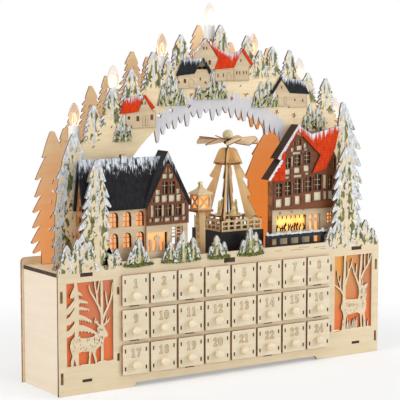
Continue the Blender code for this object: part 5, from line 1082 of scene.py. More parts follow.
class ADVENT_OT_drawers(bpy.types.Operator):
    """Make the 24 drawers with their boxes, turned knobs and numbers"""
    bl_idname = "advent.drawers"
    bl_label = "Drawers"

    def execute(self, context):
        sizes = context.scene.advent_sizes
        wood = ply_material("drawer_ply", (0, 1, 0), "x", (0.87, 0.76, 0.57), (0.80, 0.68, 0.48))
        tray_wood = ply_material("tray_ply", (0, 0, 1), "y", (0.84, 0.71, 0.50), (0.72, 0.57, 0.36), None)
        dark = paint_material("tab_burn", (0.105, 0.055, 0.022), (0.060, 0.030, 0.012), 0.8, 500)
        brown = paint_material("number_lines", (0.50, 0.32, 0.13), (0.38, 0.22, 0.08), 0.7)
        knob_wood, tree, shader = Finishes.start("turned_beech", 0.42)
        grain = use_group(tree, ply_grain_group, Stretch=(60, 60, 260), Pale=(0.88, 0.77, 0.58),
            Deep=(0.80, 0.67, 0.46))
        tree.links.new(grain["Colour"], shader.inputs["Base Color"])
        raise_surface(tree, shader, grain["Height"], 0.15, 0.08)
        half, height = 16.7, 33.6
        face = [rectangle(-half, 0, half, height)]
        marks = []
        for side in (-1, 1):
            for v in (height - 7.1, 6.7):
                face.append(around(side * 13.3, v, 1.7, 4.4))
                marks.append(around(side * 13.3, v, 1.6, 4.3))
        plate = soften(cut_sheet("drawer_plate", face, -3.3, 3), 0.25, 1)
        tabs = cut_sheet("tab_ends", marks, -3.15, 0.9)
        tray = block("drawer_tray", (-DRAWER_HALF, -0.35, 1.55), (DRAWER_HALF, 78, 32.35))
        into_edit(tray, "DESELECT")
        out_of_edit()
        for face_item in tray.data.polygons:
            face_item.select = face_item.normal.z > 0.9
        into_edit_keep(tray)
        bpy.ops.mesh.inset(thickness=2.5 * MM, depth=0)
        bpy.ops.mesh.extrude_region_move(TRANSFORM_OT_translate={"value": (0, 0, -28.3 * MM)})
        out_of_edit()
        tidy_mesh(tray)
        knob_radius = sizes.knob / MM / 2
        profile = [(1.9, 0), (1.9, 0.9), (2.6, 1.3), (3.9, 2.2), (4.75, 3.6), (5, 5.2), (4.8, 6.6), (4.1, 8), (3, 9),
            (1.6, 9.55), (0.25, 9.7)]
        profile = [(r * knob_radius / 5, h) for r, h in profile]
        knob = lathe("drawer_knob", profile, (0, 0, 0), 20)
        turn_to_front(knob, -0.8, -3.2, height / 2 - 6.2)
        smooth(knob, 50)
        for row in range(3):
            for column in range(8):
                number = row * 8 + column + 1
                body = f"drawer_{number:02d}"
                x = WIDTH / 2 + (column - 3.5) * DRAWER_PITCH
                z = SHELF_ZERO + ROW_PITCH * (2 - row) + 0.25
                dress(copy_of(plate, body + "_front", (x, 0, z)), wood, body, "drawer_wood", (body,))
                dress(copy_of(tray, body + "_tray", (x, 0, z)), tray_wood, body, "drawer_wood")
                shape = copy_of(knob, body + "_knob", (x, 0, z))
                dress(shape, knob_wood, body, "drawer_wood")
                ends = copy_of(tabs, body + "_tabs", (x, 0, z))
                dress(ends, dark, body, "drawer_wood")
                lines = digit_lines(number, x, z + height / 2 + 7, sizes.digit / MM)
                dress(line_work(body + "_number", lines, -3.32, sizes.line / MM, True), brown, body, "drawer_wood")
        for piece in (plate, tabs, tray, knob):
            bpy.data.objects.remove(piece, do_unlink=True)
        return operator_done(self)


def into_edit_keep(piece):
    """Enter edit mode with the faces that were picked in object mode."""
    only(piece)
    bpy.ops.object.mode_set(mode="EDIT")
    bpy.ops.mesh.select_mode(type="FACE")


def turn_to_front(piece, x, y, z):
    """Turn a lathe piece made at the panel's corner so that its top looks to the front."""
    only(piece)
    corner = spot(0, 0, 0)
    piece.rotation_euler = (0, 0, 0)
    piece.location = (-corner[0], -corner[1], -corner[2])
    apply_place(piece)
    piece.rotation_euler = (pi / 2, 0, 0)
    apply_place(piece)
    piece.location = spot(x, y, z)
    return apply_place(piece)


TALL_LEFT = ((10.5, 10, 229), (13.5, 14, 212), (16.5, 16.5, 201), (18, 15, 191), (23, 15.5, 178), (24, 16, 164),
    (25, 17, 150))
TALL_RIGHT = ((12, 11, 232), (17, 19, 216), (18.5, 19.5, 203), (20, 21, 190), (20.5, 22, 176), (21.5, 23, 163),
    (22.5, 23, 150))
FRONT_SMALL = ((11, 163, 30, 12), (24, 168, 36, 13), (38, 165, 33, 12), (63, 157, 24, 10), (72, 154, 18, 8),
    (366, 158, 26, 11), (378, 166, 34, 13), (408, 168, 36, 13), (420, 163, 30, 12), (431, 152, 20, 9))


CLUSTERS = ((99, 19, ((0, 165), (-0.55, 150), (0.5, 149), (-0.25, 157), (0.25, 155))),
            (154, 26, ((0.1, 168), (-0.55, 158), (0.6, 160), (-0.15, 156), (0.35, 152), (-0.8, 147), (0.85, 148))),
            (205, 15, ((-0.25, 160), (0.45, 152), (-0.75, 148), (0.1, 150))),
            (249, 18, ((-0.1, 166), (0.35, 160), (-0.6, 152), (0.7, 150), (-0.3, 154))))


class ADVENT_OT_front_firs(bpy.types.Operator):
    """Cut and paint the firs that stand on the front edge, with their bushy groups"""
    bl_idname = "advent.front_firs"
    bl_label = "Front firs"

    def execute(self, context):
        looks = context.scene.advent_wood
        grove = Grove(0, PLY)
        for x, tip, hooks in ((48.5, 252, TALL_LEFT), (389, 252, TALL_RIGHT)):
            grove.add(hooked_outline(x, tip, 137.5, 13, hooks, 3), (x, tip, 112, 23, 1, 1), 14)
        for number, (x, tip, height, half) in enumerate(FRONT_SMALL):
            half = min(half, x - 0.5, WIDTH - 0.5 - x)
            grove.add(fir_outline(x, tip, height, half, 6, 1.4, 50 + number), (x, tip, height, half, 1.1, 1), 3)
        dress(join("front_firs", grove.sheets), fir_material("painted_front_fir", looks.pale_wood, looks.deep_wood,
            0.25))
        chance = random.Random(17)
        bushes, hems = Grove(-2, 2.2), []
        for index, (middle, half, members) in enumerate(CLUSTERS):
            hem = []
            for i in range(25):
                f = i / 24
                sag = 1.6 * sin(pi * f)
                hem.append((middle - half + 2 * half * f, 134.6 - sag * 0.8 - (1.5 if i % 2 else 0)
                    + chance.uniform(0, 0.6)))
            for i in range(16, -1, -1):
                f = i / 16
                hem.append((middle - half * 0.97 + 1.94 * half * f, 137 + sin(i * 2.3)))
            hems.append(cut_sheet("hem", [hem], -2.35, 2.3))
            for number, (place, tip) in enumerate(sorted(members, key=lambda m: m[1])):
                x, height = middle + half * place, tip - 134
                wide = height * 0.36 * chance.uniform(0.9, 1.1)
                bushes.add(fir_outline(x, tip, height, wide, 6, 1.1, 90 + index * 7 + number),
                    (x, tip, height, wide, 1, 1), 3, -2 - 0.06 * number, 2.2 + 0.06 * number)
        moss = paint_material("moss_green", (0.22, 0.24, 0.055), (0.035, 0.055, 0.012), 0.8, 520)
        dress(join("front_bush_hems", hems), moss)
        dress(join("front_bushes", bushes.sheets), fir_material("painted_bush", (0.74, 0.64, 0.40),
            (0.42, 0.40, 0.16), 1))
        # Dark slits laid over the front firs and bushes: burnt cut edges plus painted shade seen through the cuts.
        lay("front_fir_cuts", grove.cuts, -0.25, PLY + 0.5, cut_material())
        lay("front_bush_cuts", bushes.cuts, -2.45, 0.6, cut_material())
        return operator_done(self)


BIG_LEFT = ((14, 13, 250), (21, 16, 232), (22, 17, 217), (25, 18, 194), (26, 19, 176), (27, 20, 158), (27.5, 20, 143))
BIG_RIGHT = ((8, 17, 271), (10, 27, 247), (12, 28, 226), (16, 30.5, 205), (18, 30.5, 185), (20, 28, 158),
    (22, 28, 143))
ARCH_FIRS = ((60, 309, 66, 21, 2), (83, 327, 66, 22, 3), (108, 347, 66, 22, 3), (136, 366, 68, 23, 4),
    (155, 358, 52, 17, 2), (173, 385, 64, 21, 3), (205, 381, 80, 25, 3), (226, 396, 62, 21, 3), (263, 384, 66, 23, 3),
    (281, 367, 52, 17, 2), (299, 371, 56, 19, 3), (324, 367, 62, 21, 3), (351, 340, 58, 20, 3), (378, 333, 68, 22, 3))
BODY_TOP = ((12, 132), (11, 158), (12, 176), (12, 194), (15, 215), (17, 232), (22, 250), (34, 262), (48, 270),
    (60, 277), (72, 284), (83, 291), (95, 300), (108, 309), (122, 320), (136, 327), (155, 331), (173, 341),
    (190, 345), (205, 348), (226, 353), (245, 349), (263, 344), (281, 337), (299, 332), (312, 328), (324, 322),
    (338, 310), (351, 300), (365, 292), (378, 285), (392, 274), (405, 262), (420, 240), (428, 205), (429, 180),
    (428, 150), (427, 132.3))


def icicle_edge(radius, start, end, count, lengths, seed):
    """The lower edge of an arch with round-ended icicles, from right to left, in millimetres."""
    chance = random.Random(seed)
    points = []
    for i in range(count):
        first, last = (start + (end - start) * (i + k) / count for k in (0, 1))
        middle = (first + last) / 2
        length = lengths[i % len(lengths)] * chance.uniform(0.85, 1.15)
        u, v = WIDTH / 2 + radius * cos(middle), ARCH_MIDDLE + radius * sin(middle) - length
        half = radius * (last - first) * sin(middle) / 2
        tip = min(chance.uniform(1.3, 1.9), half * 0.7)
        points.append((WIDTH / 2 + radius * cos(first), ARCH_MIDDLE + radius * sin(first)))
        points.append((u + max(half * 0.74, tip), v + length * 0.5))
        points += [(u + tip * cos(a), v + tip + tip * sin(a)) for a in (0, -0.8, -pi / 2, 0.8 - pi, -pi)]
        points.append((u - max(half * 0.74, tip), v + length * 0.5))
    return points + [(WIDTH / 2 + radius * cos(end), ARCH_MIDDLE + radius * sin(end))]


def star_loop(u, v, radius, turn=0):
    points = []
    for i in range(10):
        angle = pi / 2 + turn + pi * i / 5
        r = radius if i % 2 == 0 else radius * 0.42
        points.append((u + r * cos(angle), v + r * sin(angle)))
    return points


STARS = ((143.9, 295, 4), (159.4, 300.6, 3.8), (183, 304.4, 3.6), (185.5, 317.2, 4), (200, 306.4, 3.6),
    (240.6, 312, 3.6), (260.8, 317.8, 5.2), (305, 295, 3.8), (330, 290, 4.4))


class ADVENT_OT_arch(bpy.types.Operator):
    """Cut the arch panel with its row of firs, icicles and stars, and paint the snow"""
    bl_idname = "advent.arch"
    bl_label = "Arch panel"

    def execute(self, context):
        dip = asin((ARCH_MIDDLE - STAND) / ARCH_RADIUS)
        start, end = radians(47), radians(126)
        right = arc(WIDTH / 2, ARCH_MIDDLE, ARCH_RADIUS, -dip, start, 14)
        hanging = icicle_edge(ARCH_RADIUS, start, end, 22, (13, 9, 12, 16, 8, 13, 10, 16, 11), 4)
        left = arc(WIDTH / 2, ARCH_MIDDLE, ARCH_RADIUS, end, pi + dip, 14)
        loops = [list(BODY_TOP) + right[:-1] + hanging + left[1:]]
        loops += [star_loop(u, v, r, 0.1 * i) for i, (u, v, r) in enumerate(STARS)]
        grove = Grove(ARCH_FRONT, PLY)
        for number, (x, tip, height, half, cuts) in enumerate(ARCH_FIRS):
            grove.add(fir_outline(x, tip, height, half, 11, 2.3, 10 + number), (x, tip, height, half, 1, 0.55), cuts)
        for x, tip, hooks, trunk, height, half in ((36, 279, BIG_LEFT, 19, 146, 27),
                (405, 304, BIG_RIGHT, 18, 171, 30)):
            grove.add(hooked_outline(x, tip, STAND + 0.3, trunk, hooks, 3.6), (x, tip, height, half, 1, 1), 10)
        for x, tip, height, half in ((18, 160, 27, 9), (28, 155, 22, 9), (420, 158, 25, 10), (431, 150, 17, 7)):
            grove.add(fir_outline(x, tip, height, half, 6, 1.3, int(x)), (x, tip, height, half, 1.2, 1), 1)
        grove.plain(cut_sheet("arch_band", loops, ARCH_FRONT, PLY))
        # The arch's ply is paler than the other sheets: painted light that makes up for the dimmer light reaching the
        # arch.
        dress(join("arch_sheet", grove.sheets), fir_material("painted_arch", (0.93, 0.76, 0.49), (0.81, 0.63, 0.38),
            0.35, True), stands_for=("arch_panel",))
        # Dark slits laid over the arch firs: burnt cut edges plus painted shade seen through the cuts.
        lay("arch_cuts", grove.cuts, ARCH_FRONT - 0.35, PLY + 0.7, cut_material())
        return operator_done(self)


HOUSES = (
    {"name": "red_cottage", "roof": "red",
     "walls": ([(107, 282), (138, 282), (138, 300), (133, 301), (122.8, 315.5), (115.5, 300.2), (99, 298.5),
                (99, 285), (107, 285)],),
     "roofs": ([(91.7, 298.3), (114.4, 300.2), (121.7, 317.8), (97.8, 315.6)],
               [(121.5, 317.8), (124.2, 318.6), (136.8, 304.6), (133.3, 302)]),
     "ridges": ((98, 316.4, 0.08), (124, 324.6, -1)),
     "panes": ((119.7, 308, 121.5, 311), (123.3, 308, 125, 311), (112.8, 290, 116.4, 295.5),
               (130.9, 291, 134.4, 296.7), (101.7, 292, 104.8, 295.6)),
     "doors": ((120.8, 284.7, 123.9, 295.6), (124.5, 284.7, 127.6, 295.6))},
    {"name": "black_cottage", "roof": "black",
     "walls": ([(166.7, 324.4), (210, 324.4), (210, 342), (199.8, 356.5), (188.9, 341.1), (166.7, 339.2)],),
     "roofs": ([(164.4, 338.7), (188.9, 341.1), (199.6, 358.4), (172.8, 356.7)],
               [(199.2, 358.2), (202.2, 359), (212.3, 342.8), (208.8, 340.4)]),
     "ridges": ((172, 357.4, 0.05), (200, 364.4, -1.3)),
     "panes": ((166.9, 330.6, 169.2, 333.1), (174.8, 330.9, 177.8, 335.3), (196, 333.3, 197.8, 336.7),
               (198, 346, 200.4, 348.4)),
     "doors": ((181.7, 326, 188.3, 335),)},
    {"name": "red_double_house", "roof": "red",
     "walls": ([(184.5, 346), (216.1, 345.3), (242.8, 345), (242.8, 331.7), (264, 331.7), (264, 347.5),
                (268, 350.5), (254.4, 366.5), (242.8, 348), (221.5, 357), (205.6, 378.5), (186.5, 361),
                (186.5, 352)],
               [(217, 331.9), (243.4, 331.9), (243.4, 346.4), (217, 346.4)]),
     "roofs": ([(205.6, 380), (211.7, 376.7), (220, 368.9), (240, 363), (233, 346.5), (216.1, 345.3),
                (221.5, 359)],
               [(205.9, 381.2), (204.6, 381.2), (183, 361.2), (185.2, 359), (205.6, 378)],
               [(254, 368.9), (256.4, 369.2), (270.2, 351), (267, 349.4), (254.2, 365.2)],
               [(240, 363), (254, 368.3), (242.8, 347.2), (233, 346.5)]),
     "ridges": ((212, 377.2, -0.55), (205, 381.2, 0.9), (255, 375, -1.1), (247, 365, 0.40)),
     "panes": ((200.8, 368, 202.6, 371), (204.8, 368, 206.3, 371), (208.1, 351, 211.1, 356),
               (196.5, 353, 199, 357.5), (246.1, 339.8, 247.8, 343.1), (250.2, 339.8, 251.7, 343.1),
               (255.8, 339.8, 257.2, 343.1), (259.8, 339.8, 261.1, 343.1), (251.8, 353.9, 253.4, 356.7),
               (220.3, 336.7, 221.7, 340.6), (227.8, 337, 229.2, 341)),
     "doors": ((233.3, 332.4, 238.9, 342),)},
    {"name": "black_chapel_house", "roof": "black",
     "walls": ([(297.8, 301.1), (322.2, 301.1), (322.2, 299.4), (348.3, 299.4), (348.3, 316), (322.8, 318),
                (310.6, 334), (297.8, 318)],),
     "roofs": ([(310.6, 336.6), (342.8, 330.2), (351.4, 314.8), (322.8, 316.7), (310.6, 332.6)],
               [(294.4, 316.4), (309.4, 336.8), (311.4, 336.6), (310.6, 332.6), (298.6, 316.8)]),
     "ridges": ((311, 336.8, -0.2), (309, 341.5, 1.2)),
     "panes": ((310, 322.2, 311.4, 325.2), (304.4, 310.6, 305.9, 315), (329.4, 307.2, 331.1, 310),
               (341.1, 306, 342.8, 309.4)),
     "doors": ((314.4, 303.9, 317.6, 312.6),)},
)
ARCH_BUSHES = (
    (96, 268, 12, ((0.15, 298), (-0.5, 288), (0.6, 286), (-0.1, 284))),
    (159, 306, 18, ((-0.2, 338), (0.35, 336), (-0.65, 326), (0.75, 324), (0.05, 328))),
    (213, 312, 23, ((-0.45, 340), (0.15, 345), (0.7, 332), (-0.8, 328), (0.45, 330), (-0.15, 331))),
    (288, 301, 17, ((-0.35, 331), (0.3, 334), (-0.75, 320), (0.75, 320), (0, 322))),
    (359, 271, 17, ((-0.3, 303), (0.35, 298), (-0.75, 290), (0.75, 290), (0.05, 292))))


class ADVENT_OT_hamlet(bpy.types.Operator):
    """Lay the small houses and the bushy firs on the arch panel"""
    bl_idname = "advent.hamlet"
    bl_label = "Hamlet"

    def execute(self, context):
        wall_wood = ply_material("cottage_ply", (0, 1, 0), "x", (0.72, 0.57, 0.375), (0.58, 0.435, 0.26))
        red = snowy_roof_material("red_roof_paint", (0.78, 0.054, 0.006), (0.60, 0.034, 0.005), 8.5, 800,
            under_marked)
        black = snowy_roof_material("black_roof_paint", (0.024, 0.025, 0.028), (0.012, 0.013, 0.015), 8.5, 800,
            under_marked)
        for house in HOUSES:
            name = house["name"]
            sheets = [cut_sheet("wall", [loop], ARCH_FRONT - 1.5 - 0.03 * i, 1.48 + 0.03 * i) for i,
                loop in enumerate(house["walls"])]
            dress(join(name + "_walls", sheets), wall_wood)
            roofs = []
            for i, (loop, (x, level, slope)) in enumerate(zip(house["roofs"], house["ridges"])):
                roofs.append(cut_sheet("roof", [loop], ARCH_FRONT - 2.1 - 0.04 * i, 1.2))
                mark(roofs[-1], "ridge", (LEFT + x * MM, level * MM, slope))
            dress(join(name + "_roof", roofs), red if house["roof"] == "red" else black,
                slot="red_roof" if house["roof"] == "red" else "charcoal")
            panes = [rectangle(*pane) for pane in house["panes"]]
            lay(name + "_panes", panes, ARCH_FRONT - 1.62, 0.3, paint_material("cottage_panes", (0.17, 0.075, 0.028),
                (0.07, 0.030, 0.012), 0.7))
            lines = []
            for low_u, low_v, high_u, high_v in house["doors"]:
                middle = (low_u + high_u) / 2
                lines.append([(low_u, low_v), (low_u, high_v - 1.6), (middle - 0.8, high_v), (middle + 0.8, high_v),
                    (high_u, high_v - 1.6), (high_u, low_v), (low_u, low_v)])
            for loop in house["walls"]:
                lines.append([(u * 0.985 + sum(p[0] for p in loop) / len(loop) * 0.015, v + 0.5) for u, v in loop])
                lines[-1].append(lines[-1][0])
            dress(line_work(name + "_lines", lines, ARCH_FRONT - 1.6, 0.36), paint_material("cottage_lines",
                (0.40, 0.26, 0.12), (0.30, 0.18, 0.08), 0.75))
        bushes = Grove(ARCH_FRONT - 1.5, 1.6)
        for index, (middle, foot, half, members) in enumerate(ARCH_BUSHES):
            for number, (place, tip) in enumerate(sorted(members, key=lambda m: -m[1])):
                x, height = middle + half * place, tip - foot
                bushes.add(fir_outline(x, tip, height, height * 0.34, 7, 1, 200 + index * 11 + number),
                    (x, tip, height, height * 0.34, 0.9, 1), 3, ARCH_FRONT - 1.1 - 0.22 * number,
                    1.05 + 0.22 * number)
        dress(join("arch_bushes", bushes.sheets), fir_material("painted_arch_bush", (0.78, 0.67, 0.41),
            (0.34, 0.34, 0.12), 1))
        # Dark slits laid over the arch bushes: burnt cut edges plus painted shade seen through the cuts.
        lay("arch_bush_cuts", bushes.cuts, ARCH_FRONT - 2.35, 0.8, cut_material())
        return operator_done(self)


FOREST_EDGE = ((299.2, 132.3), (299.2, 212.2), (294.8, 215.1), (307.1, 240.2), (304.9, 242.3), (322.1, 265.2),
    (321.2, 272.1))
FOREST_FIRS = ((51, 282, 60, 16), (62, 308, 62, 18), (84, 328, 66, 21), (104, 339, 62, 18), (137.7, 366, 68, 23),
    (158, 360, 52, 16), (177, 381, 60, 19), (200, 378, 60, 20), (228, 396, 64, 22), (248, 378, 58, 19),
    (273, 376, 62, 21), (301, 382, 64, 21), (327, 369, 60, 19), (352, 339, 56, 18), (379, 331, 66, 21))
FOREST_LEFT = ((12, 13, 251), (20.5, 17, 227), (21.5, 18, 208), (24, 18, 191), (24.5, 18, 174), (26.5, 18, 157),
    (24.5, 18, 146))
FOREST_RIGHT = ((11, 8, 277), (15, 22, 252), (17, 25, 230), (18, 28, 208), (18, 29, 186), (18, 28, 162),
    (18, 27, 145))


class ADVENT_OT_forest(bpy.types.Operator):
    """Cut the rear forest panel that stands in the warm light"""
    bl_idname = "advent.forest"
    bl_label = "Rear forest"

    def execute(self, context):
        left = [(WIDTH - u, v) for u, v in reversed(FOREST_EDGE)]
        hanging = icicle_edge(FOREST_RADIUS, radians(50), radians(130), 20, (12, 17, 10, 15, 9, 18, 13), 9)
        slits = squiggles(34, 262, 112, 7, 6, 5, 1.45)
        body = [(25.5, STAND + 0.3), (25.5, 232), (38, 250), (52, 266), (66, 276)]
        body += [(min(u, 415), v - 1.5 if v > STAND + 1 else v) for u, v in BODY_TOP[11:]]
        loops = [body + list(FOREST_EDGE) + hanging + left] + [s for s in slits if max(v for _, v in s) < 246]
        sheets = [cut_sheet("forest_band", loops, FOREST_FRONT, PLY)]
        for number, (x, tip, height, half) in enumerate(FOREST_FIRS):
            step = 0.04 * (number % 5 + 1)
            holes = squiggles(x, tip, height * 0.62, half * 0.6, 2, 60 + number, 1.3)
            sheets.append(cut_sheet("forest_fir", [fir_outline(x, tip, height, half, 8, 2.6, 70 + number), *holes],
                FOREST_FRONT - step, PLY + 2 * step))
        for x, tip, hooks in ((35.2, 279, FOREST_LEFT), (405, 304, FOREST_RIGHT)):
            outline = hooked_outline(x, tip, STAND + 0.3, 15, hooks, 3.6)
            sheets.append(cut_sheet("forest_fir", [outline] + (slits if x < 100 else []), FOREST_FRONT - 0.02,
                PLY + 0.04))
        dress(join("forest_sheet", sheets), warm_ply_material("warm_ply"), slot="forest_wood",
            stands_for=("forest_panel",))
        return operator_done(self)


class ADVENT_OT_candles(bpy.types.Operator):
    """Turn the seven electric candles with clear bulbs and lit filaments"""
    bl_idname = "advent.candles"
    bl_label = "Candles"

    def execute(self, context):
        lights = context.scene.advent_lights
        glass, tree, shader = Finishes.start("clear_bulb", 0.06)
        place = object_place(tree)
        waves = noise(tree, place, 220, 2)
        tree.links.new(blend_colour(tree, waves, (0.96, 0.85, 0.78), (0.99, 0.92, 0.86)), shader.inputs["Base Color"])
        shader.inputs["Transmission Weight"].default_value = 0.85
        shader.inputs["IOR"].default_value = 1.12
        hot = add_node(tree, "ShaderNodeVectorMath", operation="DISTANCE")
        tree.links.new(place, hot.inputs[0])
        tree.links.new(add_node(tree, "ShaderNodeAttribute", attribute_name="filament").outputs["Vector"],
            hot.inputs[1])
        tree.links.new(blend_colour(tree, spread(tree, hot.outputs["Value"], 0.012, 0.003), (0, 0, 0),
            (1, 0.70, 0.40)), shader.inputs["Emission Color"])
        shader.inputs["Emission Strength"].default_value = 0.22
        raise_surface(tree, shader, waves, 0.05, 0.1)
        sleeve, tree, shader = Finishes.start("candle_sleeve", 0.38)
        place = object_place(tree)
        streaks = noise(tree, stretched(tree, place, (1, 1, 0.2)), 300, 2)
        tree.links.new(blend_colour(tree, streaks, (0.78, 0.76, 0.72), (0.90, 0.89, 0.86)),
            shader.inputs["Base Color"])
        raise_surface(tree, shader, streaks, 0.1, 0.05)
        wire = glow_material("lit_filament", (1, 0.84, 0.58), (1, 0.74, 0.45), lights.bulb_glow, 400)
        holder_wood = ply_material("holder_ply", (0, 1, 0), "z")
        for number in range(1, 8):
            name = f"candle_{number}"
            low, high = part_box(name)
            x = ((low[0] + high[0]) / 2 - LEFT) / MM
            tip = high[2] / MM
            bulb = lathe(name + "_bulb", [(3.6, -25.3), (4.1, -24.6), (5.5, -21.4), (6.2, -17.4), (6.25, -14.4),
                (5.8, -10.6), (4.9, -7.2), (3.7, -4.2), (2.6, -2.2), (1.6, -1), (0.75, -0.3), (0.15, -0.05)],
                (x, CANDLE_ROW, tip), 24)
            mark(bulb, "filament", (LEFT + x * MM, FRONT + CANDLE_ROW * MM, (tip - 19) * MM))
            dress(smooth(bulb, 60), glass, slot="candle", stands_for=(name,))
            tube = lathe(name + "_sleeve", [(5.9, -54), (6.5, -53.5), (6.5, -26.1), (6.3, -25.6), (5.6, -25.45),
                (3.9, -25.4), (3.5, -25.2)], (x, CANDLE_ROW, tip), 28)
            dress(smooth(tube, 40), sleeve, slot="candle")
            wires = [[(x + 1.6 * side, tip - 22.5), (x + 2.1 * side, tip - 18), (x + 1.4 * side, tip - 13),
                (x + 0.1 * side, tip - 11.6)] for side in (-1, 1)]
            wires.append([(x - 0.1, tip - 22.8), (x + 0.3, tip - 17), (x, tip - 11.2)])
            dress(line_work(name + "_filament", wires, CANDLE_ROW, 0.55), wire, slot="candle")
            post = lathe(name + "_mount", [(1.9, -25.3), (1.6, -22.5), (0.5, -21.4)], (x, CANDLE_ROW, tip), 12)
            dress(smooth(post, 40), sleeve, slot="candle")
            holder = block(name + "_holder", (x - 4, 30.3, tip - 52.8), (x + 4, 36.2, tip - 40.8), 0.4)
            dress(holder, holder_wood)
        return operator_done(self)


ARCHED = [(start, floor) for floor in (153.2, 176.3) for start in (68.5, 85, 101.5)]
LEFT_CREAM = ((142, 227.5, 146.8, 231.5), (133.4, 227.5, 139.4, 231.5), (124.6, 210, 129.6, 214.5),
    (151.4, 210, 155.6, 214.5), (124.1, 201.5, 129.6, 208), (132.4, 201.5, 139.1, 208), (141.6, 201.5, 149.1, 208),
    (151.6, 201.5, 157.2, 208), (132.4, 185.5, 135.2, 197.8), (145.4, 185.5, 148, 197.8),
    (118.4, 185.5, 121.6, 197.8), (159.2, 185.5, 162.6, 197.8), (116.4, 180, 119.4, 183), (123.4, 180, 129.4, 183),
    (131.9, 180, 134.1, 183), (136.4, 180, 142.9, 183), (145.4, 180, 146.9, 183), (148.4, 180, 155.2, 183),
    (159.6, 180, 163.4, 183))
LEFT_CORNERS = (((136.8, 233), (139.9, 233), (139.9, 241), (138.9, 241), (136.8, 237.5)),
    ((141.2, 233), (144.5, 233), (144.5, 235), (141.8, 241), (141.2, 241)), ((118.4, 201.8), (121.6, 201.8),
    (121.6, 206)), ((159.6, 201.8), (162.6, 201.8), (159.6, 206)))
LEFT_CASEMENTS = ((132.4, 210, 139.6, 223.5), (141.8, 210, 149.1, 223.5), (123.4, 185.5, 131.2, 197.8),
    (137.3, 185.5, 144, 197.8), (150.2, 185.5, 157, 197.8))


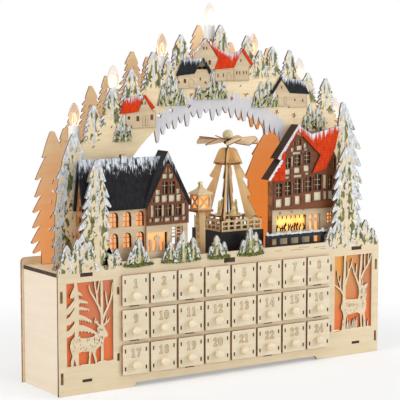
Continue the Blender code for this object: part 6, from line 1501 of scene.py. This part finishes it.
class ADVENT_OT_left_house(bpy.types.Operator):
    """Finish the left house: arched windows, shop window, half-timber gable and snowy roof"""
    bl_idname = "advent.left_house"
    bl_label = "Left house"

    def execute(self, context):
        glow = context.scene.advent_lights.window_glow
        walls = ply_material("house_ply", (0, 1, 0), "x", (0.76, 0.61, 0.40), (0.64, 0.48, 0.29))
        roof = snowy_roof_material("charcoal_roof", (0.024, 0.024, 0.026), (0.012, 0.012, 0.013), 21, 620,
            under_level(251.3), edge=(0.012, 0.012, 0.013), chimney=True)
        for name, finish in (("left_house_walls", walls), ("left_house_roof", roof)):
            finish_node(name, finish)
        lit = glow_material("warm_windows", (1, 0.40, 0.13), (0.85, 0.26, 0.07), glow)
        shop = glow_material("shop_light", (1, 0.42, 0.14), (0.95, 0.30, 0.08), glow)
        brown = timber_material()
        bars = []
        for start, floor in ARCHED:
            width, height = 10.5, 17
            middle = start + width / 2
            bars.append(around(middle, floor + height / 2, 1.3, height))
            for share in (0.30, 0.62):
                bars.append(rectangle(start, floor + height * share, start + width, floor + height * share + 1.2))
        # A dark sheet behind the arched windows shows at the right and top of each opening: burnt reveal edges plus
        # painted shade in the openings.
        reveal_shade = [rectangle(66, 150, 114, 194.5)]
        for start, floor in ARCHED:
            reveal_shade.append([(start - 1.2, floor - 0.4), (start + 8.9, floor - 0.4)] + arc(start + 3.85, floor + 11.3,
                5.05, 0, pi, 10))
        lay("arched_window_reveal_shade", reveal_shade, WING_FRONT + 2.05, 0.12, cut_material(), slot="timber")
        # A dark strip at the right side of the shop window: burnt reveal edge plus painted shade in the opening.
        lay("shop_window_reveal_shade", [rectangle(138.4, 146.2, 141.8, 168.4)], HOUSE_FRONT + 2.2, 0.5, cut_material(),
            slot="timber")
        crossbars = []
        for loop in bars:
            low_u, high_u = min(p[0] for p in loop), max(p[0] for p in loop)
            low_v, high_v = min(p[1] for p in loop), max(p[1] for p in loop)
            offset = 0 if high_u - low_u < 2 else 0.15
            crossbars.append(cut_sheet("bar", [loop], WING_FRONT + 2.15 + offset, 0.6))
        brass = ply_material("window_bars", pale=(0.62, 0.44, 0.26), deep=(0.45, 0.28, 0.14))
        dress(join("arched_window_frames", crossbars), brass, slot="timber")
        lay("arched_window_light", [rectangle(66, 150, 114.5, 194.5)], WING_FRONT + 3.05, 0.4, lit)
        lay("shop_window_light", [rectangle(114.8, 146, 142, 168.5)], HOUSE_FRONT + 3.1, 0.4, shop)
        figures = [[(118.5, 147), (121.5, 147), (122, 151), (121, 153), (122.6, 156), (121.6, 159), (119.4, 160.4),
            (117.6, 159), (117.4, 155), (118.6, 152)], [(125, 147), (131.6, 147), (131.2, 152), (130.4, 156.6),
            (132.8, 160.6), (131.4, 164), (128, 165.2), (125.2, 163.2), (124.4, 159.6), (126.4, 158.4),
            (126.2, 152.4)], [(134.2, 147), (138.2, 147), (137.6, 151.4), (137.9, 155.4), (136.4, 157.4),
            (134.6, 155.8), (134.8, 151.4)]]
        lay("shop_window_figures", figures, HOUSE_FRONT + 1.2, 1.5, walls)
        door = [rectangle(145.4, 140.3, 160.5, 173.3), rectangle(147, 142, 151.6, 160.5),
            rectangle(153.6, 142, 158.4, 160.5)]
        for low in (162.2, 166, 169.6):
            door += [rectangle(147, low, 151.6, low + 2.6), rectangle(153.6, low, 158.4, low + 2.6)]
        lay("left_house_door", door, HOUSE_FRONT + 1.4, 1.2, walls)
        gable = [(113, 176.2), (167, 176.2), (167, 196.1), (141.6, 243.4), (138.4, 243.4), (113, 196.1)]
        loops = [gable, *LEFT_CORNERS] + [grown(*pane, 0.6) for pane in LEFT_CREAM]
        loops += [rectangle(*pane) for pane in LEFT_CASEMENTS]
        lay("left_house_timbering", loops, HOUSE_FRONT - 2.3, 2, brown, slot="timber",
            stands_for=("left_house_timber",))
        cream = cut_sheet("left_house_plaster", [[(u * 0.98 + 2.8, v * 0.98 + 4) for u, v in gable]],
            HOUSE_FRONT - 0.25, 0.2)
        dress(cream, paint_material("cream_plaster", (0.93, 0.83, 0.61), (0.86, 0.75, 0.53)))
        crosses, dark = [], []
        for low_u, low_v, high_u, high_v in LEFT_CASEMENTS:
            dark.append(rectangle(low_u - 0.2, low_v - 0.2, high_u + 0.2, high_v + 0.2))
            middle = (low_u + high_u) / 2
            crosses.append(rectangle(middle - 0.4, low_v - 0.3, middle + 0.4, high_v + 0.3))
            level = low_v + (high_v - low_v) * 0.66
            crosses.append(rectangle(low_u - 0.3, level, high_u + 0.3, level + 0.8))
        cross_pieces = [cut_sheet("cross", [loop], HOUSE_FRONT - 0.9 + 0.1 * (i % 2), 0.4) for i,
            loop in enumerate(crosses)]
        dress(join("left_house_window_bars", cross_pieces), brass, slot="timber")
        # The casements get dark panes: painted shade of the unlit inside.
        lay("left_house_dark_panes", dark, HOUSE_FRONT - 0.4, 0.1, dark_glass(), slot="timber")
        # Dark windows on the house's side wall: painted shade of the unlit inside.
        dress(cut_sheet("side_window_shade", [rectangle(13.2, 172, 16.6, 177), rectangle(13.2, 184, 16.6, 189),
            rectangle(13.2, 196, 16.6, 201)], 35.4, 0.5, facing="side"), cut_material(), slot="timber")
        return operator_done(self)


RIGHT_WINDOWS = ((295, 303.5, 196.5, 212), (307.5, 316.5, 197.5, 213.5), (322, 330.5, 199, 216),
    (337.5, 346.5, 200.5, 218), (351, 361.5, 201.5, 220), (371.5, 378, 202, 218), (308.4, 315.5, 230, 241),
    (321.5, 330, 231.5, 244.5), (335.5, 344.5, 234, 247.5), (379, 382, 226, 238), (319.4, 322.4, 255, 260.5),
    (326, 330.5, 256.5, 263.5))
RIGHT_PANELS = ((295, 303.5, 184.5, 193), (308, 316.5, 185.5, 194.5), (323, 330, 186.5, 195.5),
    (338, 346.5, 188, 197), (351, 361, 189.5, 198.5), (365.4, 369.2, 190, 199), (372.5, 378.5, 190, 199),
    (308.4, 315.5, 222.5, 227.5), (321.5, 329.5, 223.5, 229), (335.5, 343, 225, 231), (308.4, 315, 217.6, 219.2),
    (321, 333, 218.5, 220.3), (338, 343, 220.8, 222.4), (316.6, 320.6, 249, 252.6), (325, 332.5, 250.5, 254.6),
    (335.4, 339.4, 252.5, 257), (319, 331, 245.8, 247.4), (336, 341.4, 249.6, 250.8), (364.6, 368.6, 203, 218.5),
    (317.2, 319.8, 231.5, 242.5), (332, 333.6, 233.5, 245), (318.7, 319.8, 199, 214), (333.2, 334.8, 200.5, 216),
    (348.4, 349.1, 202, 217.5))
def ragged_strip(low, high, width, seed, count=14):
    """A strip of snow along a roof's edge, straight outside and ragged inside."""
    chance = random.Random(seed)
    du, dv = high[0] - low[0], high[1] - low[1]
    length = hypot(du, dv)
    nu, nv = dv / length, -du / length
    inside = []
    for i in range(count + 1):
        f = i / count
        reach = width * chance.uniform(0.6, 1.25)
        inside.append((low[0] + du * f + nu * reach, low[1] + dv * f + nv * reach))
    return [low, high] + inside[::-1]


class ADVENT_OT_right_house(bpy.types.Operator):
    """Finish the right house: half-timber front, windows, tiled roof with snow and the lit shop"""
    bl_idname = "advent.right_house"
    bl_label = "Right house"

    def execute(self, context):
        glow = context.scene.advent_lights.window_glow
        walls = ply_material("right_house_ply", (0, 1, 0), "x", (0.76, 0.61, 0.40), (0.64, 0.48, 0.29))
        roof = snowy_roof_material("red_tiles", (0.84, 0.072, 0.008), (0.56, 0.036, 0.005), 10, 430, under_valley,
            tiles=True)
        for name, finish in (("right_house_walls", walls), ("right_house_roof", roof)):
            finish_node(name, finish)
        outline = [(291, 181.2), (384, 179), (384, 239), (377.5, 250.5), (346.8, 258.8), (325, 269), (307, 247.6),
            (307, 217.2), (291, 216.8)]
        windows = [rectangle(low_u, low_v, high_u, high_v) for low_u, high_u, low_v, high_v in RIGHT_WINDOWS]
        panels = [grown(low_u, low_v, high_u, high_v, 0.6) for low_u, high_u, low_v, high_v in RIGHT_PANELS]
        lay("right_house_timbering", [outline] + windows + panels, RIGHT_FRONT - 2.3, 2, timber_material(),
            slot="timber", stands_for=("right_house_timber",))
        plaster = [(u * 0.985 + 5, v * 0.985 + 3.4) for u, v in outline]
        lay("right_house_plaster", [plaster], RIGHT_FRONT - 0.25, 0.2, paint_material("cream_plaster",
            (0.93, 0.83, 0.61), (0.86, 0.75, 0.53)))
        bar_wood = ply_material("window_bars")
        dark, bars = [], []
        for low_u, high_u, low_v, high_v in RIGHT_WINDOWS:
            dark.append(rectangle(low_u - 0.2, low_v - 0.2, high_u + 0.2, high_v + 0.2))
            middle = (low_u + high_u) / 2
            bars.append(rectangle(middle - 0.4, low_v - 0.3, middle + 0.4, high_v + 0.3))
            rows = 3 if high_v - low_v > 12 else 2
            for row in range(1, rows):
                level = low_v + (high_v - low_v) * row / rows
                bars.append(rectangle(low_u + 0.9, level - 0.35, high_u - 0.9, level + 0.35))
        # The windows get dark panes: painted shade of the unlit inside.
        lay("right_house_dark_panes", dark, RIGHT_FRONT - 0.4, 0.1, dark_glass(), slot="timber")
        bar_pieces = [cut_sheet("bar", [loop], RIGHT_FRONT - 0.95 + 0.06 * (i % 3), 0.4) for i,
            loop in enumerate(bars)]
        dress(join("right_house_window_bars", bar_pieces), bar_wood, slot="timber")
        strips = [ragged_strip((295, 242), (324.4, 279.4), 3.2, 2), ragged_strip((281.8, 217.6), (300.4, 240.6), 3.4,
            3)]
        lay("right_house_barge_snow", strips, RIGHT_FRONT - 5.1, 0.55, snow_material(), slot="red_roof")
        shop = glow_material("shop_yellow", (1, 0.62, 0.16), (1, 0.42, 0.08), glow, 60)
        lay("right_shop_light", [rectangle(295.5, 154, 341.5, 174)], RIGHT_FRONT + 3.1, 0.4, shop)
        lay("right_door_light", [rectangle(344.5, 137, 362.5, 174), rectangle(370, 159.5, 381, 175.5)],
            RIGHT_FRONT + 3.1, 0.4, glow_material("door_light", (1, 0.52, 0.20), (0.9, 0.36, 0.10), glow))
        chance = random.Random(9)
        twigs = []
        for i in range(10):
            u, tall = 298.5 + 4.3 * i, chance.uniform(6, 12)
            lean = chance.uniform(-2, 2)
            stem = [(u, 153.5), (u + lean, 154 + tall * 0.5), (u - lean * 0.4, 154 + tall)]
            twigs.append(branch(stem, (2.2, 1.7, 1)))
            twigs.append(branch([stem[1], (stem[1][0] + 2.4, stem[1][1] + 2.6), (stem[1][0] + 1.8, stem[1][1] + 5)],
                (1.5, 1.3, 0.8)))
        for i in range(7):
            u = 299 + 6.4 * i
            twigs.append(branch([(u, 174.5), (u + 1.2, 171.5), (u + 0.4, 169)], (1.8, 1.3, 0.8)))
        pieces = [cut_sheet("twig", [loop], RIGHT_FRONT + 1 + 0.05 * (i % 7), 0.5) for i, loop in enumerate(twigs)]
        dress(join("right_shop_figures", pieces), cut_material(), slot="timber")
        trees = [[(u - 1.5, v), (u, v + 2.6), (u + 1.5, v), (u + 0.3, v + 0.7), (u - 0.5, v - 0.7)] for u,
            v in ((302, 176), (319, 177), (336, 178.5))]
        dress(line_work("right_house_engraving", trees, RIGHT_FRONT - 0.32, 0.4), engraving_material())
        door = [rectangle(345, 138.3, 361.9, 173.1), rectangle(346.6, 139.6, 350.4, 150.8),
            rectangle(354, 139.6, 358.8, 150.8), rectangle(346.6, 153, 350.6, 164.2),
            rectangle(354, 153, 358.8, 164.2), rectangle(346.6, 167.6, 350.6, 172.2),
            rectangle(354, 167.6, 358.8, 172.2)]
        lay("right_house_door", door, RIGHT_FRONT + 1.4, 1.2, walls)
        small = []
        for u in (372.6, 377):
            for v in (161, 165.4, 169.8):
                small.append(rectangle(u, v, u + 2.9, v + 3.1))
        grid = cut_sheet("right_small_window", [rectangle(370.6, 159.9, 380.4, 174.4)] + small, RIGHT_FRONT + 0.9,
            0.8)
        dress(grid, bar_wood, slot="timber")
        return operator_done(self)


class ADVENT_OT_garden_fence(bpy.types.Operator):
    """Finish the garden fence and lay snow on its rails and posts"""
    bl_idname = "advent.garden_fence"
    bl_label = "Garden fence"

    def execute(self, context):
        posts = (277.6, 293.5, 309.4, 325.5, 341.9, 358.5, 374.6)
        rails = cut_sheet("rails", [rectangle(276, 148.4, 377, 152.8), rectangle(276, 136.6, 377, 141.2)], 5.8, 2)
        stakes = [[(u - 1.9, STAND + 0.1), (u + 1.9, STAND + 0.1), (u + 1.9, 153.2), (u, 154), (u - 1.9, 153.2)]
            for u in posts]
        dress(join("fence_rails_and_posts", [rails, cut_sheet("stakes", stakes, 5.6, 2.4)]),
            paint_material("fence_black", (0.028, 0.030, 0.034), (0.013, 0.014, 0.016), 0.6, 300), slot="charcoal",
            stands_for=("garden_fence",))
        chance = random.Random(12)
        top = [(276 + 101 * i / 90, 153.9 + (chance.uniform(0.6, 1.7) if i % 3 == 1 else chance.uniform(-0.3, 0.2)))
            for i in range(91)]
        low = [(377 - 101 * i / 60, 152.7 + chance.uniform(-0.8, 0.4)) for i in range(61)]
        caps = [cut_sheet("cap", [top + low], 5.4, 2.6)]
        for u in posts:
            caps.append(cut_sheet("cap", [[(u - 1.6, 152.9), (u + 1.6, 153.1), (u + 1.3, 154.8), (u + 0.3, 157.2),
                (u - 0.6, 155.4), (u - 1.9, 155.6)]], 5.2, 3))
        dress(join("fence_snow", caps), snow_material(), slot="charcoal")
        return operator_done(self)


FRAME_SHARES = ((0.88, 0), (0.88, 0.15), (0.99, 0.19), (0.66, 0.40), (0.82, 0.425), (0.50, 0.62), (0.64, 0.645),
    (0.40, 0.79), (0.51, 0.805), (0.44, 0.86), (0.36, 0.93), (0.29, 0.98), (0.20, 1))
BLADE = ((4.25, -3.04), (18, -6.84), (33.4, -9.4), (34.8, -9), (36, -4.75), (36, 4.75), (34.8, 9), (33.4, 9.4),
    (18, 6.84), (4.25, 3.04))


class ADVENT_OT_pyramid(bpy.types.Operator):
    """Build the pyramid: plinth, lattice, crossed frames, spindle with its figures and vane wheel"""
    bl_idname = "advent.pyramid"
    bl_label = "Pyramid"

    def execute(self, context):
        x, y, foot = PYRAMID_X, PYRAMID_Y, 160.6
        finish_node("pyramid_plinth", paint_material("plinth_black", (0.022, 0.018, 0.015), (0.010, 0.009, 0.008),
            0.6))
        tan = {"pale": (0.92, 0.63, 0.31), "deep": (0.80, 0.53, 0.24), "edge": (0.050, 0.022, 0.010)}
        outer = [(34 * u, 94 * v) for u, v in FRAME_SHARES]
        inner = [(34 * 0.20, 94 * 0.79), (34 * 0.72, 0)]
        loop = outer + [(-u, v) for u, v in outer[::-1]] + [(-u, v) for u, v in inner[::-1]] + inner
        for number, turn in enumerate((pi / 4, -pi / 4)):
            sheet = turned_sheet(f"pyramid_frame_{number + 1}", [loop], (x, y, foot), (0, 0, turn), PLY)
            axis = (0.7071, -0.7071 if turn > 0 else 0.7071, 0)
            dress(sheet, ply_material(f"pyramid_ply_{number + 1}", axis, "z", **tan),
                stands_for=("pyramid_frame",) if number == 0 else ())
        collar = lathe("pyramid_collar", [(14.4, 74.6), (15.2, 75.2), (15.2, 77.6), (14.4, 78.2)], (x, y, foot), 32)
        dress(smooth(collar, 40), ply_material("collar_ply", (0, 0, 1), "x", (0.90, 0.63, 0.33), (0.62, 0.40, 0.18),
            (0.16, 0.065, 0.022)))
        steel, tree, shader = Finishes.start("spindle_steel", 0.4)
        place = object_place(tree)
        streaks = noise(tree, stretched(tree, place, (1, 1, 0.1)), 900, 2)
        tree.links.new(blend_colour(tree, streaks, (0.16, 0.15, 0.145), (0.27, 0.26, 0.25)),
            shader.inputs["Base Color"])
        shader.inputs["Metallic"].default_value = 0.6
        rod = lathe("spindle_rod", [(0.5, -5.5), (1.3, -4.8), (1.3, 102.3), (0.9, 102.7)], (x, y, 160.3), 16)
        dress(smooth(rod, 50), steel, "pyramid_wheel", "spindle", ("pyramid_spindle",))
        table = lathe("turntable", [(17.1, 14.5), (17.5, 14.9), (17.5, 16.1), (17.1, 16.5)], (x, y, 160.3), 36)
        dress(smooth(table, 40), ply_material("turntable_ply", (0, 0, 1), "x", **tan), "pyramid_wheel")
        figures = []
        for i in range(4):
            turn = pi / 2 * i
            place = (x + 11.5 * cos(turn), y + 11.5 * sin(turn), 176.7)
            figures.append(turned_sheet("figure", [fir_outline(0, 17, 16.6, 4.4, 4, 0.8, 300 + i)], place,
                (0, 0, turn + pi / 2), 1.6))
        dress(join("turntable_figures", figures), ply_material("figure_ply", (0, 0, 1), "z", (0.78, 0.60, 0.36),
            (0.64, 0.45, 0.23), (0.62, 0.42, 0.21)), "pyramid_wheel")
        zero = 258.8
        blades = [turned_sheet("blade", [BLADE], (x, y, zero + 4.1), (radians(-66), 0, 2 * pi * (i + 0.5) / 8), 1.2)
            for i in range(8)]
        wheel, tree, shader = Finishes.start("blade_ply", 0.6)
        grain = use_group(tree, ply_grain_group, Stretch=(60, 60, 60), Pale=(0.82, 0.64, 0.40),
            Deep=(0.74, 0.54, 0.31))
        burnt = add_node(tree, "ShaderNodeAttribute", attribute_name="burnt").outputs["Fac"]
        tree.links.new(blend_colour(tree, burnt, grain["Colour"], (0.27, 0.105, 0.030)), shader.inputs["Base Color"])
        raise_surface(tree, shader, grain["Height"], 0.2, 0.1)
        vanes = join("vane_wheel", blades)
        burns = vanes.data.attributes.new("burnt", "FLOAT", "FACE")
        for face in vanes.data.polygons:
            burns.data[face.index].value = 0 if abs(face.normal.z) > 0.8 else 1
        dress(vanes, wheel, "pyramid_wheel", "wood", ("pyramid_rotor",))
        hub = lathe("wheel_hub", [(3.4, -0.2), (3.9, 0.2), (8, 4.6), (8.5, 5.3), (7.6, 6), (3, 6.4)], (x, y, zero),
            28)
        dress(smooth(hub, 40), cut_material(), "pyramid_wheel")
        ball = [(6.25 * cos(a), 10.5 + 6.25 * sin(a)) for a in [radians(d) for d in (-50, -35, -20, -5, 10, 25, 40,
            53, 65, 76, 85)]]
        ball = lathe("wheel_ball", ball, (x, y, zero), 28)
        dress(smooth(ball, 60), ply_material("ball_beech", (0, 0, 0), "z", edge=(0.62, 0.50, 0.28)), "pyramid_wheel",
            "wood")
        lattice = []
        merlons = [(-27.75, 0), (27.75, 0), (27.75, 14.5)]
        for i in range(9):
            u = 27.75 - 55.5 * i / 9
            step = 14.5 if i % 2 else 12.6
            merlons += [(u, step), (u - 55.5 / 9, step)]
        holes = [around(-22.5 + 9 * i, v, 6.4, 3.6) for i in range(6) for v in (3.9, 9)]
        for i in range(4):
            turn = pi / 2 * i
            place = (x + 27.75 * sin(turn), y - 27.75 * cos(turn), foot)
            loops = [merlons] + holes
            if i % 2:
                loops = [[(u * 0.96, v) for u, v in loop] for loop in loops]
            lattice.append(turned_sheet("lattice", loops, place, (0, 0, turn), 2 - 0.05 * (i % 2)))
        dress(join("pyramid_lattice", lattice[::2]), ply_material("lattice_ply", (0, 1, 0), "x", (0.72, 0.53, 0.30),
            (0.60, 0.42, 0.22)), stands_for=("pyramid_fence",))
        dress(join("pyramid_side_lattice", lattice[1::2]), ply_material("side_lattice_ply", (1, 0, 0), "y",
            (0.72, 0.53, 0.30), (0.60, 0.42, 0.22)))
        return operator_done(self)


class ADVENT_OT_street_lamp(bpy.types.Operator):
    """Build the street lamp: post, shelf, lattice head with its light, stepped cap and finial"""
    bl_idname = "advent.street_lamp"
    bl_label = "Street lamp"

    def execute(self, context):
        x, y = LAMP_X, LAMP_Y
        wood = {"pale": (0.80, 0.58, 0.33), "deep": (0.68, 0.46, 0.23), "edge": (0.62, 0.40, 0.20)}
        post = block("lamp_post", (x - 4, y - 4, STAND + 0.1), (x + 4, y + 4, 185.4), 0.3)
        dress(post, ply_material("lamp_post_ply", (0, 1, 0), "z", **wood), stands_for=("street_lamp",))
        shelf = block("lamp_shelf", (x - 10.5, y - 10.5, 185.2), (x + 10.5, y + 10.5, 188.2), 0.2)
        dress(shelf, ply_material("lamp_shelf_ply", (0, 0, 1), "x", (0.80, 0.58, 0.33), (0.68, 0.46, 0.23),
            (0.20, 0.085, 0.028)))
        half, low, high = 8.75, 188, 205.5
        panes = []
        for sign in (-1, 1):
            panes += [[(sign * 6.9, 2.6), (sign * 6.9, 14.9), (sign * 1.2, 8.75)]]
            middle = 8.75 + sign * 1.2
            outer = 8.75 + sign * 6.9
            panes += [[(-5.6, outer), (5.6, outer), (0, middle)]]
        sides = []
        for i in range(4):
            turn = pi / 2 * i
            wide = half if i % 2 == 0 else half - 1.55
            square = [(-wide, 0), (wide, 0), (wide, 17.5), (-wide, 17.5)]
            place = (x + (half - 0.8) * sin(turn), y - (half - 0.8) * cos(turn), low)
            sides.append(turned_sheet("side", [square] + panes, place, (0, 0, turn), 1.5))
        dress(join("lamp_lattice", sides[::2]), ply_material("lamp_lattice_ply", (0, 1, 0), "x", (0.80, 0.58, 0.33),
            (0.68, 0.46, 0.23), (0.22, 0.09, 0.03)))
        dress(join("lamp_side_lattice", sides[1::2]), ply_material("lamp_side_ply", (1, 0, 0), "y",
            (0.80, 0.58, 0.33), (0.68, 0.46, 0.23), (0.22, 0.09, 0.03)))
        light = block("lamp_light", (x - 6.2, y - 6.2, low + 0.5), (x + 6.2, y + 6.2, high - 0.5), 0.3)
        dress(light, glow_material("lamp_orange", (1, 0.50, 0.17), (1, 0.34, 0.085),
            context.scene.advent_lights.window_glow, 90))
        cap = lathe("lamp_cap", [(14.6, 0), (14.8, 0.4), (12.4, 2.3), (8, 4.4), (4.6, 6.5), (2.9, 8.6), (2.4, 10.2),
            (3, 11.4), (2.9, 12.8), (1.5, 14.2)], (0, 0, 0), 4)
        cap.location = [-c for c in spot(0, 0, 0)]
        apply_place(cap)
        cap.rotation_euler = (0, 0, pi / 4)
        cap.location = spot(x, y, high - 0.1)
        apply_place(cap)
        dress(cap, ply_material("lamp_cap_ply", (0, 0, 1), "x", (0.84, 0.66, 0.42), (0.74, 0.54, 0.31),
            (0.66, 0.45, 0.22)))
        return operator_done(self)


class ADVENT_OT_stage(bpy.types.Operator):
    """Lay the pale floor, set the soft lamps and the camera at the photograph's angle"""
    bl_idname = "advent.stage"
    bl_label = "Stage"

    def execute(self, context):
        scene = context.scene
        bpy.ops.object.select_all(action="DESELECT")
        bpy.ops.mesh.primitive_plane_add(size=14, location=(0, 0, -0.0002))
        floor = context.view_layer.objects.active
        floor.name = "floor"
        material = bpy.data.materials.new("pale_floor")
        material.use_nodes = True
        tree = material.node_tree
        shader = tree.nodes["Principled BSDF"]
        place = object_place(tree)
        grain = noise(tree, place, 3, 2)
        tree.links.new(blend_colour(tree, grain, (0.95, 0.95, 0.95), (0.98, 0.98, 0.98)), shader.inputs["Base Color"])
        shader.inputs["Roughness"].default_value = 0.9
        shader.inputs["Specular IOR Level"].default_value = 0.1
        away = add_node(tree, "ShaderNodeVectorMath", operation="LENGTH")
        tree.links.new(place, away.inputs[0])
        path = add_node(tree, "ShaderNodeLightPath")
        seen = calculate(tree, "ADD", path.outputs["Is Camera Ray"], path.outputs["Is Glossy Ray"], clamp=True)
        seen = calculate(tree, "ADD", seen, path.outputs["Is Transmission Ray"], clamp=True)
        share = times(tree, seen, spread(tree, away.outputs["Value"], 0.26, 0.55, 0.35, 1))
        white = add_node(tree, "ShaderNodeEmission", {"Color": (1, 1, 1), "Strength": 1})
        both = add_node(tree, "ShaderNodeMixShader")
        tree.links.new(share, both.inputs[0])
        tree.links.new(shader.outputs[0], both.inputs[1])
        tree.links.new(white.outputs[0], both.inputs[2])
        tree.links.new(both.outputs[0], tree.nodes["Material Output"].inputs[0])
        floor.data.materials.append(material)
        world = bpy.data.worlds.new("studio")
        scene.world = world
        world.use_nodes = True
        tree = world.node_tree
        background = tree.nodes["Background"]
        path = add_node(tree, "ShaderNodeLightPath")
        seen = calculate(tree, "ADD", path.outputs["Is Camera Ray"], path.outputs["Is Glossy Ray"], clamp=True)
        seen = calculate(tree, "ADD", seen, path.outputs["Is Transmission Ray"], clamp=True)
        tree.links.new(blend_colour(tree, seen, (0.93, 0.96, 1), (1, 1, 1)), background.inputs[0])
        tree.links.new(spread(tree, seen, 0, 1, 0.42, 1), background.inputs[1])
        for name, place, turn, size, power in (("key", (-1.9, -0.30, 0.9), (radians(70), 0, radians(-81)), 0.6, 17.5),
                ("fill", (0.95, -1.15, 0.55), (radians(76), 0, radians(39.5)), 0.7, 7.8),
                ("top", (0.1, -0.3, 1.9), (radians(8), 0, 0), 1.2, 9), ("rear", (0.5, 1.6, 0.9),
                (radians(-62), 0, radians(-18)), 1.3, 6)):
            lamp = bpy.data.lights.new(name, "AREA")
            lamp.energy = power
            lamp.size = size
            stand = bpy.data.objects.new(name, lamp)
            stand.location = place
            stand.rotation_euler = turn
            scene.collection.objects.link(stand)
        view = bpy.data.cameras.new("camera")
        view.lens = 134.37
        view.sensor_width = 36
        camera = bpy.data.objects.new("camera", view)
        camera.location = (-0.95158, -1.42223, 0.38022)
        camera.rotation_euler = (radians(83.833), radians(0), radians(-33.352))
        scene.collection.objects.link(camera)
        scene.camera = camera
        scene.view_settings.view_transform = "Standard"
        return operator_done(self)


OPERATORS = (ADVENT_OT_base, ADVENT_OT_front, ADVENT_OT_drawers, ADVENT_OT_front_firs, ADVENT_OT_arch,
    ADVENT_OT_hamlet, ADVENT_OT_forest, ADVENT_OT_candles, ADVENT_OT_left_house, ADVENT_OT_right_house,
    ADVENT_OT_garden_fence, ADVENT_OT_pyramid, ADVENT_OT_street_lamp, ADVENT_OT_stage)


class ADVENT_PT_panel(bpy.types.Panel):
    """Settings and operators of the advent calendar"""
    bl_idname = "ADVENT_PT_panel"
    bl_label = "Advent calendar"
    bl_space_type = "VIEW_3D"
    bl_region_type = "UI"
    bl_category = "Advent"

    def draw(self, context):
        layout = self.layout
        for settings in (context.scene.advent_wood, context.scene.advent_sizes, context.scene.advent_lights):
            column = layout.column(align=True)
            for name in settings.__annotations__:
                column.prop(settings, name)
        column = layout.column(align=True)
        for operator in OPERATORS:
            column.operator(operator.bl_idname)


CLASSES = (AdventWood, AdventSizes, AdventLights, *OPERATORS, ADVENT_PT_panel)


def register():
    for item in CLASSES:
        bpy.utils.register_class(item)
    bpy.types.Scene.advent_wood = PointerProperty(type=AdventWood)
    bpy.types.Scene.advent_sizes = PointerProperty(type=AdventSizes)
    bpy.types.Scene.advent_lights = PointerProperty(type=AdventLights)


def unregister():
    del bpy.types.Scene.advent_wood
    del bpy.types.Scene.advent_sizes
    del bpy.types.Scene.advent_lights
    for item in reversed(CLASSES):
        bpy.utils.unregister_class(item)


def main():
    register()
    for operator in OPERATORS:
        getattr(bpy.ops.advent, operator.bl_idname.split(".")[1])()


if __name__ == "__main__":
    main()
